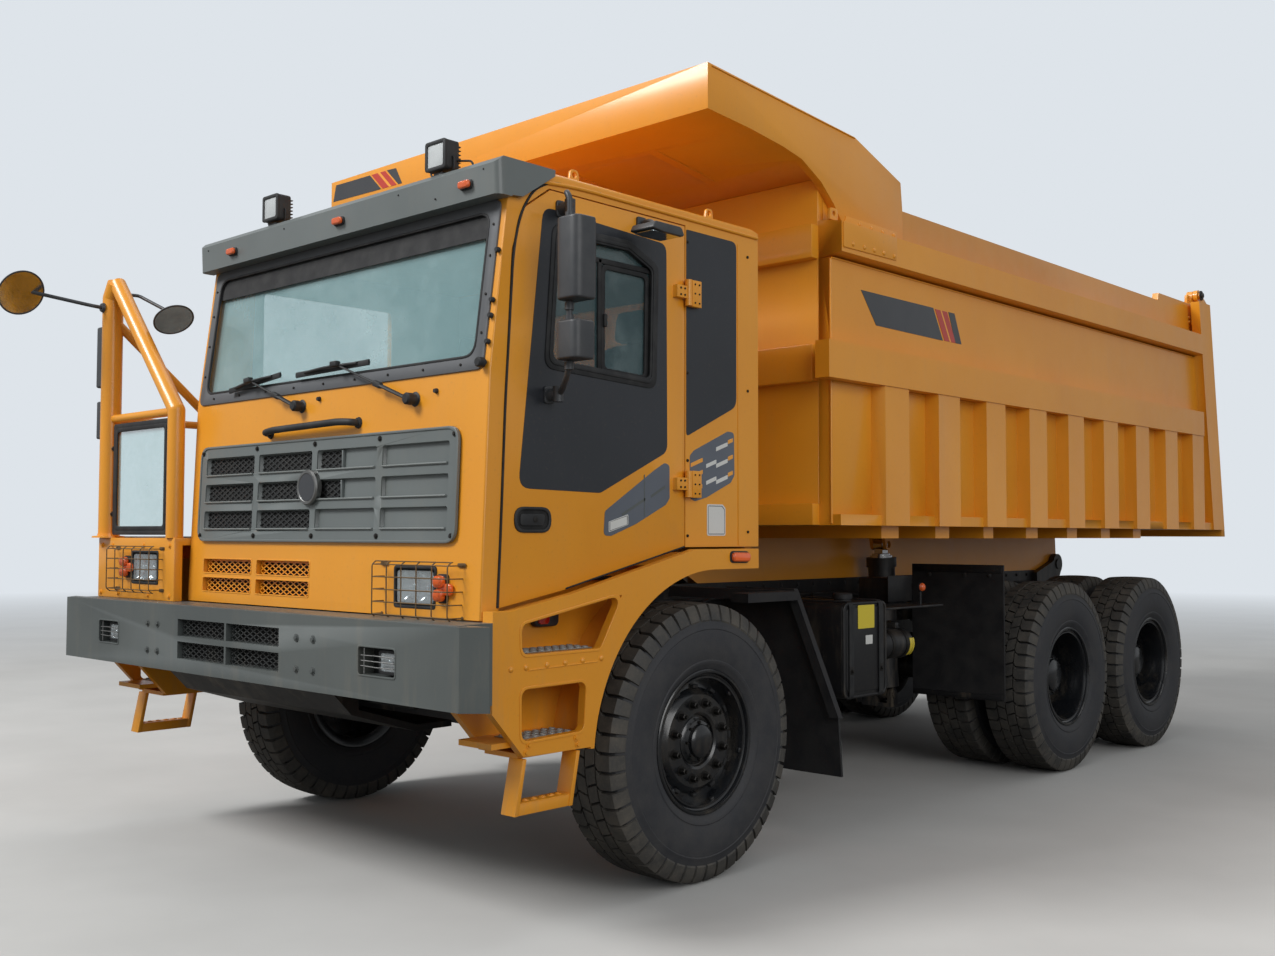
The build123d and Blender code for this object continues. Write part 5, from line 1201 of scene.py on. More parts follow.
def reflector(x, y, z, half_width, half_height, depth=26.0):
    """Bowl of a rectangular lamp with its bulb cap."""
    def reach(share, size):
        return abs(share) ** 0.35 * (1 if share >= 0 else -1) * size

    bm = bmesh.new()
    rings = [[bm.verts.new((x + reach(cos(a), half_width) * share, y + depth * level,
                            z + reach(sin(a), half_height) * share)) for a in angles(40)]
             for level, share in ((0.0, 1.0), (0.45, 0.86), (0.8, 0.6), (1.0, 0.25))]
    skin(bm, rings)
    bm.faces.new(rings[-1])
    cap = spun([(4, 0), (4, 9), (8, 12), (depth, 12), (depth, 0)], (x, y, z), "Y", 20)
    return joined([bm, cap])


def louvre_shade_sheet():
    """Near-black sheet behind the two louvre openings: painted shade, so that nothing shows through them."""
    plate = slab(rectangle(-690, 360, 1402, 1560), "Y", 0, 3, 0)
    put("louvre_shade_sheet", leaning(plate, front_y, 70), "painted_shade")


def grille_pieces():
    """Pressed grille: rounded frame, 4 by 3 dished cells with lower lips, mesh in the open ones; frame and
    cells are painted paler as sunlight, the lips paler still as a highlight.
    """
    x0, x1, z0, z1 = GRILLE_LOW.x, GRILLE_HIGH.x, GRILLE_LOW.z, GRILLE_HIGH.z
    columns, rows, bar, side = 4, 3, 44.0, 62.0
    widths = (x1 - x0 - 2 * side + bar) / columns
    heights = (z1 - z0 - 2 * side + bar) / rows
    cells = []
    for column in range(columns):
        for row in range(rows):
            left, low = x0 + side + column * widths, z0 + side + row * heights
            cells.append((column, row, left, left + widths - bar, low, low + heights - bar))

    def face(z):
        return front_y(z) - 14

    outer = oblong(x0, x1, z0, z1, 70)
    frame_plate = leaning(slab(outer, "Y", 0, 10, 2.5, [oblong(*cell[2:], 14) for cell in cells]), face)
    rim = leaning(slab(outer, "Y", 0, 7, 2.5, [ring_of(outer, 12)]), face, -5)
    # frame, cell walls and blanks take the lighter slate: painted sunlight
    put("grille_frame", joined([frame_plate, rim]), "slate_sunlit", 40, ("front_grille",))
    surround = slab(rectangle(x0 - 1, x1 + 1, z0 - 1, z1 + 1), "Y", 0, 4, 0, [ring_of(outer, 3)])
    put("grille_surround", leaning(surround, front_y, 0.5), "paint")
    dishes, lips, blanks, meshes = [], [], [], []
    for column, row, a, b, c, d in cells:
        outline = oblong(a - 1, b + 1, c - 1, d + 1, 15)
        bm = bmesh.new()
        skin(bm, [[bm.verts.new((x, face(z) + depth, z)) for x, z in ring]
                  for ring, depth in ((outline, 4), (ring_of(outline, 9), 24))])
        dishes.append(bm)
        lips.append(tube([(a + 8, face(c) - 3, c + 2), (b - 8, face(c) - 3, c + 2)], 6.5, sides=8, flat=0.8))
        open_to = {0: b, 1: b, 2: (a + (b - a) * 0.42 if row > 0 else a)}.get(column, a)
        if open_to > a:
            meshes.append(expanded_mesh(a + 4, open_to - 4,
                                        c + 6, d - 6, lambda z: face(z) + 20, 27, 13.5, 4.2))
        if open_to < b:
            blanks.append(leaning(slab(rectangle(open_to, b - 5, c + 6, d - 6), "Y", 0, 5, 0), face, 20))
            if open_to > a:
                blanks.append(block((open_to - 5, open_to + 5),
                                    (face(c) + 8, face(c) + 26), (c + 6, d - 6), 1))
    put("grille_cell_walls", joined(dishes), "slate_sunlit", 40)
    # the lips take the lighter slate: a painted highlight along each cell's lower edge
    put("grille_lips", joined(lips), "slate_highlight")
    put("grille_blanks", joined(blanks), "slate_sunlit")
    put("grille_mesh", joined(meshes), "mesh_grey")
    # painted shade: a near-black sheet behind the grille cells
    painted_shade = slab(oblong(x0 + 20, x1 - 20, z0 + 20, z1 - 20, 30), "Y", 0, 3, 0)
    put("grille_shade_sheet", leaning(painted_shade, face, 26), "painted_shade")
    places = [(x, face(z) - 1, z) for x in (x0 + 26, x1 - 30) for z in (z0 + 30, z1 - 34)]
    places += [(x0 + side + k * widths - bar / 2, face(z) - 1, z) for k in (1, 2, 3)
               for z in (z0 + 30, z1 - 30)]
    put("grille_bolts", bolts(places, (0, -1, 0.04), 17, 8), "dark_steel")


LOUVRE_X = ((-672, -190), (-140, 342))
LOUVRE_Z = ((1402, 1476), (1500, 1574))


def louvre_pieces():
    meshes, rims = [], []
    for x in LOUVRE_X:
        for z in LOUVRE_Z:
            meshes.append(expanded_mesh(x[0] + 3, x[1] - 3, z[0]
                                        + 3, z[1] - 3, lambda level: front_y(level) + 22, 27, 12.5, 4.4))
            rims.append(lip(*x, *z, front_y, 5, 2.5, 10))
    put("louvre_mesh", joined(meshes), "paint")
    put("louvre_rims", joined(rims), "paint")


def headlamp(name, x0, x1, z0, z1, face, amber_x, cage_x, cage_z):
    """Rectangular lamp in its pocket, the amber lamp beside it and the wire cage over both."""
    box = (x0, x1, z0, z1)
    shell = slab(inset(box, 2, 2, 16), "Y", face + 20, face + 34, 3, [inset(box, 20, 16, 14)])
    wall = slab(inset(box, -10, -10, 18), "Y", face - 5, face + 22, 3, [inset(box, 3, 3, 14)])
    put(f"headlamp_frame_{name}", joined([shell, wall]), "matt")
    cx, cz = (x0 + x1) / 2, (z0 + z1) / 2
    half = (x1 - x0) / 2 - 19
    bowls = [reflector(x, face + 12, cz, half / 2, (z1 - z0) / 2 - 16, 30)
             for x in (cx - half / 2, cx + half / 2)]
    put(f"headlamp_bowls_{name}", joined(bowls), "mirror", 60)
    glass = slab(inset(box, 14, 11, 16), "Y", face - 4, face + 6, 5, segments=3)
    put(f"headlamp_glass_{name}", glass, "lens_clear", 40)
    a0, a1 = amber_x
    base = slab(oblong(a0 - 6, a1 + 6, cz - 62, cz + 62, 16), "Y", face - 8, face + 2, 2)
    put(f"signal_base_{name}", base, "matt")
    lobes = [slab(oblong(a0, a1, cz + s - 27, cz + s + 27, 24), "Y", face - 44, face - 7, 14, segments=4)
             for s in (-29, 29)]
    side = slab(oblong(a0 + 14, a1 + 44, cz - 30, cz + 22, 20), "Y", face - 24, face - 3, 8, segments=3)
    put(f"signal_lamp_{name}", joined(lobes + [side]), "amber", 40)
    c0, c1 = cage_x
    d0, d1 = cage_z
    out = face - 74
    bars = []
    for z in on_line((0, 0, d0), (0, 0, d1), 5):
        path = ((c0 - 4, face + 2), (c0, out + 14),
                (c0 + 16, out), (c1 - 16, out), (c1, out + 14), (c1 + 4, face + 2))
        bars.append(wire([(x, y, z.z) for x, y in path]))
    for x in on_line((c0 + 6, 0, 0), (c1 - 6, 0, 0), 6):
        bars.append(wire([(x.x, out + 22, d0 - 16), (x.x, out + 1, d0), (x.x, out + 1, d1),
                          (x.x, out + 22, d1 + 14)]))
    bars += [wire([(c0, out + 24, z), (c1, out + 24, z)]) for z in (d0 - 16, d1 + 14)]
    feet = [slab(oblong(x - 26, x + 26, z - 9, z + 9, 8), "Y", face - 4, face + 1, 1) for x in (c0, c1)
            for z in (d0 - 2, d1 + 2)]
    feet += [bolt((x, face - 4, z), FORWARD, 12, 6) for x in (c0 - 10, c1 + 10) for z in (d0 - 2, d1 + 2)]
    put(f"headlamp_cage_{name}", joined(bars + feet), "cage", 60)


def front_pieces():
    louvre_shade_sheet()
    bumper_pieces()
    grille_pieces()
    louvre_pieces()
    headlamp("left", 1035, 1315, 1389, 1557, front_y(1470), (1344, 1404), (952, 1496), (1352, 1572))
    headlamp("right", -1303, -1013, 1436, 1603, GUARD_FACE, (-1392, -1330), (-1482, -962), (1398, 1622))


# ================================================================ the cab's left side
def on_left(outline, low, high, bevel=0.0, holes=(), segments=2):
    """An outline on the cab's left side, between two distances out from its face."""
    return slab(outline, "X", CAB_LEFT + low, CAB_LEFT + high, bevel, holes, segments)


def side_film(outline, radius, proud=2.0, holes=(), face=None):
    """A thin sheet with rounded corners stuck on a side face."""
    face = CAB_LEFT if face is None else face
    return slab(rounded(outline, radius), "X", face - 1, face + proud, 0.6, holes, 1)


DOOR_FILM = [(-1243, 1903), (-744, 1894), (-286, 2104), (-294, 3112), (-1106, 3145)]
WINDOW = [(-1062, 2464), (-401, 2433), (-388, 2975), (-560, 3050), (-1020, 3050)]
REAR_FILM = [(-146, 2186), (246, 2361), (248, 3212), (-146, 3212)]
DOOR_DECAL = [(-722, 1700), (-672, 1699), (-503, 1756), (-297, 1848), (-269, 1879), (-270, 2041),
              (-305, 2050), (-379, 2012), (-714, 1812)]
REAR_DECAL = [(-119, 1883), (-80, 1870), (9, 1891), (200, 1970), (230, 2008), (226, 2228), (175, 2230),
              (-88, 2121), (-119, 2094)]
# centre y and z and length of each bar in the decal behind the door
REAR_BARS = (
    ("decal_orange", ((-68, 2062, 92), (-68, 2002, 92),
                      (-68, 1932, 84), (196, 2182, 40), (196, 2098, 40), (196, 2016, 40))),
    ("decal_white", ((128, 2150, 92), (128, 2066, 92), (128, 1984, 92), (44, 2060, 80), (44, 1976, 80))),
)


def grown(outline, width):
    """A convex outline moved outwards by a width."""
    middle_x = sum(p[0] for p in outline) / len(outline)
    middle_y = sum(p[1] for p in outline) / len(outline)
    lines = []
    for a, b in zip(outline, outline[1:] + outline[:1]):
        nx, ny = b[1] - a[1], a[0] - b[0]
        length = hypot(nx, ny)
        nx, ny = nx / length, ny / length
        if nx * (a[0] - middle_x) + ny * (a[1] - middle_y) < 0:
            nx, ny = -nx, -ny
        lines.append((nx, ny, nx * a[0] + ny * a[1] + width))
    corners = []
    for (a, b, c), (d, e, f) in zip(lines[-1:] + lines[:-1], lines):
        det = a * e - b * d
        corners.append(((c * e - b * f) / det, (a * f - c * d) / det))
    return corners


HINGE_Z = (1952.0, 2892.0)


def slanted_bar(y, z, length, rise=0.34, width=20):
    """Outline of a short bar that climbs to the rear."""
    half = length / 2
    return [(y - half, z - half * rise - width / 2), (y + half, z + half * rise - width / 2),
            (y + half, z + half * rise + width / 2), (y - half, z - half * rise + width / 2)]


def door_dressing():
    """Film, window frame, handle, blank decals and hinge screws of the door."""
    opening = rounded(grown(WINDOW, 6), 30)
    film = side_film(DOOR_FILM, (60, 70, 60, 50, 60), 2.0, [opening])
    put("door_film", film, "charcoal", body="door")
    outer, inner = rounded(grown(WINDOW, 34), 60), rounded(grown(WINDOW, -14), 34)
    frame_ring = on_left(outer, -4, 7, 3, [inner])
    lip_ring = on_left(rounded(grown(WINDOW, 12), 46), 5, 11, 2, [rounded(grown(WINDOW, -4), 38)])
    reveal = on_left(rounded(grown(WINDOW, -2), 36), -46, -2, 0, [rounded(grown(WINDOW, -10), 34)])
    put("door_window_frame", joined([frame_ring, lip_ring, reveal]), "matt", 40, body="door")
    x = (CAB_LEFT - 34, CAB_LEFT - 8)
    bars = [block(x, (-752, -728), (2446, 2975), 4), block(x, (-1056, -394), (2952, 2978), 4)]
    pane = on_left(rounded([(-728, 2450), (-416, 2436), (-408, 2950), (-728, 2952)], 34), -22, -9, 2,
                   [rounded([(-706, 2472), (-438, 2460), (-431, 2928), (-706, 2930)], 26)])
    latch = block((CAB_LEFT - 9, CAB_LEFT + 5), (-724, -704), (2660, 2720), 4)
    put("door_window_bars", joined(bars + [pane, latch]), "seal", 40, body="door")

    cy, cz = -1160, 1768
    oval = oblong(cy - 107, cy + 107, cz - 56, cz + 56, 54)
    inside = [(cy + (y - cy) * 0.86, cz + (z - cz) * 0.76) for y, z in oval]
    bezel = on_left(oval, -2, 9, 4, [inside], 3)
    # the dish is near-black: painted shade in the handle's recess
    dish = on_left([(cy + (y - cy) * 0.9, cz + (z - cz) * 0.84) for y, z in oval], -1, 1, 0)
    paddle = on_left(rounded([(cy - 74, cz - 26), (cy + 60, cz - 26), (cy + 74, cz + 26), (cy - 74, cz + 26)],
                             18), 1, 7, 3)
    put("door_handle", joined([bezel, paddle]), "matt", 40, body="door")
    put("door_handle_dish", dish, "painted_shade", body="door")
    lock = spun([(0, 0), (0, 13), (3, 13), (4, 9), (4, 0)], (CAB_LEFT + 6, cy + 12, cz + 2), "X", 20)
    put("door_lock", lock, "dark_steel", body="door")

    put("door_decal", side_film(DOOR_DECAL, 26), "decal_grey", body="door")
    ridges = [on_left([(-600, 1790), (-440, 1868), (-444, 1880), (-604, 1802)], 1, 2.6),
              on_left([(-452, 1790), (-446, 1790), (-446, 1990), (-452, 1986)], 1, 2.6),
              on_left([(-400, 1880), (-300, 1930), (-304, 1942), (-404, 1892)], 1, 2.6)]
    put("door_decal_lines", joined(ridges), "slate", body="door")
    label = [(-690, 1715), (-560, 1751), (-560, 1800), (-690, 1764)]
    put("door_decal_label", side_film(label, 6, 3.0), "decal_white", body="door")
    edge = side_film(ring_of(label, 5), 3, 3.6, [ring_of(label, 9)])
    put("door_decal_edge", edge, "decal_dark", body="door")

    screws = [(CAB_LEFT + 30, y, z) for z in (1936, 1968, 2876, 2908) for y in (-190, -220)]
    put("door_hinge_screws", bolts(screws, LEFT, 11, 5, False), "dark_steel", body="door")
    rubber_line = [(CAB_LEFT + 1, -960, 1466), (CAB_LEFT + 1, -560, 1556), (CAB_LEFT + 1, -160, 1647)]
    put("door_foot_seal", tube(rubber_line, 4, 60, 8), "seal", body="door")


def cab_side_dressing():
    """What the cab's left side carries round the door: films, seal, labels, lamps and screws."""
    put("rear_film", side_film(REAR_FILM, (16, 66, 40, 10)), "charcoal")
    seal = [(-1357, 1396), (-1343, 1681), (-1320, 2274), (-1280, 2922), (-1241, 3092), (-1165, 3208),
            (-1065, 3262), (-751, 3272)]
    put("pillar_seal", tube([(CAB_LEFT + 1, y, z) for y, z in seal], 7.5, 90, 8, 0.8), "seal")
    put("rear_decal", side_film(REAR_DECAL, 24), "decal_grey")
    for look, places in REAR_BARS:
        bars = [side_film(slanted_bar(*place), 3, 3.0) for place in places]
        put("rear_bars_" + look.split("_")[1], joined(bars), look)
    label = [(12, 1700), (157, 1700), (157, 1840), (135, 1858), (12, 1858)]
    put("side_label", side_film(label, 12), "decal_white")
    edge = side_film(ring_of(label, 7), 8, 2.6, [ring_of(label, 11)])
    put("side_label_edge", edge, "decal_grey")
    plates = [block((CAB_LEFT + 26, CAB_LEFT + 33), (-134, -66), (z - 66, z + 66), 2.5) for z in HINGE_Z]
    put("hinge_plates", joined(plates), "paint")
    places = [(CAB_LEFT + 33, y, z + dz) for z in HINGE_Z for y in (-116, -84) for dz in (-46, 0, 46)]
    put("hinge_plate_screws", bolts(places, LEFT, 10, 4, False), "dark_steel")
    fold = on_left(rectangle(258, 266, SIDE_FOOT_Z, 3205), -1, 3, 1.2)
    put("rear_fold", fold, "paint")
    screws = [(CAB_LEFT, -137, z) for z in (2069, 1700, 2500, 3150)]
    screws += [(CAB_LEFT, 340, z) for z in (1720, 2450, 3150)]
    put("cab_side_screws", bolts(screws, LEFT, 16, 6, False), "dark_steel")


STEP_HOLES = (
    ((-1281, 1324), (-670, 1432), (-812, 1199), (-1276, 1199)),
    ((-1279, 1053), (-900, 1058), (-915, 846), (-1277, 837)),
)
STEP_FLOORS = ((1199, (-1266, -822)), (837, (-1266, -925)))
STEP_DEPTH = 190.0                                  # how far the steps reach in from the fender's face
STIRRUP_FOOT = 530.0                                # lowest edge of the hanging steps
STIRRUP_WIDTH = 90.0
STIRRUP_ARMS = [[(y0, STIRRUP_FOOT), (y0 + 24, STIRRUP_FOOT), (y1 + 22, 763), (y1, 763)]
                for y0, y1 in ((-1314, -1268), (-1002, -955))]
STIRRUP_TREAD = [(-1312, STIRRUP_FOOT), (-980, STIRRUP_FOOT), (-988, 582), (-1300, 582)]


def grip_plate(x0, x1, y0, y1, z):
    """Step plate with rows of raised rings."""
    parts = [block((x0, x1), (y0, y1), (z, z + 3), 1)]
    rows, columns = int((x1 - x0) / 44), int((y1 - y0) / 44)
    ring = [(0, 9), (4, 10), (6, 13), (4, 16), (0, 17)]
    for row in range(rows):
        for column in range(columns):
            centre = (x0 + (row + 0.5) * (x1 - x0) / rows, y0 + (column + 0.5) * (y1 - y0) / columns, z + 2.5)
            parts.append(turned(ring, centre, "Z", 12))
    return joined(parts)


def steps(side, x_out):
    """Rounded rims of the step holes, grip plates, rivets and the hanging step of one side."""
    sign = 1 if side == "left" else -1

    def finish(name, bm, look, angle=35.0, replaces=()):
        put(name, bm if sign > 0 else mirrored(bm), look, angle, replaces)

    rims = []
    for hole in STEP_HOLES:
        clear = grown(list(hole), 1.5)
        rims.append(slab(rounded(grown(clear, 11), 46), "X", x_out - 38, x_out + 3, 1.6,
                         [rounded(clear, 44, 7)], 1))
    finish(f"step_rims_{side}", joined(rims), "paint")
    plates = [grip_plate(x_out - STEP_DEPTH, x_out - 42, *y, z + 1) for z, y in STEP_FLOORS]
    finish(f"grip_plates_{side}", joined(plates), "tread_plate")
    places = [(x_out, y, 1143 + (y + 1340) * 0.022) for y in (-1340, -1255, -1135, -1028, -922, -805)]
    heads = [spun([(-2, 0), (-2, 14), (4, 12), (8, 6), (9, 0)], p, "X", 16) for p in places]
    finish(f"fender_rivets_{side}", joined(heads), "paint", 50)
    weld = tube([(x_out, -1240, 1133), (x_out, -830, 1142)], 4, sides=8)
    finish(f"fender_weld_{side}", weld, "paint")
    tread = grip_plate(x_out - 86, x_out - 4, -1286, -1000, STIRRUP_FOOT + 47)
    finish(f"stirrup_grip_{side}", tread, "paint")
    studs = [(x_out, y, z) for y, z in ((-1252, 790), (-1236, 820), (-950, 790), (-960, 820))]
    finish(f"stirrup_bolts_{side}", bolts(studs, LEFT, 20, 9), "paint")


def fender_dressing():
    softened("left_fender", width=4.0)
    softened("right_fender", width=4.0)
    hanging_steps()
    softened("right_platform")
    steps("left", FENDER_OUT)
    steps("right", PLATFORM_OUT)
    x = FENDER_OUT
    lens_shape = slab(rounded([(114, 1572), (250, 1570), (250, 1616), (114, 1618)], 20),
                      "X", x + 2, x + 24, 8, segments=3)
    base = slab(rounded([(106, 1565), (258, 1563), (258, 1623), (106, 1625)], 24), "X", x - 1, x + 4, 1.5)
    put("side_marker", lens_shape, "amber", 40)
    put("side_marker_base", base, "matt")
    x = FENDER_OUT - 250
    shell = slab(oblong(-1011, -860, 1290, 1372, 30), "X", x, x + 38, 10, segments=3)
    glass = slab(oblong(-996, -930, 1302, 1360, 22), "X", x + 34, x + 50, 6, segments=3)
    put("well_lamp", shell, "matt", 40)
    put("well_lamp_lens", glass, "red", 40)
    handle = tube([(x - 2, -700, 1500), (x + 40, -700, 1500), (x + 40, -520, 1500), (x - 2, -520, 1500)],
                  9, 20, 10)
    put("well_handle", handle, "black")


def hanging_steps():
    """The stirrup steps that hang under both step wells: two flat arms and a pressed tread."""
    parts = []
    for low in (FENDER_OUT - STIRRUP_WIDTH, -PLATFORM_OUT):
        high = low + STIRRUP_WIDTH
        parts += [slab(arm, "X", low, high, 4) for arm in STIRRUP_ARMS]
        parts.append(slab(STIRRUP_TREAD, "X", low + 5, high - 5, 4))
        for y in range(-1270, -1010, 52):
            parts.append(spun([(578, 0), (578, 15), (587, 11), (587, 6), (579, 5), (579, 0)],
                              (low + 45, y, 0), "Z", 14))
    put("hanging_steps", joined(parts), "paint", 35, ("ladders",))


def mirror_head(x, y, z, radius=46.0):
    """Housing with a domed front and rounded ends, and the glass in its rear face."""
    (x0, x1), (y0, y1), (z0, z1) = x, y, z
    box = (x0, x1, z0, z1)
    plan = rounded([(x0 + 4, y0), (x1 - 4, y0), (x1, y1), (x0, y1)], (radius, radius, 14, 14), 9)
    shell = slab(plan, "Z", z0, z1, 26, segments=6)
    rim_plate = slab(inset(box, 4, 4, 26), "Y", y1 - 2, y1 - 0.4, 0, [inset(box, 14, 14, 20)])
    return joined([shell, rim_plate]), slab(inset(box, 12, 12, 22), "Y", y1 - 4, y1 - 0.8, 0)


def disc_mirror(centre, facing, radius, thick):
    """Round mirror: domed black back, rolled rim and the glass that faces down beside the truck."""
    half = thick / 2
    turn = Vector((0, 0, 1)).rotation_difference(Vector(facing).normalized()).to_matrix()
    shell = spun([(-half, 0), (-half + 1, radius * 0.35), (-half + 8, radius * 0.8), (half - 7, radius - 1),
                  (half - 2, radius), (half, radius - 3), (half, radius - 8), (half - 3, radius - 10),
                  (half - 3, 0)], (0, 0, 0), "Z", 64)
    glass = spun([(half - 2.6, 0), (half - 2.2, radius * 0.5), (half - 2.8, radius - 9), (half - 3.4, 0)],
                 (0, 0, 0), "Z", 64)
    boss = spun([(-half - 26, 0), (-half - 26, 16), (-half - 12, 24), (-half + 4, 30), (-half + 4, 0)],
                (0, 0, 0), "Z", 24)
    return [moved(moved(bm, turn=turn), centre) for bm in (joined([shell, boss]), glass)]


def left_mirrors():
    """Tall and small heads on the door's tube, and the ramp mirror over the window."""
    reach = MIRROR_REACH
    post_x, post_y, foot = reach - 110, -1165.0, CAB_LEFT + 12
    arm = tube([(foot, -1004, 3150), (foot + 60, -1004, 3154), (post_x - 20, post_y, 3160),
                (post_x, post_y, 3130), (post_x, post_y, 2400), (foot + 70, -1071, 2318),
                (foot, -1071, 2315)], 13, 70, 14)
    parts = [arm]
    for y, z in ((-1004, 3150), (-1071, 2315)):
        parts.append(on_left(oblong(y - 30, y + 30, z - 38, z + 38, 16), 0, 13, 4))
        parts.append(spun([(0, 0), (0, 30), (30, 26), (52, 22), (52, 0)], (CAB_LEFT + 6, y, z), "X", 24))
        parts.append(spun([(-34, 0), (-34, 24), (34, 24), (34, 0)], (foot + 52, y, z), "Z", 24))
    for z in (2668, 2612, 2415, 3052):
        parts.append(spun([(-16, 0), (-16, 20), (16, 20), (16, 0)], (post_x, post_y, z), "Z", 20))
    tall, tall_glass = mirror_head((reach - 145, reach), (post_y - 62, post_y + 52), (2690, 3040))
    small, small_glass = mirror_head((reach - 145, reach - 5), (post_y - 60, post_y + 50), (2437, 2600), 40)
    put("left_mirror_heads", joined([tall, small] + parts), "plastic", 40, ("left_mirrors",), body="door")
    ramp = on_left(rounded([(-640, 3100), (-560, 3091), (-430, 3091), (-421, 3100), (-440, 3134),
                            (-620, 3134)], (8, 20, 8, 8, 26, 14)), 82, 228, 14, segments=4)
    ramp_arm = tube([(foot, -480, 3180), (foot + 50, -480, 3184), (CAB_LEFT + 150, -500, 3130)], 12, 30, 12)
    foot_plate = on_left(oblong(-510, -450, 3150, 3210, 12), 0, 13, 3)
    put("ramp_mirror", joined([ramp, ramp_arm, foot_plate]), "plastic", 40, body="door")
    ramp_glass = slab(oblong(CAB_LEFT + 96, CAB_LEFT + 214, -626, -434, 16), "Z", 3090.2, 3092, 0)
    put("left_mirror_glass", joined([tall_glass, small_glass, ramp_glass]), "mirror", body="door")
    clamp = joined([block((CAB_LEFT + 118, CAB_LEFT + 182), (-530, -470), (3124, 3134), 3)]
                   + [bolt((CAB_LEFT + x, y, 3124), (0, 0, 1), 12, 9)
                      for x in (132, 168) for y in (-516, -484)])
    put("ramp_mirror_clamp", clamp, "steel", body="door")


# facing, radius, thickness, and height or place of the two round mirrors
ROUND = ((0.8813, 0.1025, -0.4612), 135.0, 28.0, 3095.0)
INNER = ((0.629, -0.02, -0.777), 115.0, 20.0, (-1236.0, -1350.0, 2940.0))


def right_mirrors():
    """Round mirror on its long arm, the inner round mirror, and two heads on the guard's post."""
    facing, radius, thick, height = ROUND
    reach = [radius * (1 - f * f) ** 0.5 + thick / 2 * abs(f) for f in facing[:2]]
    centre = Vector((RIGHT_MIRROR_LOW.x + reach[0], RIGHT_MIRROR_LOW.y + reach[1], height))
    out = Vector(facing)
    y = GUARD_FACE + 28
    column = -PLATFORM_OUT + 64
    shell, glass = disc_mirror(centre, facing, radius, thick)
    end = centre - out * 40
    arm = tube([(column, y - 58, 3030), (column, y - 130, 3034), centre - out * 60, end], 11, 60, 12)
    collar = spun([(-14, 0), (-14, 24), (0, 30), (0, 0)], (column, y - 58, 3030), "Y", 20)
    inner_facing, inner_r, inner_t, inner_place = INNER
    small, small_glass = disc_mirror(Vector(inner_place), inner_facing, inner_r, inner_t)
    inner_end = Vector(inner_place) - Vector(inner_facing) * 30
    inner_arm = tube([(-1560, y + 47, 3105), (-1560, y + 100, 3108),
                      inner_end - Vector(inner_facing) * 20, inner_end], 10, 50, 12)
    put("round_mirror", joined([shell, arm, collar]), "plastic", 40, ("right_mirrors",))
    put("inner_mirror", joined([small, inner_arm]), "plastic", 40)
    low_x = RIGHT_MIRROR_LOW.x
    edge = column - 58
    post_x, post_y = low_x + 90, y + 72
    post = tube([(edge, y, 3000), (edge - 50, y, 3004), (post_x, post_y, 2990), (post_x, post_y, 2240),
                 (edge - 50, y, 2225), (edge, y, 2225)], 12, 50, 12)
    tall, tall_glass = mirror_head((low_x, low_x + 145), (y + 22, y + 122), (2585, 2950))
    low, low_glass = mirror_head((low_x + 10, low_x + 145), (y + 27, y + 117), (2275, 2500), 36)
    put("right_mirror_heads", joined([post, tall, low]), "plastic", 40)
    put("right_mirror_glass", joined([glass, small_glass, tall_glass, low_glass]), "mirror", 50)


def guard_dressing():
    """Brackets, bolts and the rubber of the screen frame on the right platform."""
    y = GUARD_FACE + 28
    tabs = [bolt((x, y - 10, z), FORWARD, 20, 9) for x in (-1612, -930) for z in (2200, 1820)]
    put("guard_bolts", joined(tabs), "dark_steel")
    rubber_ring = slab(oblong(-1576, -964, 1724, 2316, 30), "Y", y - 17, y - 9, 2,
                       [oblong(-1552, -988, 1748, 2292, 22)])
    put("guard_screen_rubber", rubber_ring, "seal")
    frame_skin = slab(oblong(-1601, -939, 1699, 2341, 20), "Y", y - 15, y - 12.5, 0.5,
                      [oblong(-1574, -966, 1726, 2314, 26)])
    put("guard_screen_frame", frame_skin, "matt")
    places = [(x, GUARD_FACE, 1640) for x in (-1690, -1560, -1180, -880)]
    places += [(x, GUARD_FACE, 1366) for x in (-1700, -1480, -1120, -880)]
    put("platform_bolts", bolts(places, FORWARD, 20, 9), "paint")
    foot = spun([(0, 0), (0, 92), (10, 90), (12, 62), (26, 60), (26, 0)],
                (-PLATFORM_OUT + 64, y, node_box("right_platform")[1].z), "Z", 40)
    put("guard_foot", foot, "paint")
    deck = grip_plate(-PLATFORM_OUT + 20, CAB_RIGHT - 14, y + 70, 300, node_box("right_platform")[1].z)
    put("platform_grip", deck, "tread_plate")


def side_pieces():
    door_dressing()
    cab_side_dressing()
    fender_dressing()
    left_mirrors()
    right_mirrors()
    guard_dressing()


# ================================================================ bed
SHEET_X = 1690.0                                    # outer face of the bed's side sheet
BED_INSIDE = 1605.0                                 # inner face of the bed's sides
RAIL_FACE = 1763.0                                  # outer face of the top rail
UPPER_FACE = 1655.0                                 # outer face of the canopy and the side above the rail
CANOPY_FRONT = node_box("bed_canopy")[0].y
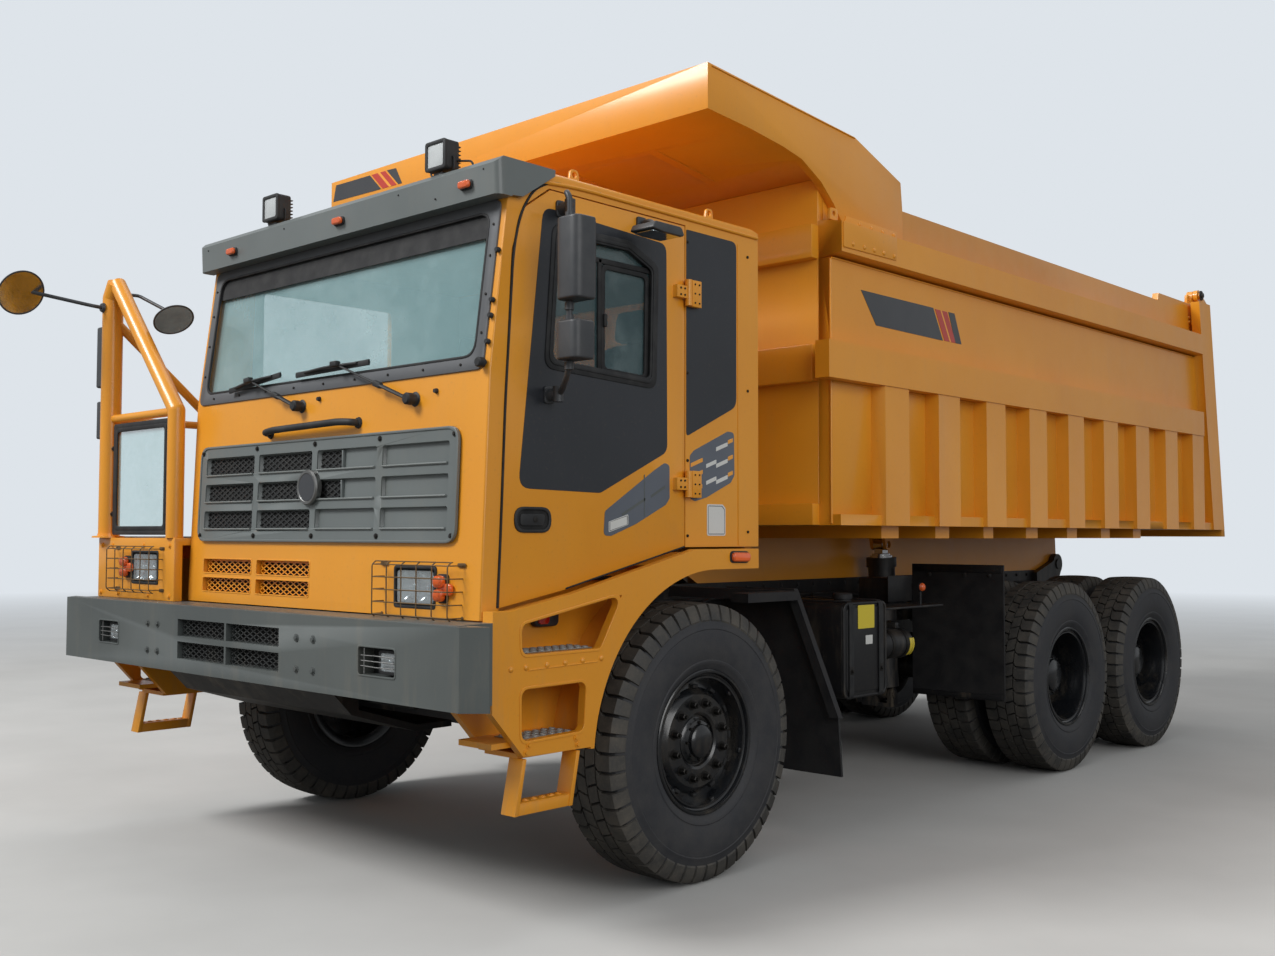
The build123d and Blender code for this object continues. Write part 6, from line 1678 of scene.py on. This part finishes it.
# slanted bands of the blank decal on the bed's side: look and its four corners
BED_BANDS = (
    ("decal_dark", ((1298, 3106), (2100, 3107), (2215, 2916), (1455, 2920))),
    ("decal_red", ((2122, 3103), (2186, 3103), (2298, 2918), (2234, 2918))),
    ("decal_orange", ((2186, 3103), (2204, 3103), (2316, 2918), (2298, 2918))),
    ("decal_red", ((2204, 3103), (2268, 3103), (2374, 2918), (2316, 2918))),
    ("decal_dark", ((2285, 3105), (2361, 3105), (2447, 2918), (2369, 2918))),
)
FLANGE_BANDS = (
    ("decal_dark", ((-1600, 4052), (-1215, 4047), (-1090, 3934), (-1630, 3944))),
    ("decal_red", ((-1200, 4047), (-1130, 4046), (-1005, 3933), (-1075, 3934))),
    ("decal_orange", ((-1130, 4046), (-1104, 4046), (-979, 3933), (-1005, 3933))),
    ("decal_red", ((-1104, 4046), (-1050, 4045), (-925, 3932), (-979, 3933))),
    ("decal_dark", ((-1032, 4045), (-934, 4041), (-869, 3932), (-907, 3932))),
)


def bands(name, table, axis, face, proud, both=False):
    """The coloured bands of one decal, joined by colour."""
    looks = {}
    for look, corners in table:
        low, high = (face - 1, face + proud) if proud > 0 else (face + proud, face + 1)
        looks.setdefault(look, []).append(slab(list(corners), axis, low, high, 0.3, segments=1))
    for look, parts in looks.items():
        bm = joined(parts)
        if both:
            bm = both_sides(bm)
        put(f"{name}_{look.split('_')[1]}", bm, look, body="bed")


def rivets(places, direction, radius=14.0):
    """Round heads on a face."""
    turn = Vector((1, 0, 0)).rotation_difference(Vector(direction)).to_matrix()
    heads = []
    for place in places:
        head = spun([(-1, 0), (-1, radius), (4, radius * 0.9), (8, radius * 0.5), (9, 0)], (0, 0, 0), "X", 14)
        heads.append(moved(moved(head, turn=turn), place))
    return joined(heads)


def bed_pieces():
    for node in ("bed_side_left", "bed_side_right", "bed_canopy", "bed_front_wall"):
        softened(node, width=6.0, body="bed")
    softened("bed_floor", width=3.0, segments=1, body="bed")
    softened("tailgate", width=6.0, body="tailgate")
    bands("bed_decal", BED_BANDS, "X", SHEET_X, 2.0, True)
    bands("flange_decal", FLANGE_BANDS, "Y", CANOPY_FRONT, -2.0)

    outline = [(1012, 3296), (1560, 3304), (1560, 3440), (1012, 3440)]
    plate = slab(rounded(outline, 8), "X", RAIL_FACE - 1, RAIL_FACE + 7, 2)
    upper = slab([(1180, 3464), (1740, 3464), (1740, 3520), (1200, 3520)],
                 "X", UPPER_FACE - 1, UPPER_FACE + 5, 2)
    low_row = [(RAIL_FACE + 7, y, 3324) for y in (1100, 1215, 1316, 1417, 1529)]
    high_row = [(UPPER_FACE + 5, y, 3492) for y in (1337, 1460, 1583, 1705)]
    one_side = joined([plate, upper, rivets(low_row + high_row, LEFT)])
    put("canopy_joint_plates", both_sides(one_side), "paint", 40, body="bed")

    gusset = block((BED_INSIDE - 9, BED_INSIDE - 1), (1051, 1420), (3300, 3704), 2)
    put("canopy_gussets", both_sides(gusset), "paint", body="bed")

    beads = []
    for z in (3251, 2765, 2560):
        beads.append(tube([(SHEET_X + 2, 1010, z + (5 if z == 2765 else -5)),
                           (SHEET_X + 2, 6600, z + (5 if z == 2765 else -5))], 5, sides=6))
    beads.append(tube([(SHEET_X - 2, 999, 1770), (SHEET_X - 2, 999, 3240)], 7, sides=8))
    beads.append(tube([(UPPER_FACE + 2, CANOPY_FRONT + 30, 4066), (UPPER_FACE + 2, 1296, 3990)], 4, sides=6))
    one_side = joined(beads)
    put("bed_welds", both_sides(one_side), "paint", 60, body="bed")

    studs = [(UPPER_FACE + 4, y, z) for y, z in ((6480, 3560), (6540, 3560), (6480, 3600), (6540, 3600))]
    hook = slab(oblong(6470, 6560, 3722, 3800, (2, 2, 26, 26)), "X", UPPER_FACE - 30, UPPER_FACE - 8, 4,
                [[(6515 + 17 * cos(a), 3764 + 17 * sin(a)) for a in (2 * pi * k / 20 for k in range(20))]])
    front_hook = slab(oblong(1000, 1076, 3462, 3530, (2, 2, 22, 22)), "X", UPPER_FACE + 12, UPPER_FACE + 32,
                      4, [[(1038 + 14 * cos(a), 3500 + 14 * sin(a))
                           for a in (2 * pi * k / 20 for k in range(20))]])
    one_side = joined([rivets(studs, LEFT), hook, front_hook])
    put("bed_hooks", both_sides(one_side), "paint", 40, body="bed")
    gate_dressing()


def gate_dressing():
    """Hinge bolts on the gate's arms and two rows of cross bars across it."""
    low, high = node_box("tailgate")
    caps = []
    for sign in (1, -1):
        x = sign * (UPPER_FACE + 60)
        head = spun([(0, 0), (0, 44), (8, 42), (12, 22), (22, 20), (22, 0)], (0, 0, 0), "X", 28)
        turn = None if sign > 0 else Matrix.Rotation(pi, 3, "Z")
        caps.append(moved(moved(head, turn=turn), (x, 6610, 3800)))
    put("gate_pin_caps", joined(caps), "dark_steel", 40, body="bed")
    bars = []
    for z in (2300, 2950):
        y = high.y - 50 - (z - low.z) * 0.134
        for x0, x1 in ((-1600, -1370), (-1230, -720), (-580, -70), (70, 580), (720, 1230), (1370, 1600)):
            bars.append(block((x0, x1), (y - 22, y + 10), (z - 34, z + 34), 8))
    put("gate_cross_bars", joined(bars), "paint", body="tailgate")


# ================================================================ chassis
RAIL_OUT = 470.0                                    # outer face of a frame rail
TAIL_BAR_BACK = 6465.0                              # rear face of the tail lamp bar
TANK_FACE = 1440.0
TANK_Y = (1480.0, 1947.0)
TANK_Z = (737.0, 1306.0)


def tank_pieces():
    """Fuel tank with rounded corners and swaged ends, its straps, filler and blank labels."""
    outline = rectangle(TANK_Y[0], TANK_Y[1], TANK_Z[0], TANK_Z[1])
    body = slab(rounded(outline, 58, 8), "X", 850, TANK_FACE - 6, 16, segments=4)
    swage = slab(rounded(outline, 58, 8), "X", TANK_FACE - 12, TANK_FACE, 5,
                 [rounded(ring_of(outline, 16), 46, 8)], 3)
    panel = slab(rounded(ring_of(outline, 34), 40, 8), "X", TANK_FACE - 9, TANK_FACE - 1, 6, segments=3)
    hangers = [block((RAIL_OUT, 852), (y, y + 46), (1092, 1314), 5) for y in (1530, 1850)]
    put("fuel_tank_body", joined([body, swage, panel] + hangers), "black", 40, ("fuel_tank",))
    straps, lugs = [], []
    for y in (1530, 1850):
        band = oblong(842, 1448, 729, 1314, 40)
        inner = oblong(849, 1441, 736, 1307, 34)
        straps.append(slab(band, "Y", y, y + 46, 2, [inner]))
        lugs.append(bolt((1449, y + 23, 900), LEFT, 18, 12))
        lugs.append(block((1441, 1450), (y + 4, y + 42), (880, 930), 3))
    put("tank_straps", joined(straps), "matt")
    put("tank_strap_bolts", joined(lugs), "dark_steel")
    cap = spun([(0, 0), (0, 52), (16, 52), (18, 60), (44, 60), (52, 52), (52, 0)],
               (1290, 1690, TANK_Z[1] - 4), "Z", 36)
    put("fuel_filler_cap", cap, "matt", 40)
    label = rectangle(1630, 1806, 1146, 1286)
    put("tank_label", side_film(label, 6, 2.0, face=TANK_FACE), "decal_yellow")
    small = rectangle(1712, 1786, 1050, 1104)
    put("tank_label_small", side_film(small, 4, 2.0, face=TANK_FACE), "decal_white")


def air_tank(x, y0, y1, z, radius=92.0):
    """Air tank with domed ends, weld seams and two band clamps."""
    half = y1 - y0
    profile = [(-30, 0), (-29, 26), (-24, 52), (-12, 76), (2, radius - 4), (14, radius), (half - 14, radius),
               (half - 2, radius - 4), (half + 12, 76), (half + 24, 52), (half + 29, 26), (half + 30, 0)]
    shell = spun(profile, (x, y0, z), "Y", 48)
    seams = [turned([(-4, radius - 2), (0, radius + 2), (4, radius - 2)], (x, y, z), "Y", 48)
             for y in (y0 + 16, y1 - 16)]
    clamps = [turned([(0, radius - 1), (0, radius + 3), (36, radius + 3), (36, radius - 1)], (x, y, z),
                     "Y", 48) for y in (2082, 2242)]
    plug = spun([(0, 0), (0, 16), (-14, 16), (-20, 12), (-20, 0)], (x, y0 - 28, z), "Y", 12)
    return joined([shell, plug] + seams), joined(clamps)


def air_pieces():
    near, near_clamps = air_tank(1310, 1990, 2330, 1018)
    far, far_clamps = air_tank(1040, 1990, 2630, 1040)
    arms = [block((RAIL_OUT, 1320), (y, y + 40), (1112, 1148), 4) for y in (2080, 2240)]
    put("air_tank_shells", joined([near, far] + arms), "black", 40, ("air_tanks",))
    put("air_tank_clamps", joined([near_clamps, far_clamps]), "dark_steel", 40)
    band = turned([(0, 90), (0, 93), (74, 93), (74, 90)], (1310, 2260, 1018), "Y", 48)
    for face in list(band.faces):                   # the label covers only the outer lower part
        centre = face.calc_center_median()
        if centre.x < 1362 or centre.z > 1050:
            band.faces.remove(face)
    put("air_tank_label", band, "decal_yellow", 60)
    shelf = joined([block((850, 1380), (1990, 2740), (1238, 1252), 4),
                    block((RAIL_OUT, 852), (2080, 2120), (1200, 1240), 4),
                    block((RAIL_OUT, 852), (2600, 2640), (1200, 1240), 4),
                    block((860, 1100), (2520, 2760), (1252, 1420), 10),
                    block((1098, 1106), (2500, 2800), (1262, 1436), 3)])
    put("side_shelf", shelf, "black")
    lamp = spun([(0, 0), (0, 26), (10, 27), (22, 20), (28, 0)], (1320, 2560, 1366), "X", 24)
    put("shelf_marker", lamp, "amber", 60)
    stem = joined([tube([(1312, 2560, 1250), (1312, 2560, 1366)], 8, sides=10),
                   spun([(-8, 0), (-8, 30), (1, 30), (1, 0)], (1320, 2560, 1366), "X", 24)])
    put("shelf_marker_stem", stem, "matt", 40)


def hose(points, radius=11.0, bend=90.0):
    return tube(points, radius, bend, 10)


def plumbing():
    """Air lines and cables that run along the rails, clipped to them."""
    runs = []
    for sign in (1, -1):
        for row, z in enumerate((1180, 1206, 1232, 1300)):
            x = sign * (RAIL_OUT + 14)
            runs.append(hose([(x, 300, z), (x, 2900, z), (x + sign * 16, 3100, z - 30),
                              (x + sign * 16, 3700, z - 30), (x, 3900, z), (x, 6200, z)], 8 + row % 2 * 3))
        runs.append(hose([(sign * 480, 1200, 1240), (sign * 620, 1320, 1330), (sign * 780, 1440, 1345),
                          (sign * 900, 1560, 1318)]))
        runs.append(hose([(sign * 484, 2500, 1300), (sign * 560, 2440, 1250), (sign * 760, 2300, 1190),
                          (sign * 980, 2200, 1120)]))
        runs.append(hose([(sign * 484, 800, 1300), (sign * 640, 760, 1400), (sign * 820, 620, 1420),
                          (sign * 900, 420, 1400), (sign * 700, 200, 1300), (sign * 500, 100, 1230)],
                         14, 160))
    put("rail_hoses", joined(runs), "seal", 60)
    clips = []
    for sign in (1, -1):
        for y in range(500, 6200, 420):
            x = (sign * RAIL_OUT, sign * (RAIL_OUT
                                          + 30)) if sign > 0 else (sign * (RAIL_OUT + 30), sign * RAIL_OUT)
            clips.append(block(x, (y, y + 22), (1166, 1246), 4))
    put("hose_clips", joined(clips), "matt")


def frame_bolts():
    """Bolt rows of the rails and the flap boards, and strips on the boards."""
    heads, strips = [], []
    for sign in (1, -1):
        for y in range(460, 6240, 190):
            heads += [bolt((sign * RAIL_OUT, y, z), (sign, 0, 0), 22, 12) for z in (1096, 1364)]
        heads += [bolt((sign * x, 3345, 1428), FORWARD, 20, 10) for x in (925, 1206, 1398)]
        heads += [bolt((sign * x, 1080, 1372), FORWARD, 18, 9) for x in (960, 1140, 1320)]
        x = (790, 1490) if sign > 0 else (-1490, -790)
        strips += [block(x, (3337, 3346), (1446, 1494), 3), block(x, (3338, 3346), (566, 600), 3)]
    put("chassis_bolts", joined(heads), "cast")
    put("board_strips", joined(strips), "black")


def brake_chambers():
    """Spring brake chambers at each driven axle."""
    profile = [(0, 0), (0, 60), (10, 74), (62, 78),
               (66, 84), (78, 84), (82, 78), (150, 74), (176, 50), (180, 0)]
    cans, rings = [], []
    for y in (MID_AXLE, REAR_AXLE):
        for sign in (1, -1):
            x = sign * 600
            place = (x, y - 330, 900)
            cans.append(spun(profile, place, "Y", 36))
            cans.append(tube([(x, y - 150, 900), (x, y - 60, 880)], 12, sides=10))
            rings.append(turned([(62, 76), (62, 90), (82, 90), (82, 76)], place, "Y", 36))
            cans.append(hose([(x, y - 320, 960), (sign * 590, y - 360, 1080), (sign * 500, y - 300, 1190)],
                             9))
    put("brake_chambers", joined(cans), "black", 40)
    put("brake_chamber_bands", joined(rings), "steel", 40)


def tail_pieces():
    """Lenses of the two tail lamps, their cases and the bar's bolts."""
    lamps = (-700, 700)
    for look, parts in (("red", ((-165, -70), (70, 165))), ("amber", ((-60, 10),)), ("lens", ((16, 64),))):
        shapes = [slab(oblong(c + a, c + b, 1018, 1102, 12), "Y", TAIL_BAR_BACK - 2, TAIL_BAR_BACK + 10, 4,
                       segments=3) for c in lamps for a, b in parts]
        put("tail_lenses_" + look, joined(shapes), look, 40)
    cases = [block((c - 176, c + 176), (TAIL_BAR_BACK - 40, TAIL_BAR_BACK - 1), (1004, 1116), 8)
             for c in lamps]
    put("tail_lamp_cases", joined(cases), "matt")
    heads = [bolt((x, 6430, z), (0, 1, 0), 22, 12) for x in (-440, -380, 380, 440) for z in (1024, 1096)]
    put("tail_bolts", joined(heads), "dark_steel")


def battery_pieces():
    """Battery box with its lid, latches and grip steps on the right."""
    x0, x1 = -1440, -760
    body = slab(oblong(1500, 2300, 780, 1290, 18), "X", x0 + 4, x1, 8)
    lid = slab(oblong(1494, 2306, 1236, 1292, 10), "X", x0, x1 + 2, 5)
    steps_ = [block((x0, x0 + 10), (1540, 2260), (z, z + 22), 4) for z in (860, 960, 1060, 1160)]
    hangers = [block((x1 - 2, -RAIL_OUT), (y, y + 50), (1092, 1288), 5) for y in (1600, 2150)]
    put("battery_box_body", joined([body, lid] + steps_ + hangers), "black", 40, ("battery_box",))
    latches = [block((x0 - 8, x0 + 2), (y, y + 34), (1190, 1262), 3) for y in (1640, 2120)]
    put("battery_latches", joined(latches), "steel")


def chassis_pieces():
    tank_pieces()
    air_pieces()
    battery_pieces()
    plumbing()
    frame_bolts()
    brake_chambers()
    tail_pieces()


# ================================================================ looks of the CAD nodes that stay
NODE_LOOKS = {
    "yellow_paint": "paint", "grey_paint": "slate", "black_paint": "black", "rim_black": "rim",
    "tyre_rubber": "sidewall", "pane_glass": "glass", "seat_cloth": "seat", "dark_plastic": "dash",
    "lamp_lens": "matt", "mirror_shell": "plastic", "flap_rubber": "flap", "engine_grey": "cast",
    "hoist_chrome": "chrome",
}


def dress_nodes():
    """Every CAD node takes its finish from its slot in the record."""
    for part in frame["record"]["subparts"]:
        node = frame["nodes"][part["node"]]
        look = {"door_window": "side_glass"}.get(part["node"], NODE_LOOKS[part["material_slot"]])
        node.data.materials.clear()
        node.data.materials.append(LOOKS[look])


# ================================================================ stage, light and camera
WORLD_LIGHT = 0.50
BACKDROP = colour(222, 228, 234)
FLOOR_FADE = (11.0, 34.0)                           # metres over which the floor turns into the backdrop
# each lamp's name, place, target, size and watts
LAMPS = (
    ("key", (-7.8, -20.3, 18.7), (0.0, -2.0, 2.0), 8.0, 5400.0),
    ("fill", (14.0, -6.0, 7.0), (1.0, 0.0, 2.0), 9.0, 640.0),
    ("top", (0.0, 2.0, 14.0), (0.0, 1.0, 2.0), 9.0, 350.0),
)
CAMERA_PLACE = Vector((5756.5, -4932.4, 1701.8))    # in millimetres, from the front axle
CAMERA_TURN = (42.99, 2.54, 0.11)                   # yaw, pitch and roll in degrees
CAMERA_LENS = 36.49                                 # on a sensor 36 mm wide


def lay_floor():
    """A pale floor that fades into the backdrop; to other rays than the camera's it is darker."""
    s = Shader("pale floor")
    tone = s.mix(s.ramp(s.noise(0.8), 0.35, 0.7), colour(198, 197, 194), colour(190, 189, 186))
    ray = s.node("ShaderNodeLightPath").outputs["Is Camera Ray"]
    s.link(s.mix(ray, colour(104, 102, 98), tone), s.shader.inputs["Base Color"])
    s.set(roughness=0.9)
    reach = s.node("ShaderNodeVectorMath", operation="LENGTH")
    s.link(s.node("ShaderNodeNewGeometry").outputs["Position"], reach.inputs[0])
    far = s.multiply(s.ramp(reach.outputs["Value"], *FLOOR_FADE), ray)
    haze = s.node("ShaderNodeEmission")
    haze.inputs["Color"].default_value = BACKDROP
    fade = s.node("ShaderNodeMixShader")
    for index, source in enumerate((far, s.shader.outputs[0], haze.outputs[0])):
        s.link(source, fade.inputs[index])
    s.link(fade.outputs[0], s.tree.nodes["Material Output"].inputs["Surface"])
    bm = bmesh.new()
    bmesh.ops.create_grid(bm, x_segments=2, y_segments=2, size=60.0)
    data = bpy.data.meshes.new("floor")
    bm.to_mesh(data)
    data.materials.append(s.material)
    floor = placed("floor", data)


def hang_backdrop():
    """The pale backdrop that the camera sees, through glass as well, and the softer light all round."""
    world = bpy.data.worlds.new("studio")
    bpy.context.scene.world = world
    world.use_nodes = True
    tree = world.node_tree
    light, shown = tree.nodes["Background"], tree.nodes.new("ShaderNodeBackground")
    for background, tone, strength in ((light, colour(228, 232, 236), WORLD_LIGHT), (shown, BACKDROP, 1.0)):
        background.inputs["Color"].default_value = tone
        background.inputs["Strength"].default_value = strength
    ray, seen = tree.nodes.new("ShaderNodeLightPath"), tree.nodes.new("ShaderNodeMath")
    seen.operation = "MAXIMUM"
    mix = tree.nodes.new("ShaderNodeMixShader")
    for source, target in (
            (ray.outputs["Is Camera Ray"], seen.inputs[0]),
            (ray.outputs["Is Transmission Ray"], seen.inputs[1]),
            (seen.outputs[0], mix.inputs["Fac"]),
            (light.outputs[0], mix.inputs[1]),
            (shown.outputs[0], mix.inputs[2]),
            (mix.outputs[0], tree.nodes["World Output"].inputs["Surface"])):
        tree.links.new(source, target)


def light_and_camera():
    for name, place, target, size, watts in LAMPS:
        light = bpy.data.lights.new(name, "AREA")
        light.energy = watts
        light.size = size
        lamp = placed(name, light)
        lamp.location = place
        lamp.rotation_euler = (Vector(target) - Vector(place)).to_track_quat("-Z", "Y").to_euler()

    camera = bpy.data.cameras.new("camera")
    camera.sensor_width = 36.0
    camera.lens = CAMERA_LENS
    camera.clip_end = 200.0
    yaw, pitch, roll = map(radians, CAMERA_TURN)
    look = Vector((-sin(yaw) * cos(pitch), cos(yaw) * cos(pitch), sin(pitch)))
    right = Vector((cos(yaw), sin(yaw), 0.0))
    up = right.cross(look)
    right, up = right * cos(roll) + up * sin(roll), up * cos(roll) - right * sin(roll)
    axes = Matrix((right, up, -look)).transposed()
    view = placed("camera", camera)
    view.matrix_world = Matrix.Translation(CAMERA_PLACE * MM + Vector((0, AXLE_Y, 0))) @ axes.to_4x4()
    bpy.context.scene.camera = view
    bpy.context.scene.view_settings.view_transform = "Standard"


cab_pieces()
front_pieces()
side_pieces()
wheel_pieces()
bed_pieces()
chassis_pieces()
dress_nodes()
lay_floor()
hang_backdrop()
light_and_camera()
